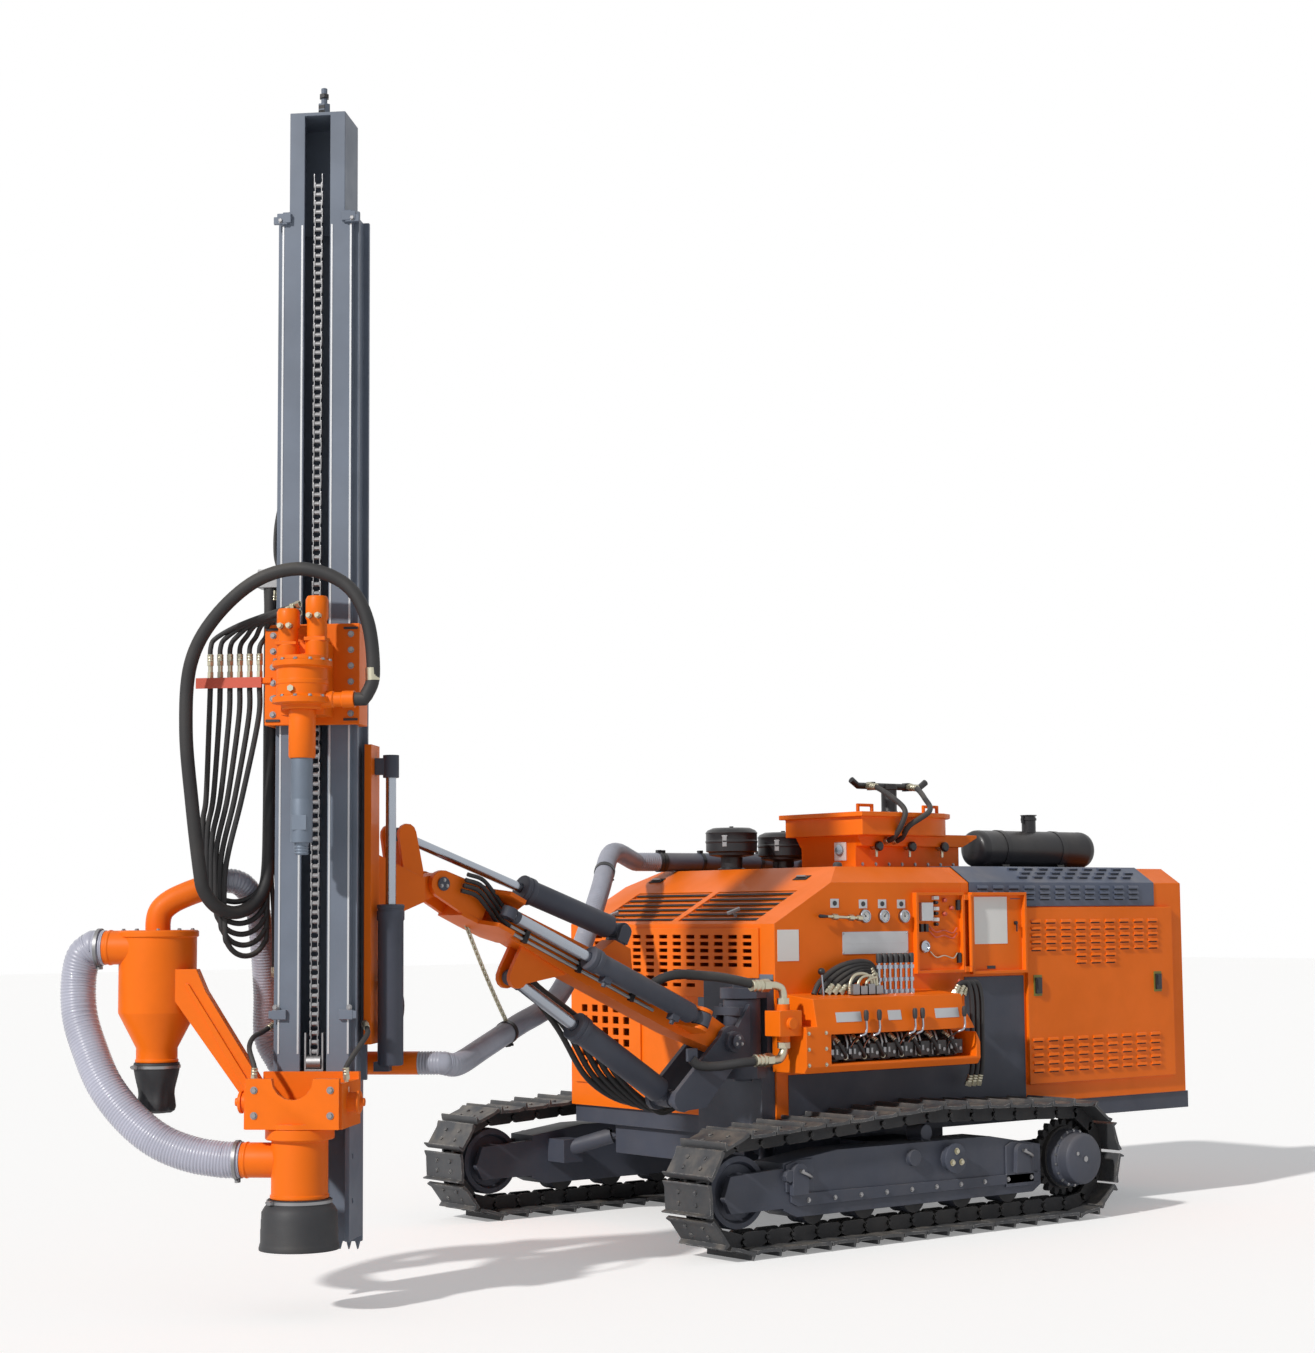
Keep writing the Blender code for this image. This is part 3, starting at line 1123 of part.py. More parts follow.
def make_feed_beam():
    """Slotted box beam with guide rails, narrower head box, screw and foot plate."""
    w, n, t, slot = BEAM_HALF_W, BEAM_HALF_N, BEAM_WALL, BEAM_SLOT / 2
    rail = w + RAIL_OUT
    outer = [(slot, n), (w, n), (w, n - 0.03), (rail, n - 0.03), (rail, n - 0.05), (w, n - 0.05),
             (w, -n + 0.05), (rail, -n + 0.05), (rail, -n + 0.03), (w, -n + 0.03), (w, -n)]
    inner = [(-slot, n - t), (-w + t, n - t), (-w + t, -n + t)]
    section = mirrored(outer) + inner + [(-a, b) for a, b in reversed(inner)]
    box_w = w - 0.03
    head = [(slot, n), (box_w, n), (box_w, -n + 0.03)]
    head_inner = [(-slot, n - t), (-box_w + t, n - t), (-box_w + t, -n + 0.03 + t)]
    top = mirrored(head) + head_inner + [(-a, b) for a, b in reversed(head_inner)]
    cap = HEAD_BOX_TOP_Z
    pieces = [
        prism(section, BEAM_LOW_Z, BEAM_TOP_Z, FEED),
        prism(top, BEAM_TOP_Z - 0.05, cap, FEED),
        block((-box_w, -n + 0.03, cap - 0.015), (box_w, n, cap), FEED),
        bar(feed_point(0, 0.02, cap - 0.01), feed_point(0, 0.02, SCREW_TOP_Z), 0.014, PIN_SIDES),
        bar(feed_point(0, 0.02, cap - 0.005), feed_point(0, 0.02, cap + 0.07), 0.028, 6),
        block((-w, -n, BEAM_LOW_Z), (w, n - 0.03, BEAM_LOW_Z + 0.02), FEED),
    ]
    for z in (BEAM_TOP_Z - 0.03, 1.18):
        for edge in (-1, 1):
            low, high = span(edge, w - 0.04, w + 0.02)
            pieces.append(block((low, n - 0.01, z - 0.02), (high, n + 0.018, z + 0.02), FEED))
    teeth = [(-w, BEAM_LOW_Z + 0.10), (-w, FOOT_Z + 0.035)]
    step = 2 * w / FOOT_TEETH
    for i in range(FOOT_TEETH):
        teeth += [(-w + (i + 0.25) * step, FOOT_Z + 0.035), (-w + (i + 0.5) * step, FOOT_Z),
                  (-w + (i + 0.75) * step, FOOT_Z + 0.035)]
    teeth += [(w, FOOT_Z + 0.035), (w, BEAM_LOW_Z + 0.10)]
    pieces.append(prism(teeth, -n, -n + 0.025, FEED, "y"))
    for edge in (-1, 1):
        low, high = span(edge, w - 0.02, w)
        strip = block((low, -n, FOOT_Z + 0.06), (high, n - 0.02, BEAM_LOW_Z + 0.1), FEED)
        for z in (0.42, 0.60):
            hole = bar(feed_point(low - 0.05, 0.055, z), feed_point(high + 0.05, 0.055, z), 0.012, PIN_SIDES)
            combine(strip, hole, "DIFFERENCE")
        pieces.append(strip)
    fuse("feed_beam", "feed_beam", "slate_paint", pieces)


def make_feed_chain():
    """Roller chain up the slot of the beam, with an edge like its links."""
    front = BEAM_HALF_N - 0.012
    low, high = BEAM_LOW_Z + 0.06, HEAD_BOX_TOP_Z - 0.10
    count = int((high - low) / CHAIN_PITCH)
    top = low + count * CHAIN_PITCH
    outline = []
    for i in range(count):
        z = low + i * CHAIN_PITCH
        outline += [(front, z), (front, z + CHAIN_PITCH * 0.80), (front - 0.008, z + CHAIN_PITCH * 0.84),
                    (front - 0.008, z + CHAIN_PITCH * 0.96)]
    outline += [(front, top), (front - 0.03, top), (front - 0.03, low)]
    pieces = [prism(outline, -0.022, 0.022, FEED, "x")]
    for z in (BEAM_LOW_Z + 0.20, BEAM_TOP_Z - 0.12):
        pieces.append(block((-0.012, -BEAM_HALF_N + BEAM_WALL + SEAT, z - 0.01),
                            (0.012, front - 0.02, z + 0.01), FEED))
    fuse("feed_chain", "feed_beam", "black_paint", pieces)


def make_clamp_table():
    """Breakout table at the beam's foot: notched front plate, cheeks, shelf and jaw cylinders."""
    n = BEAM_HALF_N + SEAT
    half = TABLE_HALF_W - 0.01
    face = DRILL_N + 0.095
    front = [(-half, TABLE_LOW_Z), (half, TABLE_LOW_Z), (half, TABLE_TOP_Z)]
    front += arc((0, TABLE_TOP_Z), TABLE_NOTCH_R, 0, -180, 8) + [(-half, TABLE_TOP_Z)]
    pieces = [
        block((-TABLE_HALF_W, n, TABLE_LOW_Z), (TABLE_HALF_W, n + 0.03, TABLE_TOP_Z + 0.01), FEED),
        prism(front, face, face + 0.03, FEED, "y"),
        block((-half, n + 0.01, TABLE_LOW_Z), (half, face + 0.02, TABLE_LOW_Z + 0.03), FEED),
        turned([(0, TABLE_LOW_Z), (0.142, TABLE_LOW_Z), (0.142, TABLE_LOW_Z + 0.02), (0, TABLE_LOW_Z + 0.02)],
               Matrix.Translation(DRILL), DRUM_SIDES),
    ]
    for edge in (-1, 1):
        low, high = span(edge, half - 0.015, TABLE_HALF_W)
        pieces.append(block((low, n + 0.005, TABLE_LOW_Z), (high, face + 0.015, TABLE_TOP_Z - 0.02), FEED))
        pieces.append(bar(feed_point(edge * 0.11, DRILL_N, TABLE_TOP_Z - 0.10),
                          feed_point(edge * 0.235, DRILL_N, TABLE_TOP_Z - 0.10), 0.04))
    hole = turned([(0, 0.6), (STRING_HOLE_R, 0.6), (STRING_HOLE_R, 1.2), (0, 1.2)],
                  Matrix.Translation(DRILL), DRUM_SIDES)
    fuse("clamp_table", "feed_beam", "orange_paint", pieces, [hole])


def make_dust_hood():
    """Round suction hood round the drill rod, with a side branch for the big hose."""
    place = Matrix.Translation(DRILL)
    top = TABLE_LOW_Z - SEAT
    rim, bore, throat_r = HOOD_R + 0.025, HOOD_R - 0.012, STRING_HOLE_R
    body = turned([(0, HOOD_LOW_Z), (HOOD_R, HOOD_LOW_Z), (HOOD_R, top - 0.05), (rim, top - 0.045),
                   (rim, top), (0, top)], place)
    branch = bar(feed_point(0, DRILL_N, BRANCH_Z), feed_point(BRANCH_W, DRILL_N, BRANCH_Z), 0.070)
    inner = turned([(0, HOOD_LOW_Z - 0.1), (bore, HOOD_LOW_Z - 0.1), (bore, top - 0.02), (0, top - 0.02)],
                   place)
    throat = turned([(0, 0.5), (throat_r, 0.5), (throat_r, top + 0.1), (0, top + 0.1)], place)
    duct = bar(feed_point(0, DRILL_N, BRANCH_Z), feed_point(BRANCH_W + 0.06, DRILL_N, BRANCH_Z), 0.060)
    fuse("dust_hood", "feed_beam", "orange_paint", [body, branch], [inner, throat, duct])


def make_dust_boot():
    """Rubber skirt under the hood."""
    place = Matrix.Translation(DRILL)
    top = HOOD_LOW_Z - SEAT
    outside = [(HOOD_R + 0.012, top), (HOOD_R + 0.016, top - 0.02), (BOOT_R - 0.004, top - 0.05),
               (BOOT_R, BOOT_LOW_Z + 0.03), (BOOT_R + 0.006, BOOT_LOW_Z)]
    inside = [(BOOT_R - 0.008, BOOT_LOW_Z), (BOOT_R - 0.016, BOOT_LOW_Z + 0.03), (BOOT_R - 0.02, top - 0.055),
              (HOOD_R - 0.02, top)]
    profile = outside + inside
    fuse("dust_boot", "feed_beam", "black_rubber", [turned(profile, place, DRUM_SIDES)])


def make_cyclone():
    """Pre-separator: drum, cone, inlet and outlet, carried by an arm from the table."""
    place = Matrix.Translation(feed_point(CYCLONE_W, CYCLONE_N, 0))
    r, top = CYCLONE_R, CYCLONE_TOP_Z
    table_side = TABLE_HALF_W + SEAT
    drum = turned([(0, CONE_LOW_Z), (0.085, CONE_LOW_Z), (0.085, CONE_LOW_Z + 0.06), (r, 1.19),
                   (r, top - 0.01), (r + 0.008, top - 0.01), (r + 0.008, top), (0, top)], place)
    outlet = [bar(feed_point(CYCLONE_W, CYCLONE_N, top - 0.02), feed_point(CYCLONE_W, CYCLONE_N, top + 0.09),
                  OUTLET_R),
              bar(OUTLET_START, OUTLET_END, OUTLET_R)]
    inlet = bar(feed_point(CYCLONE_W, INLET_N, INLET_Z), feed_point(INLET_W, INLET_N, INLET_Z), INLET_R)
    shoulder = CYCLONE_W - 0.11
    arm = prism([(shoulder, top - 0.16), (shoulder - 0.09, top - 0.16), (shoulder - 0.13, top - 0.25),
                 (table_side, TABLE_TOP_Z - 0.02), (table_side, TABLE_LOW_Z + 0.06),
                 (table_side + 0.035, TABLE_LOW_Z + 0.06), (shoulder, top - 0.29)], 0.16, 0.215, FEED, "y")
    fuse("cyclone", "feed_beam", "orange_paint", [drum] + outlet + [inlet, arm])


def make_cyclone_bag():
    """Rubber collecting bag clamped to the cone's neck."""
    place = Matrix.Translation(feed_point(CYCLONE_W, CYCLONE_N, 0))
    top = CONE_LOW_Z - SEAT
    profile = [(0, top), (0.095, top), (0.09, top - 0.05), (0.075, top - 0.12), (0.085, top - 0.19),
               (0.06, top - 0.21), (0, top - 0.21)]
    fuse("cyclone_bag", "feed_beam", "black_rubber", [turned(profile, place, BAR_SIDES)])


def make_holder_cylinder():
    """Cylinder beside the beam that shifts it in its holder: barrel below, rod above."""
    wall = -BEAM_HALF_W - RAIL_OUT - SLIDE_FIT - HOLDER_CHEEK
    w, n = wall - 0.066, -0.10
    rod_r = 0.022
    barrel = bar(feed_point(w, n, 0.96), feed_point(w, n, 1.62), 0.054)
    gland = bar(feed_point(w, n, 1.57), feed_point(w, n, 1.63), 0.058)
    bore = bar(feed_point(w, n, 1.03), feed_point(w, n, 1.72), rod_r + ROD_FIT)
    arm = block((w - 0.04, -0.012, 0.93), (-BEAM_HALF_W - SEAT, 0.020, 0.98), FEED)
    heel = block((w - 0.04, n - 0.03, 0.93), (wall - 0.008, 0.020, 0.98), FEED)
    fuse("holder_cylinder_barrel", "feed_beam", "slate_paint", [barrel, gland, arm, heel], [bore])
    rod = bar(feed_point(w, n, 1.50), feed_point(w, n, 2.24), rod_r)
    lug = block((w - 0.03, n - 0.03, 2.16), (wall - SEAT, n + 0.03, 2.26), FEED)
    fuse("holder_cylinder_rod", "feed_holder", "chrome", [rod, lug])


def make_dust_elbow():
    """Pipe behind the beam's foot, hung from the holder, that joins the two dust hoses."""
    left = feed_point(0.17, ELBOW_N, ELBOW_Z)
    right = feed_point(ELBOW_W, ELBOW_N, ELBOW_Z)
    hanger = block((-0.06, ELBOW_N - 0.03, ELBOW_Z), (0.06, ELBOW_N + 0.03, HEAD_PIN.z - 0.22 - SEAT), FEED)
    fuse("dust_elbow", "feed_holder", "orange_paint", [bar(left, right, OUTLET_R - 0.003), hanger])


def make_hoses():
    """Flexible hoses, each along its own hand-set route."""
    branch = BRANCH_W + SEAT
    inlet = INLET_W + SEAT
    # w, n, z in the feed frame
    suction = (
        (branch, DRILL_N, BRANCH_Z), (0.31, 0.33, 0.61), (0.44, 0.33, 0.63), (0.58, 0.32, 0.68),
        (0.71, 0.30, 0.77), (0.83, 0.27, 0.90), (0.91, 0.23, 1.04), (0.97, 0.19, 1.18), (0.985, 0.17, 1.32),
        (0.965, 0.17, 1.42), (0.92, 0.17, INLET_Z), (inlet, INLET_N, INLET_Z))
    hose("suction_hose", "feed_beam", "grey_hose", [feed_point(*p) for p in suction], DUST_HOSE_R, 0.8)
    heading = (OUTLET_END - OUTLET_START).normalized()
    outlet = [OUTLET_END + heading * SEAT, OUTLET_END + heading * 0.07]
    outlet += [feed_point(*p) for p in (
        (0.35, -0.01, 1.72), (0.305, -0.10, 1.62), (0.30, -0.17, 1.45), (0.30, -0.22, 1.25),
        (0.305, -0.25, 1.07), (0.25, ELBOW_N, ELBOW_Z), (0.17 + SEAT, ELBOW_N, ELBOW_Z))]
    hose("outlet_hose", "feed_beam", "grey_hose", outlet, OUTLET_R, 1.8)
    elbow = feed_point(ELBOW_W - SEAT, ELBOW_N, ELBOW_Z)
    away = (feed_point(ELBOW_W - 0.1, ELBOW_N, ELBOW_Z) - elbow)
    # x, y, z in the datum
    dust = [elbow, elbow + away] + [Vector(p) for p in (
        (2.64, 1.02, 0.95), (2.34, 0.78, 1.00), (2.02, 0.58, 1.08), (1.68, 0.40, 1.18), (1.34, 0.15, 1.41),
        (1.03, -0.10, 1.70), (0.74, -0.38, 1.90))]
    mouth = Vector((*ROOF_PIPE, ROOF_Z + SEAT + ROOF_PIPE_R))
    outward = (mouth - Vector((*ROOF_BEND, mouth.z))).normalized()
    dust += [mouth + outward * 0.16, mouth + outward * SEAT]
    hose("dust_hose", "boom", "grey_hose", dust, ROOF_PIPE_R, 2.0)
    air = [feed_point(*p) for p in (
        (-AIR_W - SEAT, DRILL_N, AIR_Z), (-0.26, DRILL_N, AIR_Z), (-0.295, 0.33, 2.56), (-0.27, 0.33, 2.78),
        (-0.18, 0.33, 2.93), (0.0, 0.33, 3.0), (0.20, 0.31, 2.96), (0.38, 0.30, 2.81), (0.48, 0.30, 2.62),
        (0.50, 0.29, 2.35), (0.47, 0.27, 2.02), (0.42, 0.22, 1.76), (0.345, 0.15, 1.62), (0.29, 0.06, 1.68),
        (0.25, -0.01, 1.95), (0.235, -0.03, 2.4), (0.235, -0.03, 2.85), (0.235, -0.03, ANCHOR_Z - SEAT))]
    hose("air_hose", "carriage", "black_rubber", air, 0.028, 2.4)


def make_hose_anchor():
    """Fitting on the beam's edge where the carriage hoses end."""
    w = BEAM_HALF_W + RAIL_OUT
    body = block((BEAM_HALF_W + SEAT, -0.062, ANCHOR_Z), (w + 0.11, 0.002, ANCHOR_Z + 0.08), FEED)
    fuse("hose_anchor", "feed_beam", "bare_steel", [body])


def make_carriage():
    """Plate and cheeks that run on the beam's front rails."""
    w = BEAM_HALF_W + RAIL_OUT + SLIDE_FIT
    front = BEAM_HALF_N + SLIDE_FIT + 0.018
    z0, z1 = CARRIAGE_LOW_Z, CARRIAGE_TOP_Z
    pieces = [block((-w - 0.025, front, z0), (w + 0.025, front + 0.03, z1), FEED)]
    for edge in (-1, 1):
        low, high = sorted((edge * w, edge * (w + 0.025)))
        pieces.append(block((low, 0.03, z0), (high, front + 0.01, z1), FEED))
        low, high = sorted((edge * (BEAM_HALF_W + SLIDE_FIT), edge * (w + 0.02)))
        pieces.append(block((low, 0.03, z0), (high, BEAM_HALF_N - 0.05 - SLIDE_FIT, z1), FEED))
    pieces.append(block((0.17, front, 2.545), (0.49, front + 0.04, 2.57), FEED))
    fuse("carriage", "carriage", "orange_paint", pieces)


def make_rotation_head():
    """Gearbox on the drill axis with two motors on top, flanges and the air swivel."""
    place = Matrix.Translation(DRILL)
    front = BEAM_HALF_N + SLIDE_FIT + 0.018 + 0.03 + SEAT
    low = CARRIAGE_LOW_Z
    gearbox = turned([(0, low + 0.05), (0.085, low + 0.05), (0.085, low + 0.07), (0.122, low + 0.075),
                      (0.122, low + 0.10), (0.105, low + 0.11), (0.105, low + 0.22), (0.122, low + 0.225),
                      (0.122, low + 0.25), (0.10, low + 0.27), (0, low + 0.27)], place)
    pieces = [gearbox, block((-0.09, front, low + 0.03), (0.09, DRILL_N, low + 0.33), FEED)]
    for shift, height in ((-0.06, 0.52), (0.06, 0.47)):
        top = feed_point(shift, DRILL_N, low + height)
        pieces.append(bar(feed_point(shift, DRILL_N, low + 0.25), top, 0.047))
    pieces.append(bar(feed_point(0, DRILL_N, AIR_Z), feed_point(-AIR_W, DRILL_N, AIR_Z), 0.035))
    bore = pin_bore(feed_point(0, DRILL_N, low + 0.01), feed_point(0, DRILL_N, low + 0.13), SPINDLE_R)
    fuse("rotation_head", "carriage", "orange_paint", pieces, [bore])


def make_drill_string():
    """Spindle with the tapered saver sub that a drill rod screws on to."""
    place = Matrix.Translation(DRILL)
    low, collar, top = STRING_LOW_Z, CARRIAGE_LOW_Z - 0.15, CARRIAGE_LOW_Z + 0.13 - SEAT
    profile = [(0, low), (0.030, low), (ROD_R, low + 0.05), (ROD_R, collar), (SPINDLE_R, collar),
               (SPINDLE_R, top), (0, top)]
    fuse("drill_string", "spindle", "bare_steel", [turned(profile, place, BAR_SIDES)])


EMPTIES = make_bodies()


def build():
    for side, label in ((1, "left"), (-1, "right")):
        make_track(side, "track_" + label)
        make_track_frame(side, "track_frame_" + label)
        make_idler(side, "idler_" + label)
        make_final_drive(side, "final_drive_" + label)
        make_levelling_cylinder(side, "levelling_cylinder_" + label)
        make_side_door(side, "side_door_" + label)
    make_chassis()
    make_base_frame()
    make_front_housing()
    make_front_grille()
    make_rear_housing()
    make_louvred_cover()
    make_engine()
    make_control_bench()
    make_valve_bank()
    make_hose_manifold()
    make_electrical_box()
    make_electrical_door()
    make_air_cleaner("air_cleaner_front", 0.04, -0.24, 1.965, 0.14)
    make_air_cleaner("air_cleaner_rear", -0.31, -0.22, 1.945, 0.14)
    make_muffler()
    make_dust_collector()
    make_air_header()
    make_dust_pipe()
    make_swing_bracket()
    make_boom()
    make_boom_head()
    make_tilt_trunnion()
    cylinder_pair("lift", LIFT_PIN, boom_point(*LIFT_EYE), (0.060, 0.030), (0.66, 0.88), (0, 1, 0))
    cylinder_pair("yaw", boom_point(YAW_BASE[0], 0, YAW_BASE[1]), boom_point(YAW_EYE[0], 0, YAW_EYE[1]),
                  (0.048, 0.024), (0.72, 0.92), BOOM.to_3x3() @ Vector((0, 0, 1)))
    cylinder_pair("tilt", boom_point(*TILT_BASE), boom_point(*TILT_EYE), (0.055, 0.022), (0.60, 1.05),
                  (0, 1, 0), 0.016, 0.030)
    make_feed_holder()
    make_feed_beam()
    make_feed_chain()
    make_clamp_table()
    make_dust_hood()
    make_dust_boot()
    make_cyclone()
    make_cyclone_bag()
    make_holder_cylinder()
    make_dust_elbow()
    make_hose_anchor()
    make_hoses()
    make_carriage()
    make_rotation_head()
    make_drill_string()


build()
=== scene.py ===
import json
import math

import bmesh
import bpy
from mathutils import Matrix, Vector
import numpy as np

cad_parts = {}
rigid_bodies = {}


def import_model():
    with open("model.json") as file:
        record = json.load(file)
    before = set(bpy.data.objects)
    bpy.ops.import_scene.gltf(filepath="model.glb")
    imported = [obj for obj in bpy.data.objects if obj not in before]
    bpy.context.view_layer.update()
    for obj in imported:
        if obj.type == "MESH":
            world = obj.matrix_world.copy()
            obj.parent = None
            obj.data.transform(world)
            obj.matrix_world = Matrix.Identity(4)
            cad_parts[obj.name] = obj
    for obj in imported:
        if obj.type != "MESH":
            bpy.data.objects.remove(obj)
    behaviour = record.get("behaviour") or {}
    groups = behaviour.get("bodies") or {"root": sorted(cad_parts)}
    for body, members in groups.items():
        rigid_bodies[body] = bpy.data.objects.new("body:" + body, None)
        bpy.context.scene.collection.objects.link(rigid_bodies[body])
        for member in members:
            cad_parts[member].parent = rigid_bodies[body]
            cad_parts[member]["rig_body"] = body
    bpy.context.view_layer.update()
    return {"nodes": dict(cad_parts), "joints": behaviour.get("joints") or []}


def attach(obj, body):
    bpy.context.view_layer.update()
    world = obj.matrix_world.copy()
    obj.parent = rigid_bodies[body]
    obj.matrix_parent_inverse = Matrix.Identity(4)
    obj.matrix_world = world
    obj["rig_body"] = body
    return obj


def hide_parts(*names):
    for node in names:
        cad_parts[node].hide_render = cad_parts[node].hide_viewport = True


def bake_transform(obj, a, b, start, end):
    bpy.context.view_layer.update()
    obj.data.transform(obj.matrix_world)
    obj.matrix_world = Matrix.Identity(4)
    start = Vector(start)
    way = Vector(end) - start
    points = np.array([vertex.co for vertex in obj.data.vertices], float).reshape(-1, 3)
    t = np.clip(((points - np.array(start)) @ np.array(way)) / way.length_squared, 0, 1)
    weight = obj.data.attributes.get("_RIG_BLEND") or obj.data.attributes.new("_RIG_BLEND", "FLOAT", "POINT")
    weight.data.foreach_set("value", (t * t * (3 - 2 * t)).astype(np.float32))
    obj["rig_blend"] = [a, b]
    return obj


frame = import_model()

# The design datum: ground between the axles, x forwards, y to the machine's left
BOOM_Y = 0.75
SWING_PIN = Vector((0.82, BOOM_Y, 0.87))
BOOM_FOOT = Vector((0.978, BOOM_Y, 0.977))
BOOM_RISE = math.radians(24.6)
FEED_X = 3.245
FEED_Y = 0.905
FEED_TURN = math.radians(45.0)
JOINTS = {joint["name"]: joint for joint in frame["joints"]}
DATUM = Vector(JOINTS["boom_swing"]["pos_m"]) - SWING_PIN


def frame_of(origin, x_axis, z_hint=(0, 0, 1)):
    """Right-handed frame at origin with X along x_axis and Z as near z_hint as can be."""
    x_dir = Vector(x_axis).normalized()
    y_dir = Vector(z_hint).cross(x_dir).normalized()
    turned_frame = Matrix((x_dir, y_dir, x_dir.cross(y_dir))).transposed().to_4x4()
    turned_frame.translation = Vector(origin)
    return turned_frame


BOOM = frame_of(BOOM_FOOT, (math.cos(BOOM_RISE), 0, math.sin(BOOM_RISE)))
FEED = frame_of((FEED_X, FEED_Y, 0), (math.sin(FEED_TURN), -math.cos(FEED_TURN), 0))


def boom_point(along, above, aside=0.0):
    return BOOM @ Vector((along, aside, above))


def feed_point(w, n, z):
    return FEED @ Vector((w, n, z))


# Finishes
ORANGE = (0.90, 0.168, 0.003)
SLATE = (0.060, 0.068, 0.095)
BEAM_BLUE = (0.155, 0.185, 0.240)
LOUVRE_BLUE = (0.075, 0.095, 0.150)
DUST = (0.36, 0.31, 0.25)


def shader_group(name, inputs, outputs):
    """Empty shader group with named sockets. Returns the tree, its input and its output node."""
    tree = bpy.data.node_groups.new(name, "ShaderNodeTree")
    for direction, sockets in (("INPUT", inputs), ("OUTPUT", outputs)):
        for label, kind, value in sockets:
            socket = tree.interface.new_socket(label, in_out=direction, socket_type=kind)
            if value is not None:
                socket.default_value = value
    return tree, tree.nodes.new("NodeGroupInput"), tree.nodes.new("NodeGroupOutput")


def node(tree, kind, operation=None, **values):
    """Add a node, set its operation and any of its inputs by name (spaces as underscores)."""
    made = tree.nodes.new(kind)
    if operation:
        made.operation = operation
    for key, value in values.items():
        made.inputs[key.replace("_", " ")].default_value = value
    return made


def noise(tree, vector, scale, detail=3.0, rough=0.55):
    made = node(tree, "ShaderNodeTexNoise", Detail=detail, Roughness=rough)
    tree.links.new(vector, made.inputs["Vector"])
    if isinstance(scale, (int, float)):
        made.inputs["Scale"].default_value = scale
    else:
        tree.links.new(scale, made.inputs["Scale"])
    return made.outputs["Fac"]


def ramp(tree, value, low, high, to_low=0.0, to_high=1.0):
    made = tree.nodes.new("ShaderNodeMapRange")
    made.interpolation_type = "SMOOTHSTEP"
    tree.links.new(value, made.inputs["Value"])
    for label, number in (("From Min", low), ("From Max", high), ("To Min", to_low), ("To Max", to_high)):
        made.inputs[label].default_value = number
    return made.outputs["Result"]


def maths(tree, operation, *values):
    """Math node on sockets or numbers."""
    made = tree.nodes.new("ShaderNodeMath")
    made.operation = operation
    for socket, value in zip(made.inputs, values):
        if isinstance(value, (int, float)):
            socket.default_value = value
        else:
            tree.links.new(value, socket)
    return made.outputs[0]


def times(tree, first, second):
    product = maths(tree, "MULTIPLY", first, second)
    product.node.use_clamp = True
    return product


def blend_colour(tree, share, first, second):
    made = tree.nodes.new("ShaderNodeMix")
    made.data_type = "RGBA"
    tree.links.new(share, made.inputs[0])
    for socket, value in ((made.inputs[6], first), (made.inputs[7], second)):
        if isinstance(value, tuple):
            socket.default_value = (*value, 1.0)
        else:
            tree.links.new(value, socket)
    return made.outputs[2]


def make_dust_group():
    """Fine dust that settles on upward faces and, thinly, on every other face."""
    tree, given, result = shader_group(
        "settled_dust",
        [("Amount", "NodeSocketFloat", 0.5), ("Scale", "NodeSocketFloat", 4.0)],
        [("Mask", "NodeSocketFloat", None)])
    place = tree.nodes.new("ShaderNodeTexCoord").outputs["Object"]
    facing = node(tree, "ShaderNodeSeparateXYZ")
    tree.links.new(tree.nodes.new("ShaderNodeNewGeometry").outputs["Normal"], facing.inputs[0])
    upward = ramp(tree, facing.outputs["Z"], -0.2, 1.0, 0.15, 1.0)
    patches = ramp(tree, noise(tree, place, given.outputs["Scale"], 5.0), 0.35, 0.75)
    mask = times(tree, times(tree, upward, patches), given.outputs["Amount"])
    tree.links.new(mask, result.inputs["Mask"])
    return tree


def make_wear_group():
    """Edges rubbed through to metal, broken up by noise."""
    tree, given, result = shader_group(
        "rubbed_edges",
        [("Amount", "NodeSocketFloat", 0.5), ("Scale", "NodeSocketFloat", 25.0)],
        [("Mask", "NodeSocketFloat", None)])
    place = tree.nodes.new("ShaderNodeTexCoord").outputs["Object"]
    rounded = tree.nodes.new("ShaderNodeBevel")
    rounded.samples = 4
    rounded.inputs["Radius"].default_value = 0.006
    dot = tree.nodes.new("ShaderNodeVectorMath")
    dot.operation = "DOT_PRODUCT"
    tree.links.new(rounded.outputs[0], dot.inputs[0])
    tree.links.new(tree.nodes.new("ShaderNodeNewGeometry").outputs["Normal"], dot.inputs[1])
    edge = ramp(tree, dot.outputs["Value"], 0.97, 0.80)
    broken = ramp(tree, noise(tree, place, given.outputs["Scale"], 4.0), 0.45, 0.62)
    tree.links.new(times(tree, times(tree, edge, broken), given.outputs["Amount"]), result.inputs["Mask"])
    return tree


def make_grain_group():
    """Fine unevenness of a sprayed, cast or rolled surface, as a normal."""
    tree, given, result = shader_group(
        "surface_grain",
        [("Scale", "NodeSocketFloat", 120.0), ("Depth", "NodeSocketFloat", 0.2)],
        [("Normal", "NodeSocketVector", None), ("Cloud", "NodeSocketFloat", None)])
    place = tree.nodes.new("ShaderNodeTexCoord").outputs["Object"]
    fine = noise(tree, place, given.outputs["Scale"], 2.0)
    bump = node(tree, "ShaderNodeBump", Distance=0.002)
    tree.links.new(given.outputs["Depth"], bump.inputs["Strength"])
    tree.links.new(fine, bump.inputs["Height"])
    tree.links.new(bump.outputs[0], result.inputs["Normal"])
    tree.links.new(noise(tree, place, 3.0, 4.0), result.inputs["Cloud"])
    return tree


GROUPS = {"dust": make_dust_group(), "wear": make_wear_group(), "grain": make_grain_group()}


def group(tree, name, **values):
    made = tree.nodes.new("ShaderNodeGroup")
    made.node_tree = GROUPS[name]
    for key, value in values.items():
        made.inputs[key].default_value = value
    return made


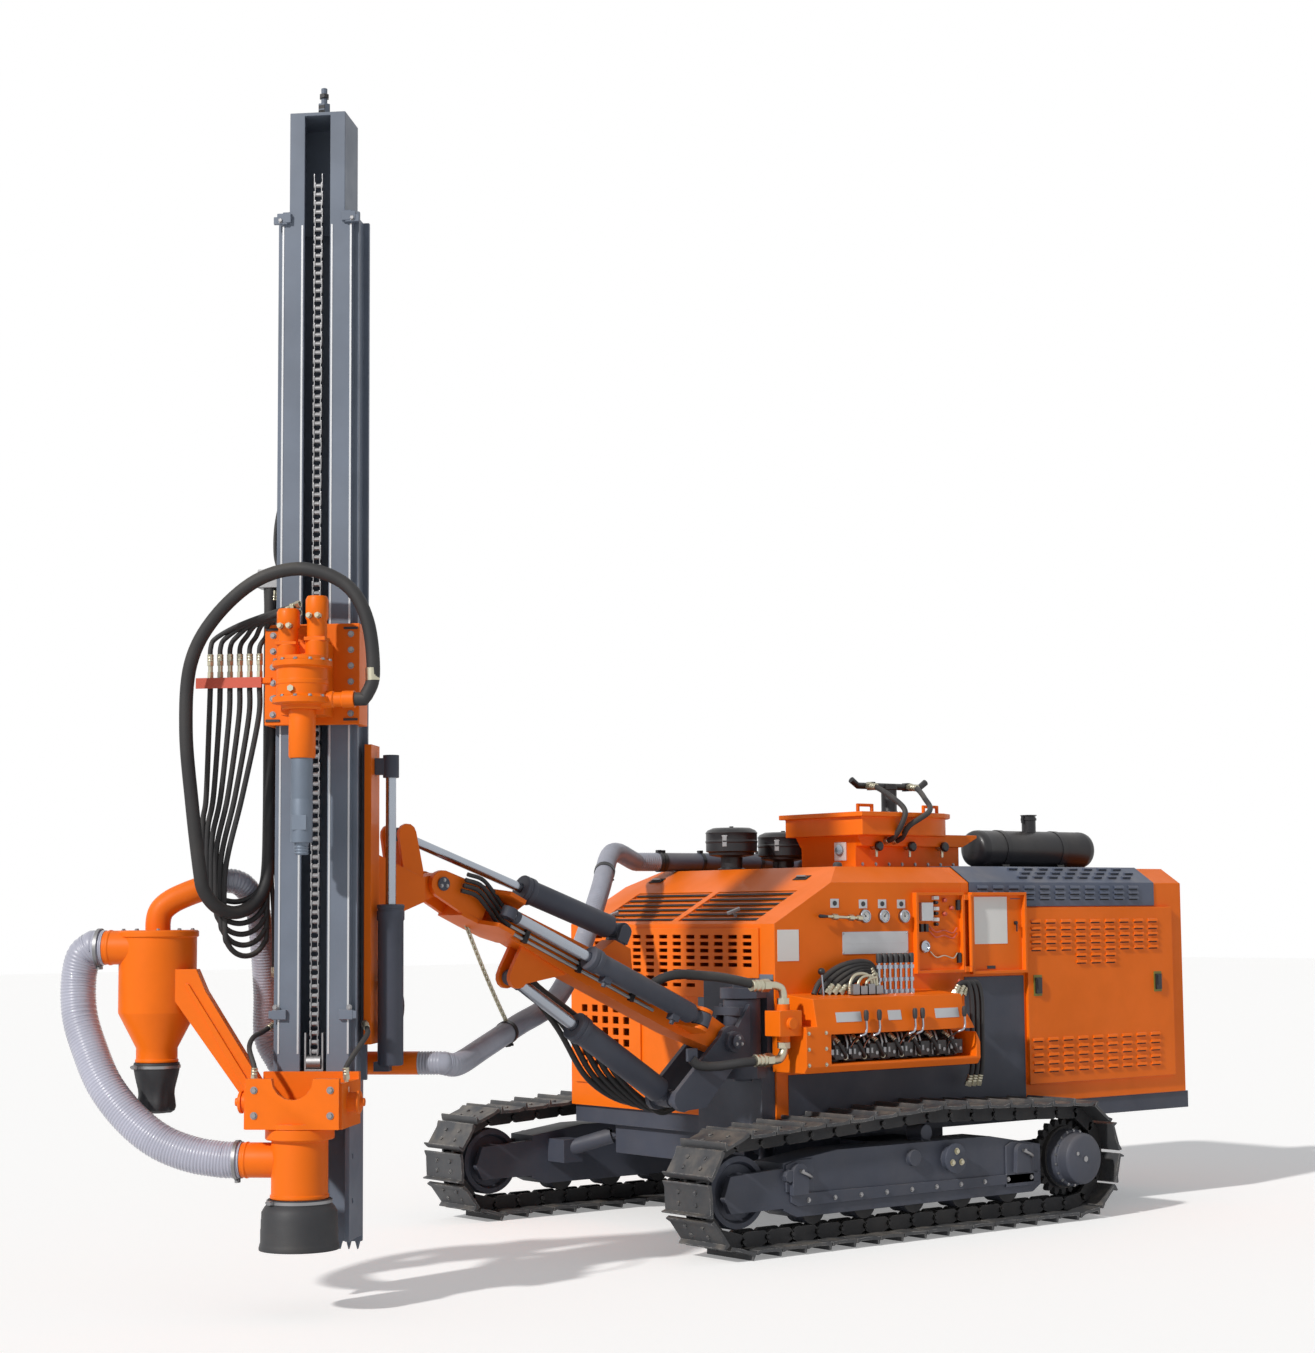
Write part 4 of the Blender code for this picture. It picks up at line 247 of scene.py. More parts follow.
def surface(name, colour, roughness=0.45, metallic=0.0, dust=0.2, wear=0.0, grain=120.0, depth=0.15,
            shade=0.82, worn_to=(0.30, 0.29, 0.28), coat=0.0, dust_scale=4.0, **fixed):
    """Material of one finish: mottled colour, settled dust, rubbed edges and a fine grain."""
    material = bpy.data.materials.new(name)
    material.use_nodes = True
    tree = material.node_tree
    shader = tree.nodes["Principled BSDF"]
    shader.inputs["Metallic"].default_value = metallic
    shader.inputs["Coat Weight"].default_value = coat
    for key, value in fixed.items():
        shader.inputs[key.replace("_", " ")].default_value = value
    texture = group(tree, "grain", Scale=grain, Depth=depth)
    tree.links.new(texture.outputs["Normal"], shader.inputs["Normal"])
    darker = tuple(channel * shade for channel in colour)
    cloud = ramp(tree, texture.outputs["Cloud"], 0.3, 0.7)
    tone = blend_colour(tree, cloud, colour, darker)
    rough = ramp(tree, texture.outputs["Cloud"], 0.3, 0.7, roughness, min(1.0, roughness + 0.12))
    if wear:
        edges = group(tree, "wear", Amount=wear)
        tone = blend_colour(tree, edges.outputs["Mask"], tone, worn_to)
    if dust:
        powder = group(tree, "dust", Amount=dust, Scale=dust_scale)
        tone = blend_colour(tree, powder.outputs["Mask"], tone, DUST)
    tree.links.new(tone, shader.inputs["Base Color"])
    tree.links.new(rough, shader.inputs["Roughness"])
    return material


FINISH = {
    "orange": surface("orange_enamel", ORANGE, 0.42, wear=0.25, dust=0.03, depth=0.06, shade=0.90, coat=0.04,
                      Specular_IOR_Level=0.22),
    "slate": surface("slate_enamel", SLATE, 0.50, wear=0.35, dust=0.20, depth=0.12, Specular_IOR_Level=0.35),
    "beam": surface("beam_enamel", BEAM_BLUE, 0.42, wear=0.40, dust=0.15, depth=0.08, dust_scale=2.5,
                    Specular_IOR_Level=0.35),
    "louvre": surface("louvre_enamel", LOUVRE_BLUE, 0.45, wear=0.2, dust=0.25, depth=0.08),
    "track": surface("track_plate", (0.070, 0.073, 0.080), 0.55, metallic=0.4, wear=0.8, dust=0.45,
                     grain=60.0, depth=0.45, worn_to=(0.42, 0.41, 0.40), dust_scale=9.0),
    "link": surface("track_link", (0.035, 0.036, 0.040), 0.60, metallic=0.5, dust=0.25, wear=0.4, grain=60.0,
                    depth=0.4),
    "black": surface("black_enamel", (0.012, 0.012, 0.015), 0.34, dust=0.08, depth=0.05, coat=0.05,
                     Specular_IOR_Level=0.4),
    "rubber": surface("black_hose_rubber", (0.018, 0.018, 0.020), 0.62, dust=0.18, depth=0.25, grain=200.0),
    "boot": surface("moulded_rubber", (0.022, 0.023, 0.027), 0.55, dust=0.15, depth=0.2),
    "chrome": surface("plated_rod", (0.36, 0.39, 0.44), 0.20, metallic=1.0, dust=0.0, depth=0.02, shade=0.95),
    "steel": surface("bare_steel", (0.30, 0.30, 0.31), 0.38, metallic=1.0, dust=0.15, depth=0.15),
    "zinc": surface("zinc_fitting", (0.50, 0.47, 0.36), 0.34, metallic=1.0, dust=0.05, depth=0.1),
    "duct": surface("grey_duct", (0.36, 0.375, 0.45), 0.34, dust=0.10, depth=0.1, shade=0.7, coat=0.3),
    "rod": surface("drill_tube", (0.17, 0.21, 0.27), 0.45, metallic=0.3, wear=0.3, dust=0.15, depth=0.2),
    "red": surface("red_enamel", (0.62, 0.10, 0.055), 0.45, wear=0.3, dust=0.15),
    "plate": surface("blank_plate", (0.50, 0.51, 0.53), 0.40, metallic=0.6, dust=0.08, depth=0.1, shade=0.92),
    "paper": surface("blank_card", (0.80, 0.80, 0.78), 0.60, dust=0.0, depth=0.03, shade=0.95),
    "engine": surface("engine_casting", (0.05, 0.052, 0.055), 0.55, dust=0.25, depth=0.4, grain=50.0),
    # Near-black finish that is painted shade: it stands for the unlit insides of louvre slots, vent gaps,
    # grip recesses and the open bay.
    "dark": surface("painted_shade_inside", (0.012, 0.010, 0.009), 0.80, dust=0.0, depth=0.1),
    "dial": surface("dial_face", (0.85, 0.85, 0.83), 0.30, dust=0.0, depth=0.0),
    "clear": surface("clear_duct", (0.44, 0.45, 0.55), 0.26, dust=0.05, depth=0.08, shade=0.80, coat=0.4),
    "lime": surface("latch_bezel", (0.20, 0.19, 0.03), 0.5, dust=0.1),
    "slatepipe": surface("roof_pipe_paint", (0.070, 0.080, 0.115), 0.42, dust=0.25),
}


# Shapes


def add_object(name, data):
    """New object, linked into the scene."""
    made = bpy.data.objects.new(name, data)
    bpy.context.scene.collection.objects.link(made)
    return made


def smoothed(mesh, degrees):
    mesh.shade_smooth()
    mesh.set_sharp_from_angle(angle=math.radians(degrees))


def closed_up(mesh):
    """Merge doubled points and turn the faces outwards."""
    form = bmesh.new()
    form.from_mesh(mesh)
    bmesh.ops.remove_doubles(form, verts=form.verts, dist=1e-6)
    bmesh.ops.recalc_face_normals(form, faces=form.faces)
    form.to_mesh(mesh)
    form.free()


def arc(centre, radius, start, end, steps):
    """Points on a circle between two angles in degrees."""
    points = []
    for i in range(steps + 1):
        angle = math.radians(start + (end - start) * i / steps)
        points.append((centre[0] + radius * math.cos(angle), centre[1] + radius * math.sin(angle)))
    return points


def axis_frame(start, end):
    """Frame at start whose Z runs to end."""
    z_dir = (Vector(end) - Vector(start)).normalized()
    hint = Vector((0, 1, 0)) if abs(z_dir.y) < 0.9 else Vector((1, 0, 0))
    x_dir = hint.cross(z_dir).normalized()
    made = Matrix((x_dir, z_dir.cross(x_dir), z_dir)).transposed().to_4x4()
    made.translation = Vector(start)
    return made


def smooth_line(points, steps=10):
    """Smooth curve through given points."""
    route = [Vector(p) for p in points]
    ends = [route[0] * 2 - route[1]] + route + [route[-1] * 2 - route[-2]]
    line = []
    for i in range(1, len(ends) - 2):
        p0, p1, p2, p3 = ends[i - 1:i + 3]
        for k in range(steps):
            t = k / steps
            line.append(0.5 * (2 * p1 + (p2 - p0) * t + (2 * p0 - 5 * p1 + 4 * p2 - p3) * t ** 2
                               + (3 * p1 - p0 - 3 * p2 + p3) * t ** 3))
    return line + [route[-1]]


class Form:
    """Closed shapes gathered in the datum, which become one piece."""

    def __init__(self):
        self.vertices = []
        self.faces = []

    def add(self, vertices, faces, place=Matrix()):
        start = len(self.vertices)
        self.vertices += [place @ Vector(v) for v in vertices]
        self.faces += [tuple(start + i for i in face) for face in faces]

    def prism(self, outline, low, high, place=Matrix(), along="z"):
        """Outline in the two other axes, pushed from low to high along one axis."""
        corner = {"x": lambda a, b, t: (t, a, b), "y": lambda a, b, t: (a, t, b),
                  "z": lambda a, b, t: (a, b, t)}[along]
        count = len(outline)
        vertices = [corner(a, b, t) for t in (low, high) for a, b in outline]
        faces = [tuple(range(count)), tuple(range(count, 2 * count))]
        faces += [(i, (i + 1) % count, count + (i + 1) % count, count + i) for i in range(count)]
        self.add(vertices, faces, place)

    def block(self, low, high, place=Matrix()):
        self.prism([(low[0], low[1]), (high[0], low[1]), (high[0], high[1]), (low[0], high[1])],
                   low[2], high[2], place)

    def turned(self, profile, place=Matrix(), sides=40):
        """Turn (radius, height) points about the place's Z. Radius 0 closes on the axis."""
        vertices = []
        rings = []
        for radius, height in profile:
            if radius == 0:
                rings.append([len(vertices)] * sides)
                vertices.append((0, 0, height))
                continue
            rings.append(list(range(len(vertices), len(vertices) + sides)))
            for k in range(sides):
                angle = 2 * math.pi * k / sides
                vertices.append((radius * math.cos(angle), radius * math.sin(angle), height))
        faces = []
        last = len(rings) if profile[0][0] > 0 else len(rings) - 1
        for i in range(last):
            ring, following = rings[i], rings[(i + 1) % len(rings)]
            for k in range(sides):
                m = (k + 1) % sides
                corners = []
                for index in (ring[k], ring[m], following[m], following[k]):
                    if index not in corners:
                        corners.append(index)
                if len(corners) > 2:
                    faces.append(tuple(corners))
        self.add(vertices, faces, place)

    def bar(self, start, end, radius, sides=28):
        length = (Vector(end) - Vector(start)).length
        self.turned([(0, 0), (radius, 0), (radius, length), (0, length)], axis_frame(start, end), sides)

    def hexagon(self, start, end, radius):
        self.bar(start, end, radius, 6)

    def tube(self, points, radius, sides=14):
        """Round tube swept along points, closed at both ends."""
        line = [Vector(p) for p in points]
        side = (line[1] - line[0]).orthogonal().normalized()
        vertices = []
        for i, point in enumerate(line):
            heading = (line[min(i + 1, len(line) - 1)] - line[max(i - 1, 0)]).normalized()
            side = (side - heading * side.dot(heading)).normalized()
            over = heading.cross(side)
            for k in range(sides):
                angle = 2 * math.pi * k / sides
                vertices.append(point + (side * math.cos(angle) + over * math.sin(angle)) * radius)
        faces = [tuple(range(sides)), tuple(range(len(vertices) - sides, len(vertices)))]
        for i in range(len(line) - 1):
            for k in range(sides):
                m = (k + 1) % sides
                faces.append((i * sides + k, i * sides + m, (i + 1) * sides + m, (i + 1) * sides + k))
        self.add(vertices, faces)

    def mesh(self, name, shift=True):
        """The gathered mesh with outward faces and smooth shading up to 35 degrees."""
        mesh = bpy.data.meshes.new(name)
        mesh.from_pydata(self.vertices, [], self.faces)
        closed_up(mesh)
        if shift:
            mesh.transform(Matrix.Translation(DATUM))
        smoothed(mesh, 35)
        return mesh

    def piece(self, name, body, finish, bevel=0.003, replaces=()):
        return dress(name, body, finish, self.mesh(name), bevel, replaces)


def dress(name, body, finish, mesh, bevel=0.0, replaces=()):
    """Finished piece from a mesh in the stored frame, riding on its body unless it is blended."""
    mesh.materials.clear()
    mesh.materials.append(FINISH[finish])
    piece = add_object(name, mesh)
    if bevel:
        soften(piece, bevel)
    if body:
        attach(piece, body)
    if replaces:
        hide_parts(*replaces)
    return piece


def soften(piece, width):
    """Small rounded edge that catches the light."""
    step = piece.modifiers.new("rounded_edges", "BEVEL")
    step.width = width
    step.segments = 2
    step.limit_method = "ANGLE"
    step.angle_limit = math.radians(35)
    step.harden_normals = True


def skin(node_name, finish, bevel=0.004):
    """Show a CAD node as it is, with its loose triangles merged and its edges rounded."""
    source = frame["nodes"][node_name]
    mesh = source.data.copy()
    form = bmesh.new()
    form.from_mesh(mesh)
    bmesh.ops.remove_doubles(form, verts=form.verts, dist=1e-5)
    bmesh.ops.dissolve_limit(form, angle_limit=math.radians(0.5), verts=form.verts, edges=form.edges)
    form.to_mesh(mesh)
    form.free()
    for attribute in [a.name for a in mesh.attributes if a.name in ("custom_normal", "sharp_face")]:
        mesh.attributes.remove(mesh.attributes[attribute])
    smoothed(mesh, 32)
    dress(node_name + "_dressed", source["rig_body"], finish, mesh, bevel, (node_name,))


# Camera, light and stage

CAMERA_PLACE = Vector((8.565, 9.889, 1.571))
CAMERA_HEADING = math.radians(-128.402)
CAMERA_PITCH = math.radians(5.55)
CAMERA_ROLL = -0.0084
LENS_PIXELS = 2465.6
PICTURE = (1315, 1353)
SUN_HEADING = math.radians(12)
SUN_HEIGHT = math.radians(33)


def make_camera():
    forward = Vector((math.cos(CAMERA_PITCH) * math.cos(CAMERA_HEADING),
                      math.cos(CAMERA_PITCH) * math.sin(CAMERA_HEADING), math.sin(CAMERA_PITCH)))
    right = Vector((math.sin(CAMERA_HEADING), -math.cos(CAMERA_HEADING), 0))
    up = right.cross(forward)
    rolled_right = right * math.cos(CAMERA_ROLL) + up * math.sin(CAMERA_ROLL)
    rolled_up = up * math.cos(CAMERA_ROLL) - right * math.sin(CAMERA_ROLL)
    data = bpy.data.cameras.new("photo_camera")
    data.sensor_width = 36.0
    data.lens = 36.0 * LENS_PIXELS / max(PICTURE)
    camera = add_object("photo_camera", data)
    place = Matrix((rolled_right, rolled_up, -forward)).transposed().to_4x4()
    place.translation = CAMERA_PLACE + DATUM
    camera.matrix_world = place
    bpy.context.scene.camera = camera


def background_rays(tree):
    """One where the camera, a reflection or a refraction looks at the surface."""
    seen = tree.nodes.new("ShaderNodeLightPath").outputs
    looked = maths(tree, "MAXIMUM", seen["Is Camera Ray"], seen["Is Glossy Ray"])
    return maths(tree, "MAXIMUM", looked, seen["Is Transmission Ray"])


def make_light():
    world = bpy.data.worlds.new("pale_studio")
    bpy.context.scene.world = world
    world.use_nodes = True
    tree = world.node_tree
    tree.nodes.clear()
    lit = node(tree, "ShaderNodeBackground", Color=(0.93, 0.96, 1.0, 1.0), Strength=0.27)
    white = node(tree, "ShaderNodeBackground", Color=(1.0, 1.0, 1.0, 1.0), Strength=1.0)
    mix = tree.nodes.new("ShaderNodeMixShader")
    out = tree.nodes.new("ShaderNodeOutputWorld")
    tree.links.new(background_rays(tree), mix.inputs[0])
    tree.links.new(lit.outputs[0], mix.inputs[1])
    tree.links.new(white.outputs[0], mix.inputs[2])
    tree.links.new(mix.outputs[0], out.inputs[0])
    sun = bpy.data.lights.new("key_sun", "SUN")
    sun.energy = 2.9
    sun.angle = math.radians(2.5)
    sun.color = (1.0, 0.975, 0.94)
    key = add_object("key_sun", sun)
    towards = Vector((math.cos(SUN_HEIGHT) * math.cos(SUN_HEADING),
                      math.cos(SUN_HEIGHT) * math.sin(SUN_HEADING), math.sin(SUN_HEIGHT)))
    key.rotation_mode = "QUATERNION"
    key.rotation_quaternion = towards.to_track_quat("Z", "Y")


def make_floor():
    """Pale floor that keeps the rig's shadow and meets the white background."""
    material = bpy.data.materials.new("pale_floor")
    material.use_nodes = True
    tree = material.node_tree
    shader = tree.nodes["Principled BSDF"]
    shader.inputs["Base Color"].default_value = (0.92, 0.92, 0.92, 1.0)
    shader.inputs["Roughness"].default_value = 0.9
    shader.inputs["Specular IOR Level"].default_value = 0.1
    shader.inputs["Emission Color"].default_value = (1.0, 1.0, 1.0, 1.0)
    lift = times(tree, background_rays(tree), 0.25)
    tree.links.new(lift, shader.inputs["Emission Strength"])
    mesh = bpy.data.meshes.new("floor")
    reach = 60.0
    mesh.from_pydata([(-reach, -reach, 0), (reach, -reach, 0), (reach, reach, 0), (-reach, reach, 0)], [],
                     [(0, 1, 2, 3)])
    mesh.materials.append(material)
    add_object("floor", mesh)


bpy.context.scene.view_settings.view_transform = "Standard"
make_camera()
make_light()
make_floor()


# Copies made by Geometry Nodes


def geometry_tree(name, inputs):
    """Geometry tree with a Geometry input and output and named inputs between."""
    tree = bpy.data.node_groups.new(name, "GeometryNodeTree")
    tree.interface.new_socket("Geometry", in_out="INPUT", socket_type="NodeSocketGeometry")
    tree.interface.new_socket("Geometry", in_out="OUTPUT", socket_type="NodeSocketGeometry")
    for label, kind, value in inputs:
        socket = tree.interface.new_socket(label, in_out="INPUT", socket_type=kind)
        if value is not None:
            socket.default_value = value
    return tree, tree.nodes.new("NodeGroupInput"), tree.nodes.new("NodeGroupOutput")


def scaled(tree, vector, factor):
    made = tree.nodes.new("ShaderNodeVectorMath")
    made.operation = "SCALE"
    tree.links.new(vector, made.inputs[0])
    tree.links.new(factor, made.inputs["Scale"])
    return made.outputs[0]


def realized(tree, points, given, rotation, result):
    """Copies of the given shape on the points, made real and given their material."""
    put = tree.nodes.new("GeometryNodeInstanceOnPoints")
    tree.links.new(points, put.inputs["Points"])
    shape = tree.nodes.new("GeometryNodeObjectInfo")
    tree.links.new(given.outputs["Shape"], shape.inputs["Object"])
    tree.links.new(shape.outputs["Geometry"], put.inputs["Instance"])
    if rotation is not None:
        tree.links.new(rotation, put.inputs["Rotation"])
    real = tree.nodes.new("GeometryNodeRealizeInstances")
    coat = tree.nodes.new("GeometryNodeSetMaterial")
    tree.links.new(put.outputs[0], real.inputs[0])
    tree.links.new(real.outputs[0], coat.inputs[0])
    tree.links.new(given.outputs["Finish"], coat.inputs["Material"])
    tree.links.new(coat.outputs[0], result.inputs[0])


def make_grid_tree():
    """Rows and columns of one shape, such as louvres, slots, rivets and chain rollers."""
    tree, given, result = geometry_tree("copies_in_rows", [
        ("Shape", "NodeSocketObject", None), ("Columns", "NodeSocketInt", 2), ("Rows", "NodeSocketInt", 1),
        ("Column Step", "NodeSocketVector", None), ("Row Step", "NodeSocketVector", None),
        ("Finish", "NodeSocketMaterial", None)])
    points = tree.nodes.new("GeometryNodeMeshLine")
    tree.links.new(maths(tree, "MULTIPLY", given.outputs["Columns"], given.outputs["Rows"]),
                   points.inputs["Count"])
    index = tree.nodes.new("GeometryNodeInputIndex").outputs[0]
    column = maths(tree, "MODULO", index, given.outputs["Columns"])
    row = maths(tree, "FLOOR", maths(tree, "DIVIDE", index, given.outputs["Columns"]))
    along = scaled(tree, given.outputs["Column Step"], column)
    across = scaled(tree, given.outputs["Row Step"], row)
    place = tree.nodes.new("ShaderNodeVectorMath")
    tree.links.new(along, place.inputs[0])
    tree.links.new(across, place.inputs[1])
    put = tree.nodes.new("GeometryNodeSetPosition")
    tree.links.new(points.outputs[0], put.inputs[0])
    tree.links.new(place.outputs[0], put.inputs["Position"])
    realized(tree, put.outputs[0], given, None, result)
    return tree


def make_ring_tree():
    """One shape repeated round the Z axis, such as bolts on a flange."""
    tree, given, result = geometry_tree("copies_in_ring", [
        ("Shape", "NodeSocketObject", None), ("Count", "NodeSocketInt", 8),
        ("Radius", "NodeSocketFloat", 0.1), ("Finish", "NodeSocketMaterial", None)])
    circle = tree.nodes.new("GeometryNodeMeshCircle")
    tree.links.new(given.outputs["Count"], circle.inputs["Vertices"])
    tree.links.new(given.outputs["Radius"], circle.inputs["Radius"])
    index = tree.nodes.new("GeometryNodeInputIndex").outputs[0]
    step = maths(tree, "DIVIDE", 2 * math.pi, given.outputs["Count"])
    turn = tree.nodes.new("ShaderNodeCombineXYZ")
    tree.links.new(maths(tree, "MULTIPLY", index, step), turn.inputs["Z"])
    realized(tree, circle.outputs[0], given, turn.outputs[0], result)
    return tree


def make_route_tree():
    """One shape repeated along a route, turned with it, such as track shoes and links."""
    tree, given, result = geometry_tree("copies_along_route", [
        ("Shape", "NodeSocketObject", None), ("Count", "NodeSocketInt", 8),
        ("Pivot", "NodeSocketVector", (0, 1, 0)), ("Finish", "NodeSocketMaterial", None)])
    points = tree.nodes.new("GeometryNodeCurveToPoints")
    tree.links.new(given.outputs["Geometry"], points.inputs["Curve"])
    tree.links.new(given.outputs["Count"], points.inputs["Count"])
    turn = tree.nodes.new("FunctionNodeAxesToRotation")
    turn.primary_axis = "X"
    turn.secondary_axis = "Y"
    tree.links.new(points.outputs["Tangent"], turn.inputs[0])
    tree.links.new(given.outputs["Pivot"], turn.inputs[1])
    realized(tree, points.outputs[0], given, turn.outputs[0], result)
    return tree


def make_duct_tree():
    """Ribbed wall of a flexible duct along its route."""
    tree, given, result = geometry_tree("ribbed_duct", [
        ("Radius", "NodeSocketFloat", 0.05), ("Rib Pitch", "NodeSocketFloat", 0.012),
        ("Rib Height", "NodeSocketFloat", 0.002), ("Sides", "NodeSocketInt", 28),
        ("Finish", "NodeSocketMaterial", None)])
    fine = tree.nodes.new("GeometryNodeResampleCurve")
    fine.mode = "LENGTH"
    tree.links.new(given.outputs["Geometry"], fine.inputs["Curve"])
    tree.links.new(maths(tree, "DIVIDE", given.outputs["Rib Pitch"], 4.0), fine.inputs["Length"])
    index = tree.nodes.new("GeometryNodeInputIndex").outputs[0]
    wave = maths(tree, "COSINE", maths(tree, "MULTIPLY", index, math.pi / 2))
    height = maths(tree, "MULTIPLY", wave, given.outputs["Rib Height"])
    radius = maths(tree, "ADD", given.outputs["Radius"], height)
    swell = tree.nodes.new("GeometryNodeSetCurveRadius")
    tree.links.new(fine.outputs[0], swell.inputs["Curve"])
    tree.links.new(radius, swell.inputs["Radius"])
    ring = tree.nodes.new("GeometryNodeCurvePrimitiveCircle")
    ring.inputs["Radius"].default_value = 1.0
    tree.links.new(given.outputs["Sides"], ring.inputs["Resolution"])
    wall = tree.nodes.new("GeometryNodeCurveToMesh")
    wall.inputs["Fill Caps"].default_value = True
    tree.links.new(swell.outputs[0], wall.inputs["Curve"])
    tree.links.new(ring.outputs[0], wall.inputs["Profile Curve"])
    held = tree.nodes.new("GeometryNodeInputRadius")
    tree.links.new(held.outputs[0], wall.inputs["Scale"])
    coat = tree.nodes.new("GeometryNodeSetMaterial")
    tree.links.new(wall.outputs[0], coat.inputs[0])
    tree.links.new(given.outputs["Finish"], coat.inputs["Material"])
    tree.links.new(coat.outputs[0], result.inputs[0])
    return tree


TREES = {"rows": make_grid_tree(), "ring": make_ring_tree(), "route": make_route_tree(),
         "duct": make_duct_tree()}


def grown(tree_name, source, **values):
    """Mesh that a Geometry Nodes tree makes on a source object, which is then removed."""
    tree = TREES[tree_name]
    step = source.modifiers.new(tree_name, "NODES")
    step.node_group = tree
    sockets = {item.name: item.identifier for item in tree.interface.items_tree if item.in_out == "INPUT"}
    for label, value in values.items():
        step[sockets[label.replace("_", " ")]] = value
    graph = bpy.context.evaluated_depsgraph_get()
    mesh = bpy.data.meshes.new_from_object(source.evaluated_get(graph))
    bpy.data.objects.remove(source, do_unlink=True)
    return mesh


def empty_mesh():
    return add_object("source", bpy.data.meshes.new("source"))


def curve_of(points, closed=False):
    data = bpy.data.curves.new("route", "CURVE")
    data.dimensions = "3D"
    spline = data.splines.new("POLY")
    spline.points.add(len(points) - 1)
    for knot, place in zip(spline.points, points):
        knot.co = (*place, 1.0)
    spline.use_cyclic_u = closed
    return add_object("route", data)


def pattern(form):
    """The repeated shape of a tree, kept out of the picture."""
    return add_object("pattern", form.mesh("pattern", shift=False))


def finished(name, body, finish, mesh, place=Matrix(), bevel=0.0, replaces=()):
    """Place a grown mesh in the datum and make it a piece."""
    mesh.transform(Matrix.Translation(DATUM) @ place)
    smoothed(mesh, 35)
    return dress(name, body, finish, mesh, bevel, replaces)


def rows(name, body, finish, form, columns, row_count, column_step, row_step, place, bevel=0.0):
    shape = pattern(form)
    mesh = grown("rows", empty_mesh(), Shape=shape, Columns=columns, Rows=row_count,
                 Column_Step=column_step, Row_Step=row_step, Finish=FINISH[finish])
    bpy.data.objects.remove(shape, do_unlink=True)
    return finished(name, body, finish, mesh, place, bevel)


def ring(name, body, finish, form, count, radius, place):
    shape = pattern(form)
    mesh = grown("ring", empty_mesh(), Shape=shape, Count=count, Radius=radius, Finish=FINISH[finish])
    bpy.data.objects.remove(shape, do_unlink=True)
    return finished(name, body, finish, mesh, place)


def bolt_form(radius=0.012, height=0.010):
    """Hexagon head on a washer, standing along Z."""
    form = Form()
    form.turned([(0, 0), (radius * 1.35, 0), (radius * 1.35, height * 0.2), (0, height * 0.2)], sides=16)
    form.turned([(0, 0), (radius, height * 0.1), (radius, height * 0.85), (radius * 0.85, height),
                 (0, height)], sides=6)
    return form


# Tracks

SHOE_PITCH = 0.154
SHOE_WIDTH = 0.33
SHOE_PLATE = 0.018
GROUSER = 0.030
LINK_DEPTH = 0.070
TRACK_Y = 1.005
WHEEL_BASE = 2.22
IDLER_PATH_R = 0.250
SPROCKET_PATH_R = 0.265
CARRIER = (-0.10, 0.50, 0.045)
PATH_LOW_Z = SHOE_PLATE + GROUSER
IDLER = (WHEEL_BASE / 2, PATH_LOW_Z + IDLER_PATH_R)
SPROCKET = (-WHEEL_BASE / 2, PATH_LOW_Z + SPROCKET_PATH_R)


def belt_line(circles, step):
    """Points of a belt round circles (x, z, r), anticlockwise seen from the left, evenly spaced."""
    legs = []
    count = len(circles)
    for i in range(count):
        (xa, za, ra), (xb, zb, rb) = circles[i], circles[(i + 1) % count]
        heading = math.atan2(zb - za, xb - xa)
        normal = heading - math.pi / 2 - math.asin((rb - ra) / math.hypot(xb - xa, zb - za))
        legs.append((normal, (xa + ra * math.cos(normal), za + ra * math.sin(normal)),
                     (xb + rb * math.cos(normal), zb + rb * math.sin(normal))))
    corners = []
    for i in range(count):
        x, z, r = circles[i]
        start = legs[i - 1][0]
        sweep = (legs[i][0] - start) % (2 * math.pi)
        turns = max(2, round(r * sweep / step))
        for k in range(turns):
            angle = start + sweep * k / turns
            corners.append(Vector((x + r * math.cos(angle), 0, z + r * math.sin(angle))))
        (xa, za), (xb, zb) = legs[i][1], legs[i][2]
        runs = max(1, round(math.hypot(xb - xa, zb - za) / step))
        for k in range(runs):
            share = k / runs
            corners.append(Vector((xa + (xb - xa) * share, 0, za + (zb - za) * share)))
    return corners


def shoe_form(pitch):
    """Single-lug shoe: plate with a bent lip, lug, four bolt heads. X along the run, Z outwards."""
    form = Form()
    half = SHOE_WIDTH / 2
    lip = 0.006
    lug = SHOE_PLATE + GROUSER - 0.0068
    outline = [(0.04 * pitch, 0.004), (0.04 * pitch, SHOE_PLATE), (0.07 * pitch, lug - 0.003),
               (0.085 * pitch, lug), (0.115 * pitch, lug),
               (0.15 * pitch, SHOE_PLATE), (0.80 * pitch, SHOE_PLATE - 0.003),
               (0.97 * pitch, SHOE_PLATE + lip), (1.01 * pitch, SHOE_PLATE + lip - 0.002),
               (0.99 * pitch, 0.003), (0.6 * pitch, 0.0)]
    form.prism(outline, -half, half, along="y")
    for across in (-0.062, 0.062):
        for along in (0.38, 0.72):
            spot = Matrix.Translation((along * pitch, across, SHOE_PLATE - 0.003))
            form.turned([(0, 0), (0.011, 0), (0.011, 0.007), (0.009, 0.009), (0, 0.009)], spot, 6)
    return form


def link_form(pitch):
    """Pair of side links with their pin and bush, under one shoe."""
    form = Form()
    for side in (-1, 1):
        outline = [(0.02 * pitch, -0.012), (0.02 * pitch, -0.055), (0.12 * pitch, -LINK_DEPTH + 0.002),
                   (0.85 * pitch, -LINK_DEPTH + 0.002), (0.98 * pitch, -0.055), (0.98 * pitch, -0.012),
                   (0.75 * pitch, 0.004), (0.25 * pitch, 0.004)]
        form.prism(outline, *sorted((side * 0.034, side * 0.054)), along="y")
    form.bar((0.0, -0.054, -0.036), (0.0, 0.054, -0.036), 0.016, 12)
    form.bar((0.0, -0.066, -0.036), (0.0, 0.066, -0.036), 0.010, 10)
    return form


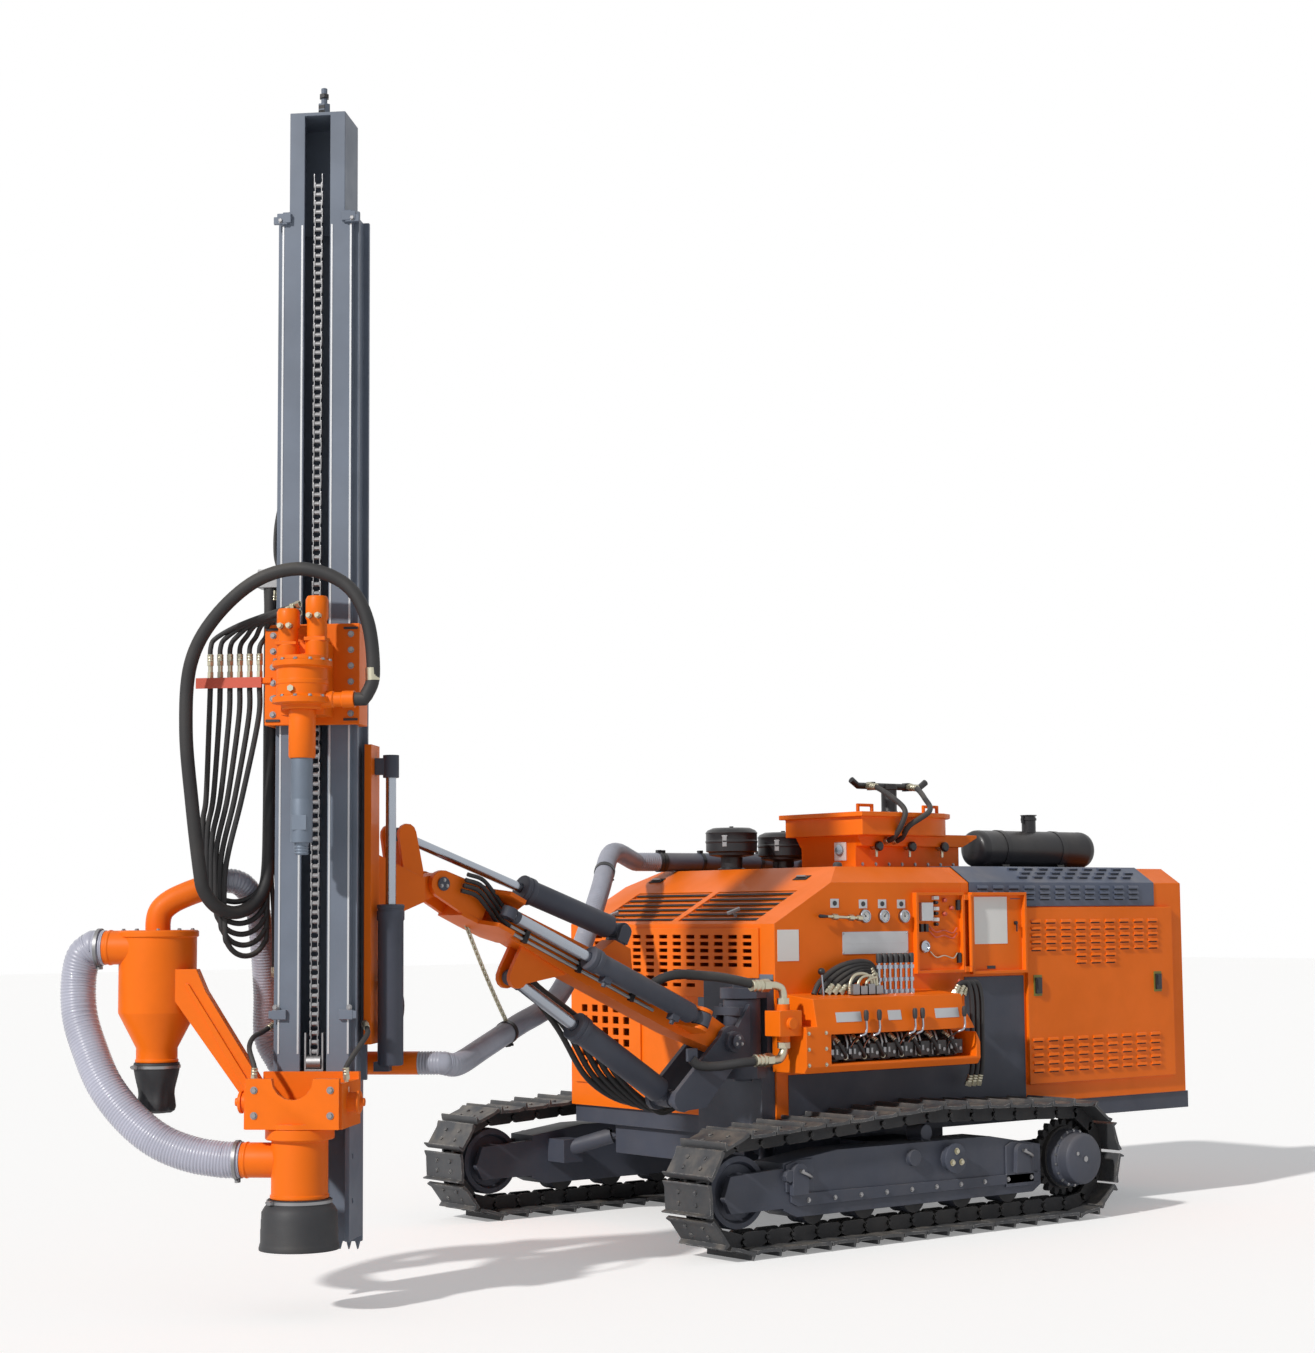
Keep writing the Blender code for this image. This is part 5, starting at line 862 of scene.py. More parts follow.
def make_track(side, label):
    """Shoes and links along the belt, the shoes standing for the whole CAD loop."""
    circles = [(SPROCKET[0], SPROCKET[1], SPROCKET_PATH_R), (IDLER[0], IDLER[1], IDLER_PATH_R),
               (CARRIER[0], CARRIER[1], CARRIER[2] + LINK_DEPTH)]
    line = belt_line(circles, 0.012)
    length = sum((b - a).length for a, b in zip(line, line[1:] + line[:1]))
    count = round(length / SHOE_PITCH)
    pitch = length / count
    place = Matrix.Translation((0, side * TRACK_Y, 0))
    for kind, form, finish, replaced in (("shoes", shoe_form(pitch), "track", ("track_" + label,)),
                                         ("links", link_form(pitch), "link", ())):
        form.vertices = [corner - Vector((pitch / 2, 0, 0)) for corner in form.vertices]
        shape = pattern(form)
        mesh = grown("route", curve_of(line, closed=True), Shape=shape, Count=count, Pivot=(0, -1, 0),
                     Finish=FINISH[finish])
        bpy.data.objects.remove(shape, do_unlink=True)
        finished("track_%s_%s" % (kind, label), "root", finish, mesh, place, 0.0, replaced)


for side, label in ((1, "left"), (-1, "right")):
    make_track(side, label)


# CAD nodes shown as they are, with rounded edges

SKINS = {
    "orange": (
        "front_housing", "front_grille", "rear_housing", "side_door_left", "side_door_right", "control_bench",
        "electrical_box", "electrical_door", "hose_manifold", "boom", "boom_head", "feed_holder",
        "clamp_table", "dust_elbow", "carriage", "dust_collector"),
    "slate": (
        "base_frame", "chassis", "levelling_cylinder_left", "levelling_cylinder_right", "track_frame_left",
        "track_frame_right", "swing_bracket", "tilt_trunnion"),
    "beam": ("feed_beam",),
    "louvre": ("louvred_cover",),
    "steel": ("hose_anchor",),
    "engine": ("engine_block", "valve_bank"),
}

for finish, names in SKINS.items():
    for node_name in names:
        skin(node_name, finish)


# Turned parts, with more sides than the CAD and their small detail

BODY_HALF_Y = 0.83
ROOF_Z = 1.812
SIDE = BODY_HALF_Y + 0.0004


def clamp_band(form, centre, axis, radius, width=0.014):
    """Worm-drive band round a hose, with its screw housing on top."""
    centre, axis = Vector(centre), Vector(axis).normalized()
    place = axis_frame(centre - axis * width / 2, centre + axis * width / 2)
    form.turned([(radius, 0), (radius + 0.003, 0), (radius + 0.003, width), (radius, width)], place)
    form.block((radius, -0.012, -0.002), (radius + 0.013, 0.012, width + 0.002), place)
    form.bar(place @ Vector((radius + 0.008, -0.024, width / 2)),
             place @ Vector((radius + 0.008, 0.02, width / 2)), 0.006, 10)


def fitting(form, start, end, radius):
    """Crimped ferrule and hexagon nut on the end of a hose, nut towards end."""
    start, end = Vector(start), Vector(end)
    run = end - start
    length = run.length
    r = radius
    form.turned([(0, 0), (r, 0), (r * 1.12, length * 0.04), (r * 1.12, length * 0.18),
                 (r * 1.03, length * 0.22), (r * 1.12, length * 0.26), (r * 1.12, length * 0.42),
                 (r * 1.03, length * 0.46), (r * 1.12, length * 0.50), (r * 1.12, length * 0.60),
                 (r * 0.8, length * 0.64), (0, length * 0.64)],
                axis_frame(start, end), 20)
    form.hexagon(start + run * 0.62, end, r * 1.25)


def black_hose(name, body, points, radius, steps=8, ends=True, finish="rubber"):
    """Plain hose on a smooth route, with zinc ferrules where it is joined."""
    line = smooth_line(points, steps)
    form = Form()
    form.tube(line, radius)
    form.piece(name, body, finish, 0.0)
    if ends:
        caps = Form()
        reach = radius * 4.5
        for tip, inner in ((line[0], line[1]), (line[-1], line[-2])):
            heading = (inner - tip).normalized()
            fitting(caps, tip + heading * reach, tip, radius * 1.15)
        caps.piece(name + "_ends", body, "zinc", 0.0)


def make_drive(side, label):
    """Round reduction gear with its bolted cover, and the toothed sprocket in the chain."""
    centre = Vector((SPROCKET[0], side * TRACK_Y, SPROCKET[1]))
    out = Vector((0, side, 0))
    place = axis_frame(centre, centre + out)
    rim = (SPROCKET_PATH_R - LINK_DEPTH) * math.cos(SHOE_PITCH / 2 / SPROCKET_PATH_R)
    form = Form()
    form.turned([(0, -0.08), (0.10, -0.08), (0.10, 0.0), (0.145, 0.02), (0.145, 0.098), (0.139, 0.104),
                 (0.131, 0.106), (0.130, 0.164), (0.124, 0.172), (0.110, 0.179), (0.02, 0.180), (0, 0.180)],
                place, 56)
    inner = sorted((side * (TRACK_Y - 0.10), side * TRACK_Y))
    form.block((centre.x - 0.06, inner[0], centre.z - 0.09), (centre.x + 0.10, inner[1], centre.z + 0.09))
    form.piece("final_drive_shown_" + label, "root", "slate", 0.003, ("final_drive_" + label,))
    teeth = Form()
    outline = []
    count = 21
    for i in range(count):
        for share, radius in ((0.0, rim - 0.022), (0.30, rim - 0.022), (0.42, rim + 0.004),
                              (0.62, rim + 0.010), (0.88, rim - 0.002)):
            angle = 2 * math.pi * (i + share) / count
            outline.append((radius * math.cos(angle), radius * math.sin(angle)))
    teeth.prism(outline, -0.018, 0.018, place)
    teeth.turned([(0.10, -0.045), (rim - 0.03, -0.045), (rim - 0.03, 0.045), (0.10, 0.045)], place, 48)
    teeth.piece("sprocket_" + label, "root", "link", 0.0)
    ring("drive_bolts_" + label, "root", "steel", bolt_form(0.007, 0.007), 18, 0.1375,
         place @ Matrix.Translation((0, 0, 0.099)))
    plug = Form()
    plug.hexagon(centre + out * 0.179, centre + out * 0.1848, 0.016)
    plug.hexagon(centre + out * 0.179 + Vector((0.06, 0, 0.03)),
                 centre + out * 0.1848 + Vector((0.06, 0, 0.03)), 0.011)
    plug.piece("drive_plugs_" + label, "root", "steel", 0.001)


def make_idler(side, label):
    """Front wheel with a raised guide rim, its hub and its axle."""
    centre = Vector((IDLER[0], side * TRACK_Y, IDLER[1]))
    out = Vector((0, side, 0))
    rim = (IDLER_PATH_R - LINK_DEPTH) * math.cos(SHOE_PITCH / 2 / IDLER_PATH_R) - 0.0004
    form = Form()
    half = [(rim - 0.03, 0.050), (rim - 0.004, 0.048), (rim - 0.003, 0.034), (rim, 0.030)]
    wheel = [(0.05, 0.055), (0.085, 0.055), (0.09, 0.03), (0.13, 0.028), (rim - 0.04, 0.034)] + half
    profile = wheel + [(r, -h) for r, h in reversed(wheel)]
    form.turned(profile, axis_frame(centre, centre + out), 56)
    form.bar(centre - out * 0.0695, centre + out * 0.0695, 0.035)
    form.piece("idler_shown_" + label, "root", "slate", 0.002, ("idler_" + label,))


def make_track_details(side, label):
    """Rollers, plates, bolts, lifting lugs with shackles and the pivot cover of a track frame."""
    face = side * (TRACK_Y + 0.100)
    out = Vector((0, side, 0))
    rollers = Form()
    roller_z = PATH_LOW_Z + LINK_DEPTH + 0.075
    for i in range(5):
        centre = Vector((-0.66 + i * 0.33, side * TRACK_Y, roller_z))
        place = axis_frame(centre, centre + out)
        rollers.turned([(0, -0.085), (0.030, -0.085), (0.034, -0.062), (0.074, -0.060), (0.074, -0.056),
                        (0.062, -0.054), (0.062, 0.054), (0.074, 0.056), (0.074, 0.060), (0.034, 0.062),
                        (0.030, 0.085), (0, 0.085)],
                       place, 32)
    rollers.piece("bottom_rollers_" + label, "root", "link", 0.001)
    plates = Form()
    low, high = sorted((face, face + side * 0.010))
    plates.prism([(-0.84, 0.215), (0.80, 0.215), (0.84, 0.235), (0.84, 0.275), (-0.84, 0.262)], low, high,
                 along="y")
    plates.prism([(0.70, 0.285), (0.87, 0.285), (0.87, 0.41), (0.80, 0.43), (0.70, 0.43)], low, high,
                 along="y")
    plates.prism([(-0.80, 0.20), (-0.60, 0.20), (-0.60, 0.405), (-0.64, 0.425), (-0.80, 0.40)], low, high,
                 along="y")
    plates.piece("frame_plates_" + label, "root", "slate", 0.003)
    pivot = Vector((-0.212, face + side * 0.035, 0.372))
    cover = Form()
    cover.turned([(0, 0), (0.074, 0), (0.074, 0.010), (0.068, 0.014), (0, 0.014)],
                 axis_frame(pivot, pivot + out), 40)
    cover.piece("pivot_cover_" + label, "root", "slate", 0.002)
    bolt = bolt_form(0.012, 0.012)
    ring("pivot_bolts_" + label, "root", "zinc", bolt, 3, 0.036,
         axis_frame(pivot + out * 0.0142, pivot + out))
    outwards = Matrix.Rotation(-side * math.pi / 2, 4, "X")
    spot = Matrix.Translation((-0.78, face + side * 0.0102, 0.240)) @ outwards
    rows("frame_bolts_" + label, "root", "steel", bolt_form(0.009, 0.008), 10, 1, (0.168, 0, 0), (0, 0, 0),
         spot)
    eyes = Form()
    for x, z in ((0.80, 0.37), (-0.70, 0.37)):
        low, high = sorted((face + side * 0.008, face + side * 0.034))
        eyes.prism([(x - 0.05, z - 0.10), (x + 0.05, z - 0.10), (x + 0.045, z - 0.01)]
                   + arc((x, z), 0.045, 0, 180, 10) + [(x - 0.05, z - 0.02)], low, high, along="y")
    eyes.piece("lifting_lugs_" + label, "root", "slate", 0.002)
    shackles = Form()
    for x, z in ((0.80, 0.38), (-0.70, 0.38)):
        y = face + side * 0.021
        shackles.bar((x, y - 0.032, z), (x, y + 0.032, z), 0.009, 14)
        loop = [(x + 0.010, y - 0.024, z), (x - 0.03, y - 0.026, z - 0.016), (x - 0.062, y - 0.016, z - 0.03),
                (x - 0.074, y, z - 0.036), (x - 0.062, y + 0.016, z - 0.03), (x - 0.03, y + 0.026, z - 0.016),
                (x + 0.010, y + 0.024, z)]
        shackles.tube(smooth_line(loop, 5), 0.0075, 10)
    shackles.piece("shackles_" + label, "root", "steel", 0.0)


for side, label in ((1, "left"), (-1, "right")):
    make_drive(side, label)
    make_idler(side, label)
    make_track_details(side, label)


def make_air_cleaner(name, x, y, z, radius):
    """Intake filter: ribbed neck, drum with a rolled seam, domed cap with a nut and two clips."""
    place = Matrix.Translation((x, y, 0))
    r = radius
    form = Form()
    form.turned([(0, ROOF_Z + 0.0005), (0.075, ROOF_Z + 0.0005), (0.075, ROOF_Z + 0.008),
                 (0.058, ROOF_Z + 0.012), (0.058, z - 0.085), (r - 0.02, z - 0.074), (r - 0.018, z - 0.060),
                 (r - 0.003, z - 0.054), (r - 0.003, z - 0.010), (r, z - 0.006), (r, z + 0.002),
                 (r - 0.003, z + 0.006), (r - 0.003, z + 0.040), (r, z + 0.045), (r - 0.012, z + 0.060),
                 (r - 0.04, z + 0.072), (0.02, z + 0.075), (0, z + 0.075)],
                place, 64)
    form.hexagon((x, y, z + 0.07), (x, y, z + 0.0815), 0.012)
    form.piece(name + "_shown", "root", "black", 0.001, (name,))
    clips = Form()
    for angle in (0.6, 2.7, 4.8):
        spot = place @ Matrix.Rotation(angle, 4, "Z")
        clips.block((r - 0.006, -0.012, z - 0.03), (r - 0.0005, 0.012, z + 0.03), spot)
        clips.bar(spot @ Vector((r - 0.004, -0.016, z + 0.026)), spot @ Vector((r - 0.004, 0.016, z + 0.026)),
                  0.003, 10)
    clips.piece(name + "_clips", "root", "steel", 0.001)


make_air_cleaner("air_cleaner_front", 0.04, -0.24, 1.965, 0.14)
make_air_cleaner("air_cleaner_rear", -0.31, -0.22, 1.945, 0.14)


def make_muffler():
    """Silencer with pressed ends, two strap saddles and a rain cap on its outlet."""
    x_low, x_high, y, z, r = -2.30, -1.37, 0.16, 1.93, 0.105
    place = axis_frame((x_low, y, z), (x_high, y, z))
    length = x_high - x_low
    form = Form()
    ends = [(0, 0.006), (r * 0.55, 0.004), (r * 0.80, 0.010), (r * 0.93, 0.020), (r * 0.985, 0.036),
            (r * 0.995, 0.052), (r, 0.056), (r, 0.062), (r * 0.992, 0.066)]
    form.turned(ends + [(radius, length - height) for radius, height in reversed(ends)], place, 64)
    form.bar((x_low + 0.46, y, z), (x_low + 0.46, y, z + 0.190), 0.040)
    form.bar((x_low + 0.46, y, z + 0.165), (x_low + 0.46, y, z + 0.180), 0.045)
    form.turned([(0, 0), (0.047, 0), (0.047, 0.005), (0, 0.007)],
                Matrix.Translation((x_low + 0.46, y, z + 0.192)), 32)
    form.block((x_low + 0.50, y - 0.008, z + 0.150), (x_low + 0.515, y + 0.008, z + 0.196))
    base = ROOF_Z + 0.0068
    for x in (-2.03, -1.58):
        form.prism([(y - 0.07, base), (y + 0.07, base), (y + 0.07, base + 0.012), (y + 0.05, z - 0.06),
                    (y - 0.05, z - 0.06), (y - 0.07, base + 0.012)], x - 0.028, x + 0.028, along="x")
        strap = axis_frame((x - 0.02, y, z), (x + 0.02, y, z))
        form.turned([(r, 0), (r + 0.0028, 0), (r + 0.0028, 0.04), (r, 0.04)], strap, 48)
    form.piece("muffler_shown", "root", "black", 0.0015, ("muffler",))


make_muffler()


def make_cylinder(kind, base, eye, radii, lengths, axis, eye_half, eye_radius):
    """Hydraulic cylinder: barrel with weld rings, gland nut, port blocks; plated rod with its eye."""
    base, eye, axis = Vector(base), Vector(eye), Vector(axis).normalized()
    radius, rod_radius = radii
    long, rod_long = lengths
    place = axis_frame(base, eye)
    gland = radius + 0.008
    barrel = Form()
    barrel.turned([(0, 0.028), (radius * 0.5, 0.028), (radius * 0.62, 0.055), (radius - 0.004, 0.070),
                   (radius, 0.078), (radius, long - 0.062), (gland - 0.002, long - 0.060),
                   (gland, long - 0.055), (gland, long - 0.034), (gland - 0.004, long - 0.030),
                   (gland - 0.004, long - 0.026), (gland, long - 0.022), (gland, long - 0.004),
                   (gland - 0.004, long), (rod_radius + 0.001, long), (rod_radius + 0.001, long - 0.05),
                   (0, long - 0.05)], place, 56)
    barrel.turned([(0.0186, 0), (0.042, 0), (0.042, 0.060), (0.0186, 0.060)],
                  axis_frame(base - axis * 0.030, base + axis * 0.030), 40)
    barrel.piece(kind + "_barrel_shown", kind + "_barrel", "slate", 0.0015, (kind + "_barrel",))
    distance = (eye - base).length
    rod = Form()
    rod.turned([(0, distance - rod_long), (rod_radius, distance - rod_long),
                (rod_radius, distance - eye_radius * 0.6), (0, distance - eye_radius * 0.6)], place, 48)
    rod.piece(kind + "_rod_shown", kind + "_rod", "chrome", 0.0, (kind + "_rod",))
    knuckle = Form()
    knuckle.turned([(0.018, 0), (eye_radius, 0), (eye_radius, 2 * eye_half), (0.018, 2 * eye_half)],
                   axis_frame(eye - axis * eye_half, eye + axis * eye_half), 36)
    knuckle.bar(eye + (base - eye).normalized() * (eye_radius - 0.006),
                eye + (base - eye).normalized() * (eye_radius + 0.02), rod_radius + 0.004)
    knuckle.piece(kind + "_rod_eye", kind + "_rod", "slate", 0.001)
    ports = Form()
    side = place.to_3x3() @ Vector((0, 1, 0)) if abs(axis.y) > 0.9 else place.to_3x3() @ Vector((1, 0, 0))
    down = side if side.z < 0 else -side
    for along in (0.16, long - 0.13):
        spot = place @ Vector((0, 0, along))
        ports.block((-0.022, -0.022, radius - 0.006), (0.022, 0.022, radius + 0.022),
                    axis_frame(spot, spot + down))
        ports.hexagon(spot + down * (radius + 0.020), spot + down * (radius + 0.040), 0.012)
    ports.piece(kind + "_ports", kind + "_barrel", "slate", 0.0015)


LIFT_PIN = Vector((1.272, BOOM_Y, 0.72))
BOOM_UP = BOOM.to_3x3() @ Vector((0, 0, 1))
make_cylinder("lift", LIFT_PIN, boom_point(1.22, -0.20), (0.060, 0.030), (0.66, 0.88), (0, 1, 0), 0.024,
              0.036)
make_cylinder("yaw", boom_point(0.27, 0, 0.185), boom_point(1.47, 0, 0.185), (0.048, 0.024), (0.72, 0.92),
              BOOM_UP, 0.024, 0.036)
make_cylinder("tilt", boom_point(0.743, 0.235), boom_point(2.029, 0.1245), (0.055, 0.022), (0.60, 1.05),
              (0, 1, 0), 0.016, 0.030)


# Mast: head, drill string, dust hood, cyclone, chain and their hoses

ACROSS = FEED.to_3x3() @ Vector((1, 0, 0))
FORWARD = FEED.to_3x3() @ Vector((0, 1, 0))
UP = Vector((0, 0, 1))
DRILL_N = 0.33
HEAD_Z = 2.37
BEAM_FRONT = 0.130
CYCLONE_W = 0.67
CYCLONE_N = 0.10


def face(origin, right, up=(0, 0, 1)):
    """Frame on a flat wall: X along it, Y up it, Z out of it."""
    right, up = Vector(right).normalized(), Vector(up).normalized()
    made = Matrix((right, up, right.cross(up))).transposed().to_4x4()
    made.translation = Vector(origin)
    return made


def upright(w, n, z=0.0):
    """Frame that stands on the mast's own directions."""
    made = FEED.copy()
    made.translation = feed_point(w, n, z)
    return made


def make_rotation_head():
    """Gear housing with bolted flanges, two oil motors and the air swivel."""
    place = upright(0, DRILL_N, HEAD_Z)
    form = Form()
    form.turned([(0, 0.05), (0.080, 0.05), (0.085, 0.055), (0.085, 0.070), (0.122, 0.075), (0.122, 0.098),
                 (0.114, 0.102), (0.105, 0.110), (0.105, 0.150), (0.108, 0.153), (0.108, 0.168),
                 (0.105, 0.171), (0.105, 0.218), (0.122, 0.225), (0.122, 0.247), (0.108, 0.252),
                 (0.100, 0.268), (0.06, 0.270), (0, 0.270)], place, 56)
    form.block((-0.09, 0.1803, 2.40), (0.09, 0.33, 2.70), FEED)
    for w, top in ((-0.06, 2.885), (0.06, 2.835)):
        motor = upright(w, DRILL_N, 2.62)
        high = top - 2.62
        form.turned([(0, 0), (0.047, 0), (0.047, high * 0.30), (0.041, high * 0.33), (0.041, high * 0.62),
                     (0.047, high * 0.66), (0.047, high * 0.94), (0.040, high), (0, high)], motor, 36)
        form.block((-0.044, -0.044, high * 0.30), (0.044, 0.044, high * 0.36), motor)
    form.piece("rotation_head_shown", "carriage", "orange", 0.002, ("rotation_head",))
    swivel = Form()
    sideways = axis_frame(feed_point(0, DRILL_N, 2.46), feed_point(-1, DRILL_N, 2.46))
    swivel.turned([(0, 0), (0.035, 0), (0.035, 0.13), (0.030, 0.135), (0.030, 0.165), (0.035, 0.17),
                   (0.035, 0.218), (0.024, 0.2195), (0, 0.2195)], sideways, 36)
    swivel.piece("air_swivel", "carriage", "orange", 0.001)
    bolt = bolt_form(0.008, 0.009)
    for label, height in (("low", 0.0982), ("high", 0.2475)):
        ring("head_bolts_" + label, "carriage", "steel", bolt, 12, 0.1135,
             upright(0, DRILL_N, HEAD_Z + height))
    plugs = Form()
    for w, z in ((-0.06, 2.80), (0.06, 2.76)):
        for aside in (-0.018, 0.018):
            start = feed_point(w + aside, DRILL_N + 0.036, z)
            plugs.hexagon(start, start + FORWARD * 0.030, 0.013)
            plugs.bar(start + FORWARD * 0.024, start + FORWARD * 0.046, 0.009, 14)
    plugs.hexagon(feed_point(0.02, 0.42, 2.50), feed_point(0.02, 0.447, 2.50), 0.014)
    plugs.piece("motor_unions", "carriage", "zinc", 0.0)


def hose_line(points, steps=6):
    """Route of a duct: straight out of both fittings and smooth between them."""
    route = [Vector(p) for p in points]
    inner = smooth_line(route[1:-1], steps)
    return [route[0]] + inner + [route[-1]]


def even_points(line, gap):
    """The route again as points a set gap apart, and its length."""
    total = sum((b - a).length for a, b in zip(line, line[1:]))
    count = max(2, round(total / gap))
    points = []
    passed = 0.0
    leg = 0
    for i in range(count + 1):
        wanted = total * i / count
        while leg < len(line) - 2 and passed + (line[leg + 1] - line[leg]).length < wanted:
            passed += (line[leg + 1] - line[leg]).length
            leg += 1
        run = line[leg + 1] - line[leg]
        points.append(line[leg] + run * min(1.0, (wanted - passed) / run.length))
    return points, total


def hanging_loop(first, second, bottom):
    """Half circle that a hose hangs in between two legs, in the feed's frame."""
    first, second = Vector(first), Vector(second)
    centre, reach = (first + second) / 2, (second - first) / 2
    points = []
    for angle in range(0, 181, 30):
        spot = centre - reach * math.cos(math.radians(angle))
        points.append((spot.x, spot.y, bottom + reach.length * (1 - math.sin(math.radians(angle)))))
    return points


def make_carriage_details():
    """Bolts and wipers of the sled, its tray of hose unions, and the hoses that leave them."""
    bolt = bolt_form(0.010, 0.009)
    front = face(feed_point(0.165, 0.1795, 2.415), -ACROSS)
    rows("sled_bolts", "carriage", "steel", bolt, 2, 6, (0.33, 0, 0), (0, 0.066, 0), front)
    guides = Form()
    for w in (-0.165, 0.165):
        guides.block((w - 0.030, 0.1793, 2.385), (w + 0.030, 0.1845, 2.395), FEED)
        guides.block((w - 0.030, 0.1793, 2.765), (w + 0.030, 0.1845, 2.775), FEED)
    guides.piece("sled_wipers", "carriage", "boot", 0.001)
    unions = Form()
    for i in range(6):
        start = feed_point(0.225 + i * 0.042, 0.169, 2.572)
        unions.hexagon(start, start + UP * 0.026, 0.014)
        unions.bar(start + UP * 0.02, start + UP * 0.062, 0.010, 14)
    unions.piece("tray_unions", "carriage", "zinc", 0.0)
    tray = Form()
    tray.block((0.21, 0.1895, 2.528), (0.49, 0.1965, 2.572), FEED)
    tray.piece("tray_lip", "carriage", "red", 0.001)
    for i in range(6):
        w = 0.225 + i * 0.042
        spread = 0.372 + 0.0195 * i
        bottom = 1.42 + 0.045 * i
        low = 1.66 + 0.04 * i
        points = [(w, 0.169, 2.625), (w, 0.169, 2.70), (w - 0.02, 0.15, 2.745), (0.5 * w + 0.06, 0.20, 2.80),
                  (0.06 - 0.02 * (i % 3), 0.30, 2.80 + 0.012 * i)]
        black_hose(f"head_hose_{i}", "carriage", [feed_point(*p) for p in points], 0.0105, 7)
        route = [(w, 0.169, 2.545), (w + 0.004, 0.168, 2.40), (0.5 * w + 0.5 * spread, 0.157, 2.08),
                 (spread, 0.142, low + 0.12)]
        route += hanging_loop((spread, 0.14), (0.240, -0.02), bottom)
        route += [(0.238, -0.021, low + 0.20), (0.230, -0.024, 2.3), (0.222 + 0.004 * i, -0.03, 2.6),
                  (0.215 + 0.008 * i, -0.03, 2.9697)]
        line = smooth_line([feed_point(*p) for p in route], 8)
        form = Form()
        form.tube(line, 0.0115)
        piece = form.piece(f"trailing_hose_{i}", None, "rubber", 0.0)
        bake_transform(piece, "carriage", "feed_beam", start=DATUM + feed_point(0.3, 0.11, 1.6),
                 end=DATUM + feed_point(0.3, 0.0, 1.6))


def make_drill_string():
    """Driving sleeve of the head and the first drill tube, with wrench flats and a thread."""
    sleeve = Form()
    place = upright(0, DRILL_N)
    sleeve.turned([(0, 2.222), (0.050, 2.222), (0.055, 2.230), (0.055, 2.380), (0.0545, 2.384),
                   (0.0545, 2.394), (0.055, 2.398), (0.055, 2.4195), (0, 2.4195)], place, 40)
    sleeve.piece("driving_sleeve", "spindle", "orange", 0.001, ("drill_string",))
    tube = Form()
    tube.turned([(0, 1.830), (0.026, 1.830), (0.030, 1.836), (0.027, 1.842), (0.030, 1.848), (0.027, 1.854),
                 (0.030, 1.860), (0.027, 1.866), (0.0300, 1.872), (0.0300, 1.880), (0.0440, 1.880),
                 (0.0445, 1.884), (0.0445, 2.050), (0.0435, 2.054), (0.0435, 2.058), (0.0445, 2.062),
                 (0.0445, 2.2215), (0, 2.2215)],
                place, 40)
    tube.piece("drill_tube_shown", "spindle", "rod", 0.0)
    flats = Form()
    for side in (-1, 1):
        flats.block((-0.030, side * 0.0385, 1.93), (0.030, side * 0.0448, 1.99), place)
    flats.piece("wrench_flats", "spindle", "rod", 0.001)


def make_hood():
    """Dust hood round the drill tube: flanged drum, suction branch and flared rubber boot."""
    place = upright(0, DRILL_N)
    form = Form()
    form.turned([(0.070, 0.7397), (0.134, 0.7397), (0.1385, 0.736), (0.1385, 0.698), (0.134, 0.694),
                 (0.1135, 0.690), (0.1135, 0.478), (0.118, 0.474), (0.118, 0.464), (0.1135, 0.460),
                 (0.1015, 0.460), (0.1015, 0.722), (0.070, 0.722)], place, 64)
    branch = axis_frame(feed_point(0.09, DRILL_N, 0.61), feed_point(1, DRILL_N, 0.61))
    form.turned([(0.062, 0), (0.070, 0), (0.070, 0.118), (0.073, 0.122), (0.073, 0.128), (0.070, 0.132),
                 (0.070, 0.1448), (0.062, 0.1448)], branch, 48)
    form.piece("dust_hood_shown", "feed_beam", "orange", 0.0015, ("dust_hood",))
    boot = Form()
    boot.turned([(0.1260, 0.4597), (0.1290, 0.450), (0.1295, 0.440), (0.140, 0.428), (0.151, 0.410),
                 (0.1515, 0.385), (0.1530, 0.380), (0.1535, 0.345), (0.1550, 0.340), (0.1550, 0.292),
                 (0.1580, 0.282), (0.1610, 0.270), (0.1608, 0.2605), (0.150, 0.2605), (0.145, 0.292),
                 (0.141, 0.405), (0.128, 0.424), (0.1185, 0.440), (0.1185, 0.4597)], place, 64)
    boot.piece("dust_boot_shown", "feed_beam", "boot", 0.001, ("dust_boot",))
    band = Form()
    clamp_band(band, feed_point(0, DRILL_N, 0.4495), UP, 0.1285, 0.012)
    clamp_band(band, feed_point(0.255, DRILL_N, 0.61), ACROSS, 0.0765, 0.014)
    band.piece("hood_clamps", "feed_beam", "steel", 0.0)
    ring("hood_bolts", "feed_beam", "steel", bolt_form(0.008, 0.008), 8, 0.126, upright(0, DRILL_N, 0.7399))


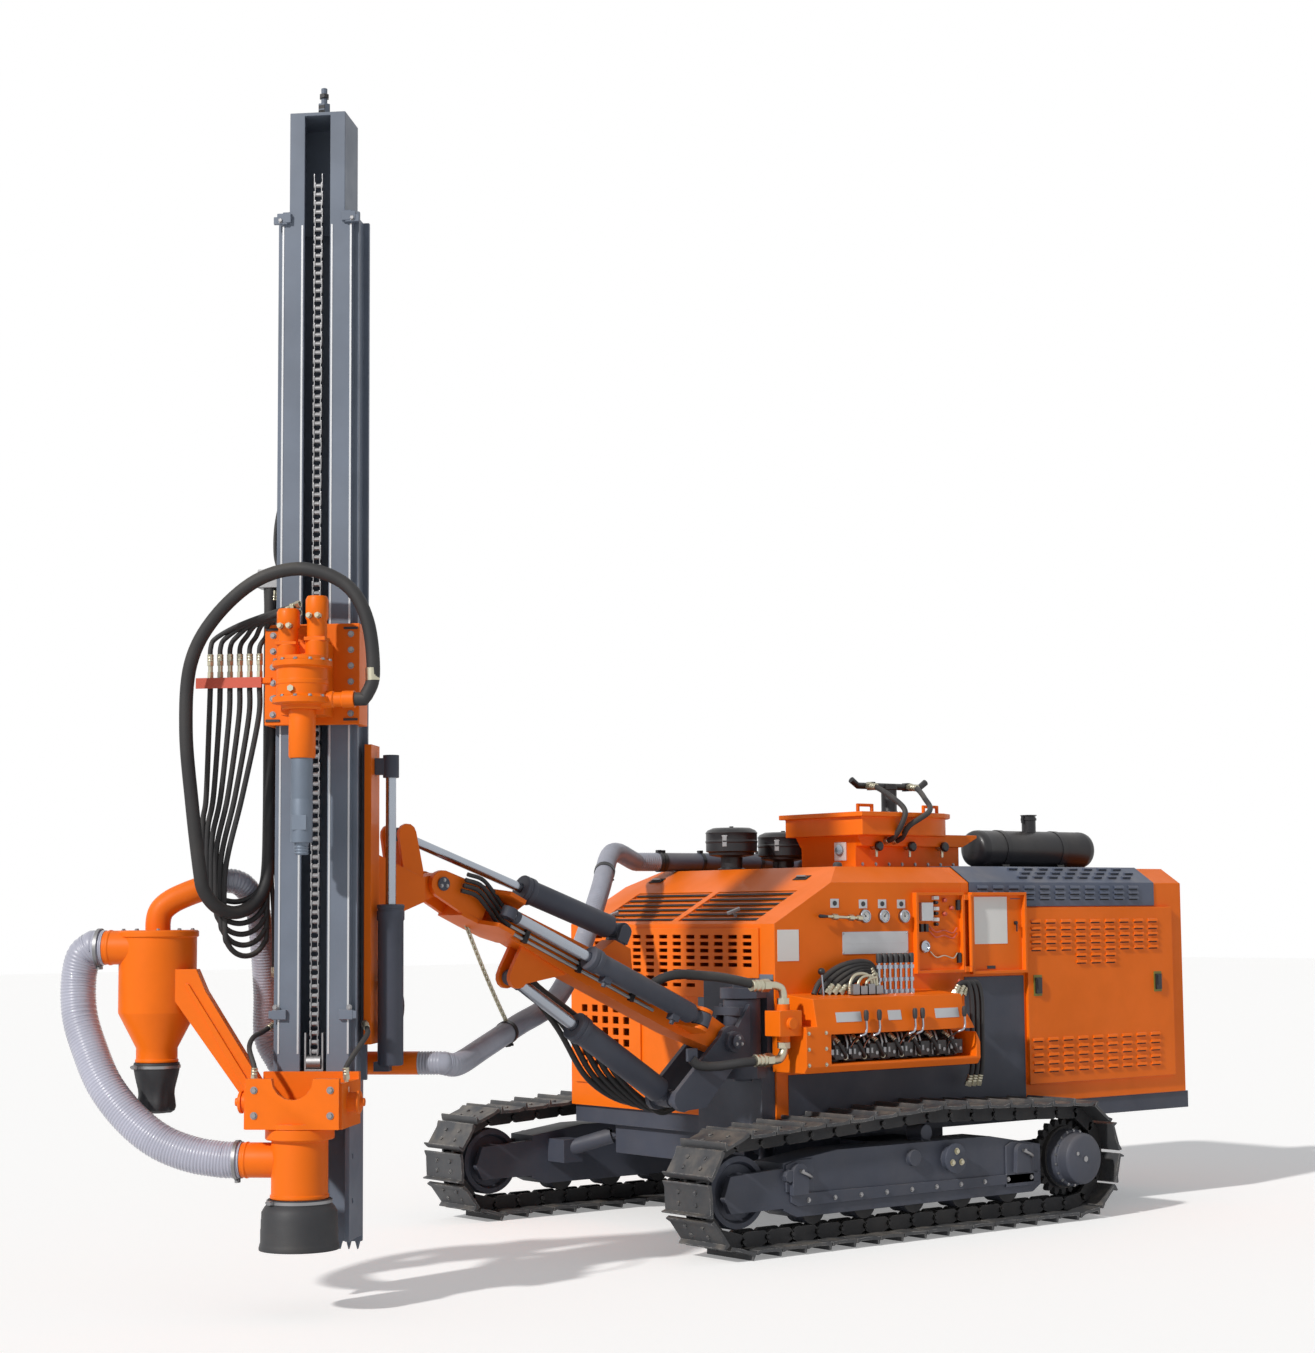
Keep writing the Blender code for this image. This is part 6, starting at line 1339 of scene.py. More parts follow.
def make_cyclone():
    """Dust separator: drum and cone, curved outlet, inlet, arm, rubber bag and hose bands."""
    place = upright(CYCLONE_W, CYCLONE_N)
    form = Form()
    form.turned([(0, 0.985), (0.085, 0.985), (0.089, 0.988), (0.089, 0.997), (0.085, 1.000), (0.085, 1.045),
                 (0.159, 1.188), (0.160, 1.193), (0.160, 1.500), (0.168, 1.504), (0.168, 1.524),
                 (0.162, 1.530), (0.05, 1.530), (0, 1.530)], place, 64)
    bend = [(0.67, 0.10, 1.50), (0.67, 0.10, 1.57), (0.655, 0.097, 1.615), (0.615, 0.087, 1.65),
            (0.56, 0.074, 1.677), (0.50, 0.06, 1.70)]
    form.tube(smooth_line([feed_point(*p) for p in bend], 6), 0.052, 36)
    inlet = axis_frame(feed_point(CYCLONE_W, 0.17, 1.46), feed_point(1, 0.17, 1.46))
    form.turned([(0, 0), (0.070, 0), (0.070, 0.17), (0.073, 0.174), (0.073, 0.182), (0.070, 0.186),
                 (0.070, 0.1998), (0, 0.1998)], inlet, 48)
    arm = [(0.56, 1.37), (0.47, 1.37), (0.43, 1.28), (0.2003, 0.92), (0.2003, 0.80), (0.2353, 0.80),
           (0.56, 1.24)]
    form.prism(arm, 0.160, 0.215, FEED, along="y")
    form.prism([(0.235, 0.90), (0.50, 1.31), (0.515, 1.31), (0.250, 0.86)], 0.150, 0.225, FEED, along="y")
    form.piece("cyclone_shown", "feed_beam", "orange", 0.002, ("cyclone",))
    ring("cyclone_lid_bolts", "feed_beam", "steel", bolt_form(0.007, 0.007), 10, 0.148,
         upright(CYCLONE_W, CYCLONE_N, 1.5302))
    bag = Form()
    outline = [(0.0, 0.9847), (0.093, 0.9847), (0.095, 0.975), (0.094, 0.958), (0.090, 0.935), (0.083, 0.905),
               (0.076, 0.875), (0.075, 0.855), (0.079, 0.830), (0.083, 0.805), (0.079, 0.790), (0.064, 0.780),
               (0.0, 0.779)]
    bag.turned(outline, place, 56)
    for index, corner in enumerate(bag.vertices):
        local = place.inverted() @ corner
        turn = math.atan2(local.y, local.x)
        limp = max(0.0, 0.955 - local.z) / 0.18
        crease = 0.06 * math.sin(5 * turn + 9 * local.z) + 0.035 * math.sin(11 * turn - 21 * local.z)
        fold = 1.0 - limp * (0.07 + crease)
        bag.vertices[index] = place @ Vector((local.x * fold, local.y * fold, local.z))
    bag.piece("cyclone_bag_shown", "feed_beam", "boot", 0.0, ("cyclone_bag",))
    bands = Form()
    clamp_band(bands, feed_point(CYCLONE_W, CYCLONE_N, 0.968), UP, 0.0955, 0.012)
    clamp_band(bands, feed_point(0.895, 0.17, 1.46), ACROSS, 0.0765, 0.014)
    slant = feed_point(0.50, 0.06, 1.70) - feed_point(0.40, 0.037, 1.73)
    clamp_band(bands, feed_point(0.462, 0.052, 1.711), slant, 0.0535, 0.014)
    bands.piece("cyclone_clamps", "feed_beam", "steel", 0.0)


def make_chain():
    """Roller chain in the beam's slot, and its tensioner."""
    pitch = 0.038
    link = Form()
    for z in (0.0, pitch):
        link.bar((-0.011, 0, z), (0.011, 0, z), 0.0105, 10)
        link.bar((-0.0195, 0, z), (0.0195, 0, z), 0.0055, 8)
    for near, far, low in ((0.0120, 0.0148, 0.0), (0.0158, 0.0186, pitch)):
        waist = [(-0.0135, low - 0.004), (-0.0120, low - 0.012), (0.0120, low - 0.012), (0.0135, low - 0.004),
                 (0.0100, low + pitch / 2), (0.0135, low + pitch + 0.004), (0.0120, low + pitch + 0.012),
                 (-0.0120, low + pitch + 0.012), (-0.0135, low + pitch + 0.004), (-0.0100, low + pitch / 2)]
        for low_x, high_x in ((near, far), (-far, -near)):
            link.prism(waist, low_x, high_x, along="x")
    piece = rows("feed_chain_shown", "feed_beam", "steel", link, 1, 49, (0, 0, 0), (0, 0, 2 * pitch),
                 upright(0, 0.103, 0.99))
    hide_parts("feed_chain")
    frame_bars = Form()
    for w in (-0.036, 0.036):
        frame_bars.block((w - 0.004, 0.085, 0.955), (w + 0.004, 0.118, 1.105), FEED)
    frame_bars.block((-0.040, 0.085, 0.945), (0.040, 0.118, 0.957), FEED)
    frame_bars.turned([(0, -0.030), (0.030, -0.030), (0.030, 0.030), (0, 0.030)],
                      axis_frame(feed_point(0, 0.101, 0.985), feed_point(1, 0.101, 0.985)), 28)
    frame_bars.piece("chain_tensioner", "feed_beam", "steel", 0.001)


def make_beam_details():
    """Slide stops with their bolts, worn slide strips, and the nuts on the tension screw."""
    bolt = bolt_form(0.009, 0.008)
    stops = Form()
    for z in (1.18, 4.52):
        for w in (-0.155, 0.155):
            stops.block((w - 0.030, BEAM_FRONT + 0.0003, z - 0.016),
                        (w + 0.030, BEAM_FRONT + 0.016, z + 0.016), FEED)
    stops.piece("slide_stops", "feed_beam", "beam", 0.002)
    for index, z in enumerate((1.21, 4.52)):
        rows(f"stop_bolts_{index}", "feed_beam", "steel", bolt, 2, 1, (0.31, 0, 0), (0, 0, 0),
             face(feed_point(0.155, BEAM_FRONT + 0.0162, z), -ACROSS))
    strips = Form()
    for w in (-0.146, -0.064, 0.064, 0.146):
        strips.block((w - 0.004, BEAM_FRONT + 0.0002, 1.02), (w + 0.004, BEAM_FRONT + 0.0022, 4.50), FEED)
    strips.piece("worn_slide_strips", "feed_beam", "plate", 0.0005)
    screw = Form()
    for z, radius, high in ((4.992, 0.034, 0.016), (5.010, 0.028, 0.020), (5.034, 0.028, 0.018),
                            (5.085, 0.022, 0.018)):
        screw.hexagon(feed_point(0, 0.02, z), feed_point(0, 0.02, z + high), radius)
    screw.piece("tension_nuts", "feed_beam", "black", 0.001)


def make_clamp_details():
    """Bolts, jaw caps, unions and jaw hoses of the lower clamp table."""
    bolt = bolt_form(0.011, 0.010)
    front = face(feed_point(0.155, 0.4552, 0.795), -ACROSS)
    rows("table_bolts", "feed_beam", "steel", bolt, 2, 2, (0.31, 0, 0), (0, 0.10, 0), front)
    caps = Form()
    for side in (-1, 1):
        start = feed_point(side * 0.2355, DRILL_N, 0.84)
        caps.turned([(0, 0), (0.046, 0), (0.046, 0.010), (0.040, 0.014), (0.018, 0.014), (0.016, 0.030),
                     (0, 0.030)],
                    axis_frame(start, start + ACROSS * side), 32)
    caps.piece("jaw_caps", "feed_beam", "orange", 0.001)
    unions = Form()
    for side in (-1, 1):
        start = feed_point(side * 0.19, DRILL_N, 0.879)
        unions.hexagon(start, start + UP * 0.022, 0.013)
        unions.bar(start + UP * 0.018, start + UP * 0.05, 0.009, 12)
    unions.piece("jaw_unions", "feed_beam", "zinc", 0.0)
    for side, label in ((-1, "left"), (1, "right")):
        points = [(side * 0.19, 0.33, 0.93), (side * 0.19, 0.33, 0.98), (side * 0.225, 0.28, 1.05),
                  (side * 0.235, 0.19, 1.09), (side * 0.22, 0.09, 1.11), (side * 0.19, 0.02, 1.14)]
        black_hose("jaw_hose_" + label, "feed_beam", [feed_point(*p) for p in points], 0.0105, 7)


def make_holder_cylinder():
    """Feed extension cylinder beside the holder: barrel on the holder, rod on the beam."""
    place = upright(-0.2719, -0.10)
    barrel = Form()
    barrel.turned([(0, 0.960), (0.050, 0.960), (0.054, 0.966), (0.054, 1.560), (0.058, 1.566), (0.058, 1.600),
                   (0.055, 1.604), (0.055, 1.610), (0.058, 1.614), (0.058, 1.626), (0.050, 1.630),
                   (0.0225, 1.630), (0.0225, 1.60), (0, 1.60)], place, 48)
    barrel.block((0.0, -0.03, 0.935), (0.066, 0.03, 0.975), place)
    barrel.block((-0.03, -0.075, 1.02), (0.02, -0.045, 1.06), place)
    barrel.block((-0.03, -0.075, 1.50), (0.02, -0.045, 1.54), place)
    barrel.piece("holder_cylinder_shown", "feed_holder", "slate", 0.0015, ("holder_cylinder_barrel",))
    rod = Form()
    rod.turned([(0, 1.602), (0.022, 1.602), (0.022, 2.170), (0, 2.170)], place, 40)
    rod.piece("holder_rod_shown", "feed_beam", "chrome", 0.0, ("holder_cylinder_rod",))
    lug = Form()
    lug.turned([(0, 2.162), (0.034, 2.162), (0.034, 2.258), (0, 2.258)], place, 36)
    lug.block((0.0, -0.024, 2.175), (0.0655, 0.024, 2.245), place)
    lug.piece("holder_rod_lug", "feed_beam", "slate", 0.0015)


def duct(name, body, line, radius, finish="duct", replaces=(), pitch=0.013, height=0.0016):
    """Ribbed hose along a route."""
    placed = [p + DATUM for p in line]
    mesh = grown("duct", curve_of(placed), Radius=radius - height, Rib_Pitch=pitch, Rib_Height=height,
                 Finish=FINISH[finish])
    closed_up(mesh)
    smoothed(mesh, 60)
    return dress(name, body, finish, mesh, 0.0, replaces)


def make_ducts():
    """Suction duct from the hood, outlet duct behind the beam and dust duct along the boom."""
    suction = [(0.2353, 0.33, 0.61), (0.31, 0.33, 0.61), (0.44, 0.33, 0.63), (0.58, 0.32, 0.68),
               (0.71, 0.30, 0.77), (0.83, 0.27, 0.90), (0.91, 0.23, 1.04), (0.97, 0.19, 1.18),
               (0.985, 0.17, 1.32), (0.965, 0.17, 1.42), (0.92, 0.17, 1.46), (0.8703, 0.17, 1.46)]
    duct("suction_duct", "feed_beam", hose_line([feed_point(*p) for p in suction]), 0.0735, "clear",
         ("suction_hose",))
    leave = (feed_point(0.50, 0.06, 1.70) - feed_point(0.69, 0.10, 1.585)).normalized()
    outlet = [feed_point(0.50, 0.06, 1.70) + leave * 0.0003, feed_point(0.50, 0.06, 1.70) + leave * 0.07]
    outlet += [feed_point(*p) for p in (
        (0.35, -0.01, 1.72), (0.305, -0.10, 1.62), (0.30, -0.17, 1.45), (0.30, -0.22, 1.25),
        (0.305, -0.25, 1.07), (0.25, -0.255, 0.96), (0.1703, -0.255, 0.96))]
    cord_duct("outlet_duct", hose_line(outlet), 0.052, ("outlet_hose",),
              ("feed_beam", "feed_holder", feed_point(0.31, -0.05, 1.68), feed_point(0.30, -0.25, 1.08)))
    pipe_end, roof_bend = Vector((0.24, -0.60, 1.8623)), Vector((-0.62, -0.52, 1.8623))
    outward = (pipe_end - roof_bend).normalized()
    dust = [pipe_end + outward * 0.0003, pipe_end + outward * 0.16]
    dust += [Vector(p) for p in ((0.74, -0.38, 1.90), (1.03, -0.10, 1.70), (1.34, 0.15, 1.41),
                                 (1.68, 0.40, 1.18), (2.02, 0.58, 1.08), (2.34, 0.78, 1.00),
                                 (2.64, 1.02, 0.95))]
    dust += [feed_point(-0.46, -0.255, 0.96), feed_point(-0.3603, -0.255, 0.96)]
    line = even_points(hose_line(dust), 0.02)[0]
    links = ("root", "swing_bracket", "boom", "boom_head", "feed_holder")
    quarter = (len(line) - 1) // 4
    clamps = {body: Form() for body in links}
    for i in range(4):
        last = (i + 1) * quarter if i < 3 else len(line) - 1
        part = line[i * quarter:last + 1]
        cord_duct(f"dust_duct_{i + 1}", part, 0.050, ("dust_hose",),
                  (links[i], links[i + 1], part[0], part[-1]))
        if i:
            clamp_band(clamps[links[i]], part[0], part[1] - part[0], 0.0508, 0.03)
    for body in links[1:4]:
        clamps[body].piece("duct_joint_" + body, body, "black", 0.001)


def cord_duct(name, line, radius, replaces, joint):
    """Ribbed duct that crosses one joint."""
    piece = duct(name, None, line, radius, "duct", replaces)
    near, far, start, end = joint
    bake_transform(piece, near, far, start=DATUM + start, end=DATUM + end)


def make_air_hose():
    """Thick air hose from the swivel over the head and down to the trailing loop."""
    route = [(-0.2203, 0.33, 2.46), (-0.26, 0.33, 2.46), (-0.295, 0.33, 2.56), (-0.27, 0.33, 2.78),
             (-0.18, 0.33, 2.93), (0, 0.33, 3.0), (0.20, 0.31, 2.96), (0.38, 0.30, 2.81), (0.48, 0.30, 2.62),
             (0.50, 0.29, 2.35), (0.475, 0.28, 2.05)]
    route += hanging_loop((0.445, 0.265), (0.240, -0.03), 1.60)
    route += [(0.235, -0.03, 2.0), (0.235, -0.03, 2.4), (0.235, -0.03, 2.85), (0.235, -0.03, 2.9697)]
    line = hose_line([feed_point(*p) for p in route], 8)
    form = Form()
    form.tube(line, 0.028, 24)
    piece = form.piece("air_hose_shown", None, "rubber", 0.0, ("air_hose",))
    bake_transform(piece, "carriage", "feed_beam", start=DATUM + feed_point(0.35, 0.16, 1.62),
             end=DATUM + feed_point(0.35, 0.0, 1.62))
    ends = Form()
    ends.turned([(0.0275, 0), (0.0291, 0), (0.0291, 0.05), (0.0275, 0.052)],
                axis_frame(feed_point(-0.293, 0.33, 2.535), feed_point(-0.291, 0.33, 2.60)), 28)
    ends.piece("air_hose_ferrule", "carriage", "zinc", 0.0)


make_rotation_head()
make_carriage_details()
make_drill_string()
make_hood()
make_cyclone()
make_chain()
make_beam_details()
make_clamp_details()
make_holder_cylinder()
make_ducts()
make_air_hose()


# Housing: louvres, latches, gauges, levers, valve bay and hoses on the control side

DOOR_Y = 0.8522
COVER_Y = 0.8366
BENCH_Y = 1.0803
REARWARD = Vector((-1, 0, 0))


def left_side(x, z, y=SIDE):
    """Frame on the left side wall: X to the rear, Y up, Z outwards."""
    return face((x, y, z), REARWARD)


def right_side(x, z, y=SIDE):
    """Frame on the right side wall: X to the front, Y up, Z outwards."""
    return face((x, -y, z), (1, 0, 0))


def louvres(name, body, finish, place, columns, row_count, step_x, step_y, width=0.076):
    """Pressed louvres in rows: hoods open below, over dark plates painted as the shade in their slots."""
    hood = Form()
    hood.prism([(0, 0), (0.0165, 0), (0.0130, 0.0042), (0.0045, 0.0094), (0, 0.0098)], -width / 2, width / 2,
               along="x")
    rows(name, body, finish, hood, columns, row_count, (step_x, 0, 0), (0, step_y, 0), place)
    # Dark plate under each hood: painted shade for the opening behind the louvre.
    slot_shade = Form()
    slot_shade.block((-width / 2 + 0.003, -0.0065, 0.0), (width / 2 - 0.003, -0.0003, 0.0007))
    rows(name + "_slots", body, "dark", slot_shade, columns, row_count, (step_x, 0, 0), (0, step_y, 0), place)


def make_side_doors():
    """Louvres and latches of both side doors, and the louvres of the cover and shoulder above."""
    for label, wall, sign, first in (("left", left_side, 1, -1.135), ("right", right_side, -1, -2.070)):
        body = "side_door_" + label
        louvres("door_louvres_top_" + label, body, "orange", wall(first, 1.520, DOOR_Y), 9, 5, 0.1169, -0.036)
        middle = first - sign * 0.1169 * 3 if sign > 0 else first + 0.1169 * 3
        louvres("door_louvres_mid_" + label, body, "orange", wall(middle, 1.340, DOOR_Y), 3, 2, 0.1169,
                -0.036)
        louvres("door_louvres_low_" + label, body, "orange", wall(first, 0.900, DOOR_Y), 9, 5, 0.1169, -0.040)
        paddles = Form()
        bezels = Form()
        for x in (-1.14, -2.10):
            place = wall(x, 1.19, DOOR_Y)
            paddles.block((-0.0215, -0.042, 0.0006), (0.0215, 0.042, 0.0150), place)
            paddles.block((-0.014, -0.020, 0.0150), (0.014, 0.034, 0.0185), place)
            bezels.block((-0.031, -0.055, 0.0001), (0.031, 0.055, 0.0035), place)
        paddles.piece("door_paddles_" + label, body, "black", 0.002)
        bezels.piece("door_bezels_" + label, body, "lime", 0.001)
        cover = wall(-0.755 if sign > 0 else -1.935, 1.700, COVER_Y)
        louvres("cover_louvres_" + label, "root", "louvre", cover, 11, 3, 0.118, -0.028)
        shoulder = Vector((0, -0.13, ROOF_Z - 1.73)) if sign > 0 else Vector((0, 0.13, ROOF_Z - 1.73))
        start = Vector((-1.10 if sign > 0 else -2.00, sign * (0.8366 - 0.036), 1.7330 + 0.0225))
        for index in range(3):
            shift = 0.059 * (index % 2) * (-sign)
            lift = shoulder.normalized() * (index * 0.042) + Vector((shift, 0, 0))
            place = face(start + lift, (-sign, 0, 0), shoulder)
            place = place @ Matrix.Translation((0, 0, 0.0012))
            louvres(f"shoulder_louvres_{label}_{index}", "root", "louvre", place, 8, 1, 0.118, 0, 0.066)


def make_gauges():
    """Pressure gauges with tick marks and needles, lamps over them, and the hand valve."""
    bezels = Form()
    dials = Form()
    needles = Form()
    ticks = Form()
    ticks.block((0.0175, -0.0006, 0.0), (0.0220, 0.0006, 0.0006))
    for index, (x, z, turn) in enumerate(((0.084, 1.562, 2.3), (-0.046, 1.561, 0.9), (-0.187, 1.560, 1.6))):
        place = left_side(x, z)
        bezels.turned([(0, 0), (0.033, 0), (0.034, 0.004), (0.034, 0.016), (0.031, 0.020), (0.0265, 0.020),
                       (0.0265, 0.013), (0, 0.013)], place, 40)
        dials.turned([(0, 0.0133), (0.0262, 0.0133), (0.0262, 0.0142), (0, 0.0142)], place, 32)
        needles.block((-0.004, -0.0010, 0.0143), (0.018, 0.0010, 0.0158),
                      place @ Matrix.Rotation(turn, 4, "Z"))
        needles.turned([(0, 0.0143), (0.004, 0.0143), (0.004, 0.0165), (0, 0.0165)], place, 16)
        ring(f"dial_ticks_{index}", "root", "black", ticks, 12, 0.0001,
             place @ Matrix.Translation((0, 0, 0.0143)))
    bezels.piece("gauge_bezels", "root", "chrome", 0.0)
    dials.piece("gauge_dials", "root", "dial", 0.0)
    needles.piece("gauge_needles", "root", "black", 0.0)
    lamps = Form()
    lenses = Form()
    for x, z in ((0.281, 1.627), (0.089, 1.623), (-0.042, 1.623), (-0.174, 1.622)):
        lamps.block((-0.028, -0.022, 0), (0.028, 0.022, 0.0025), left_side(x, z))
        lenses.turned([(0, 0.0027), (0.013, 0.0027), (0.012, 0.0060), (0, 0.0075)], left_side(x, z), 24)
    lamps.piece("lamp_plates", "root", "plate", 0.0005)
    lenses.piece("lamp_lenses", "root", "boot", 0.0)
    valve = Form()
    start, end = Vector((0.350, SIDE + 0.024, 1.562)), Vector((0.120, SIDE + 0.024, 1.552))
    valve.bar(start, end, 0.0075, 16)
    for share in (0.15, 0.62, 0.86):
        spot = start.lerp(end, share)
        valve.hexagon(spot, spot + (end - start).normalized() * 0.030, 0.0155)
    for share in (0.30, 0.75):
        spot = start.lerp(end, share)
        valve.bar(spot, spot - Vector((0, 0.0238, 0)), 0.006, 12)
    valve.piece("hand_valve", "root", "zinc", 0.0005)
    grip = Form()
    grip.turned([(0, 0), (0.006, 0.0), (0.009, 0.02), (0.009, 0.05), (0.005, 0.056), (0, 0.056)],
                axis_frame(start, start - (end - start)), 20)
    grip.piece("hand_valve_grip", "root", "black", 0.0)


def make_side_plates():
    """Blank data plates with rivets, a blank card, and the dark lower panels; the side one is slate paint and
    partly painted shade under the bench.
    """
    plates = Form()
    plates.block((-0.225, -0.055, 0), (0.225, 0.055, 0.0022), left_side(0.007, 1.430))
    plates.block((-0.215, -0.004, 0.0022), (0.215, 0.004, 0.0028), left_side(0.007, 1.430))
    plates.piece("blank_data_plate", "root", "plate", 0.0004)
    rivet = Form()
    rivet.turned([(0, 0), (0.005, 0), (0.0035, 0.0025), (0, 0.003)], sides=12)
    rows("data_plate_rivets", "root", "steel", rivet, 2, 2, (0.434, 0, 0), (0, 0.094, 0),
         left_side(0.224, 1.383, SIDE + 0.0024))
    card = Form()
    card.block((-0.069, -0.076, 0), (0.069, 0.076, 0.0014), left_side(0.589, 1.424))
    card.piece("blank_sign", "root", "paper", 0.0003)
    door_card = Form()
    door_card.block((-0.125, -0.122, 0), (0.125, 0.122, 0.0012), left_side(-0.800, 1.535, 0.8464))
    door_card.piece("blank_door_card", "electrical_door", "paper", 0.0003)
    key = Form()
    key.turned([(0, 0), (0.010, 0), (0.010, 0.012), (0, 0.014)], left_side(-0.985, 1.520, 0.8464), 20)
    key.block((-0.0035, -0.045, 0.010), (0.0035, 0.004, 0.015), left_side(-0.985, 1.520, 0.8464))
    key.block((-0.030, -0.008, 0), (0.030, 0.008, 0.002), left_side(-0.800, 1.292, 0.8464))
    key.piece("door_key", "electrical_door", "black", 0.0005)
    # Slate panel below the bench: partly the real slate paint and partly painted shade cast by the bench.
    lower = Form()
    lower.prism([(0.60, 0.598), (-1.055, 0.598), (-1.055, 1.245), (-0.615, 1.245), (-0.615, 0.800),
                 (0.60, 0.800)],
                SIDE, SIDE + 0.0035, along="y")
    lower.piece("lower_side_panel", "root", "slate", 0.001)
    front = Form()
    front.prism([(0.245, 0.62), (0.818, 0.62), (0.818, 1.285), (0.245, 1.285)], 0.6756, 0.6796, along="x")
    front.piece("front_shield", "root", "beam", 0.001)


def make_switches():
    """Breakers, toggles, buttons and wires in the recess behind the open door."""
    back = 0.8366
    grey = Form()
    grey.block((-0.040, -0.046, 0), (0.040, 0.046, 0.022), left_side(-0.335, 1.582, back))
    grey.block((-0.030, -0.018, 0.022), (0.030, 0.030, 0.0225), left_side(-0.335, 1.582, back))
    grey.piece("breaker_box", "root", "plate", 0.001)
    pale = Form()
    dark = Form()
    red = Form()
    for z in (1.640, 1.585, 1.530):
        pale.block((-0.019, -0.009, 0), (0.019, 0.009, 0.016), left_side(-0.405, z + 0.012, back))
        dark.turned([(0, 0), (0.009, 0), (0.009, 0.020), (0.006, 0.024), (0, 0.024)],
                    left_side(-0.405, z - 0.012, back), 20)
    for x, z in ((-0.470, 1.640), (-0.470, 1.57), (-0.520, 1.60)):
        red.turned([(0, 0), (0.011, 0), (0.011, 0.014), (0.008, 0.020), (0, 0.021)],
                   left_side(x, z, back), 20)
    for x in (-0.300, -0.335):
        dark.block((-0.009, -0.020, 0), (0.009, 0.020, 0.018), left_side(x, 1.500, back))
    for z in (1.615, 1.345):
        dark.block((-0.010, -0.026, 0), (0.010, 0.026, 0.016), left_side(-0.567, z, back))
    pale.piece("toggle_caps", "root", "dial", 0.001)
    dark.piece("toggle_bases", "root", "black", 0.0008)
    red.piece("push_buttons", "root", "red", 0.0)
    meter = Form()
    meter.turned([(0, 0), (0.030, 0), (0.031, 0.004), (0.031, 0.018), (0.026, 0.022), (0.018, 0.022),
                  (0.016, 0.018), (0, 0.018)], left_side(-0.322, 1.405, back), 36)
    meter.piece("meter_ring", "root", "chrome", 0.0)
    for index, (colour, z) in enumerate((("red", 1.478), ("red", 1.452), ("zinc", 1.350))):
        points = [(-0.36, back + 0.008, z + 0.03), (-0.40, back + 0.012, z), (-0.46, back + 0.010, z + 0.008),
                  (-0.52, back + 0.012, z - 0.006), (-0.555, back + 0.008, z + 0.02)]
        black_hose(f"panel_wire_{index}", "root", points, 0.0035, 6, False, colour)
    horn = Form()
    horn.turned([(0, 0), (0.010, 0), (0.012, 0.020), (0.006, 0.045), (0, 0.05)],
                axis_frame((-0.545, 0.865, 1.190), (-0.545, 0.865, 1.3)), 20)
    horn.piece("stop_knob", "root", "red", 0.0)


def make_lever(form, grips, x, lean=0.0, top=1.085):
    """Cranked hand lever that rises out of the valve bay in front of the sloped panel."""
    y = BENCH_Y + 0.014
    points = [(x + 0.035, y - 0.10, 0.90), (x + 0.035, y - 0.05, 0.965), (x + 0.034, y - 0.005, 0.988),
              (x + 0.010, y + 0.002, 0.998), (x, y + 0.002, 1.020), (x + lean, y, top - 0.02)]
    form.tube(smooth_line(points, 5), 0.0055, 10)
    spot = Vector((x + lean, y, top - 0.027))
    grips.turned([(0, 0), (0.009, 0.002), (0.012, 0.014), (0.0125, 0.040), (0.009, 0.052), (0, 0.054)],
                 axis_frame(spot, spot + UP), 16)


def make_bench():
    """Levers, blank plates and bolts on the bench, and the fittings in its open bay."""
    rods = Form()
    grips = Form()
    for x in (0.325, 0.238, -0.002, -0.054, -0.345):
        make_lever(rods, grips, x)
    rods.piece("lever_rods", "root", "chrome", 0.0)
    grips.piece("lever_grips", "root", "boot", 0.0)
    slope = (0, -0.03, 0.15)
    plates = Form()
    for near, far in ((0.336, 0.500), (0.068, 0.156), (-0.329, -0.165)):
        middle = face(((near + far) / 2, 1.0804 - 0.0125, 1.0800), REARWARD, slope)
        half = (far - near) / 2
        plates.block((-half, -0.024, 0.0004), (half, 0.024, 0.0022), middle)
    plates.piece("bench_blank_plates", "root", "plate", 0.0004)
    rows("bench_end_bolts", "root", "zinc", bolt_form(0.007, 0.007), 2, 3, (0.11, 0, 0), (0, -0.075, 0),
         left_side(0.685, 1.010, BENCH_Y))
    bay = Form()
    for i, shift in ((0, 0.0), (1, 0.028)):
        bay.bar((shift, -0.07, 0.012 + 0.01 * i), (shift, -0.03, 0.012 + 0.01 * i), 0.0075, 12)
        bay.hexagon((shift, -0.045, 0.03), (shift, -0.02, 0.03), 0.012)
        bay.tube([(shift, -0.03, 0.012), (shift, 0.005, 0.014), (shift - 0.004, 0.040, 0.004),
                  (shift - 0.004, 0.062, -0.03)],
                 0.007, 10)
    bay.turned([(0, 0.0), (0.015, 0.0), (0.015, 0.030), (0.009, 0.034), (0.009, 0.052), (0, 0.052)],
               Matrix.Translation((0.055, -0.045, -0.01)), 16)
    rows("bay_fittings", "root", "steel", bay, 8, 1, (0.115, 0, 0), (0, 0, 0), left_side(0.485, 0.945, 0.992))
    spools = Form()
    spools.block((-0.040, -0.065, -0.075), (0.040, 0.002, 0.0))
    spools.hexagon((0, -0.03, 0), (0, -0.03, 0.022), 0.016)
    rows("bay_spools", "root", "engine", spools, 8, 1, (0.115, 0, 0), (0, 0, 0),
         left_side(0.470, 0.930, 1.005), 0.002)
    for i in range(7):
        x = 0.46 - i * 0.125
        points = [(x, 1.00, 0.985), (x - 0.012, 1.03, 0.955), (x - 0.035, 1.038, 0.915),
                  (x - 0.062, 1.02, 0.885), (x - 0.085, 0.985, 0.875)]
        black_hose(f"bay_hose_{i}", "root", points, 0.0095, 6)
    # Dark plate at the back of the open bay: painted shade.
    painted_bay_shade = Form()
    painted_bay_shade.block((-0.438, 0.8606, 0.8615), (0.538, 0.8640, 0.999))
    painted_bay_shade.piece("bay_back", "root", "dark", 0.0)
    for i in range(3):
        x = -0.545 - i * 0.036
        points = [(x + 0.10, 0.92, 1.16), (x + 0.07, 0.935, 1.215), (x + 0.02, 0.945, 1.215), (x, 0.95, 1.14),
                  (x, 0.95, 1.0), (x, 0.945, 0.80), (x + 0.01, 0.92, 0.70)]
        black_hose(f"rear_bench_hose_{i}", "root", points, 0.0125)


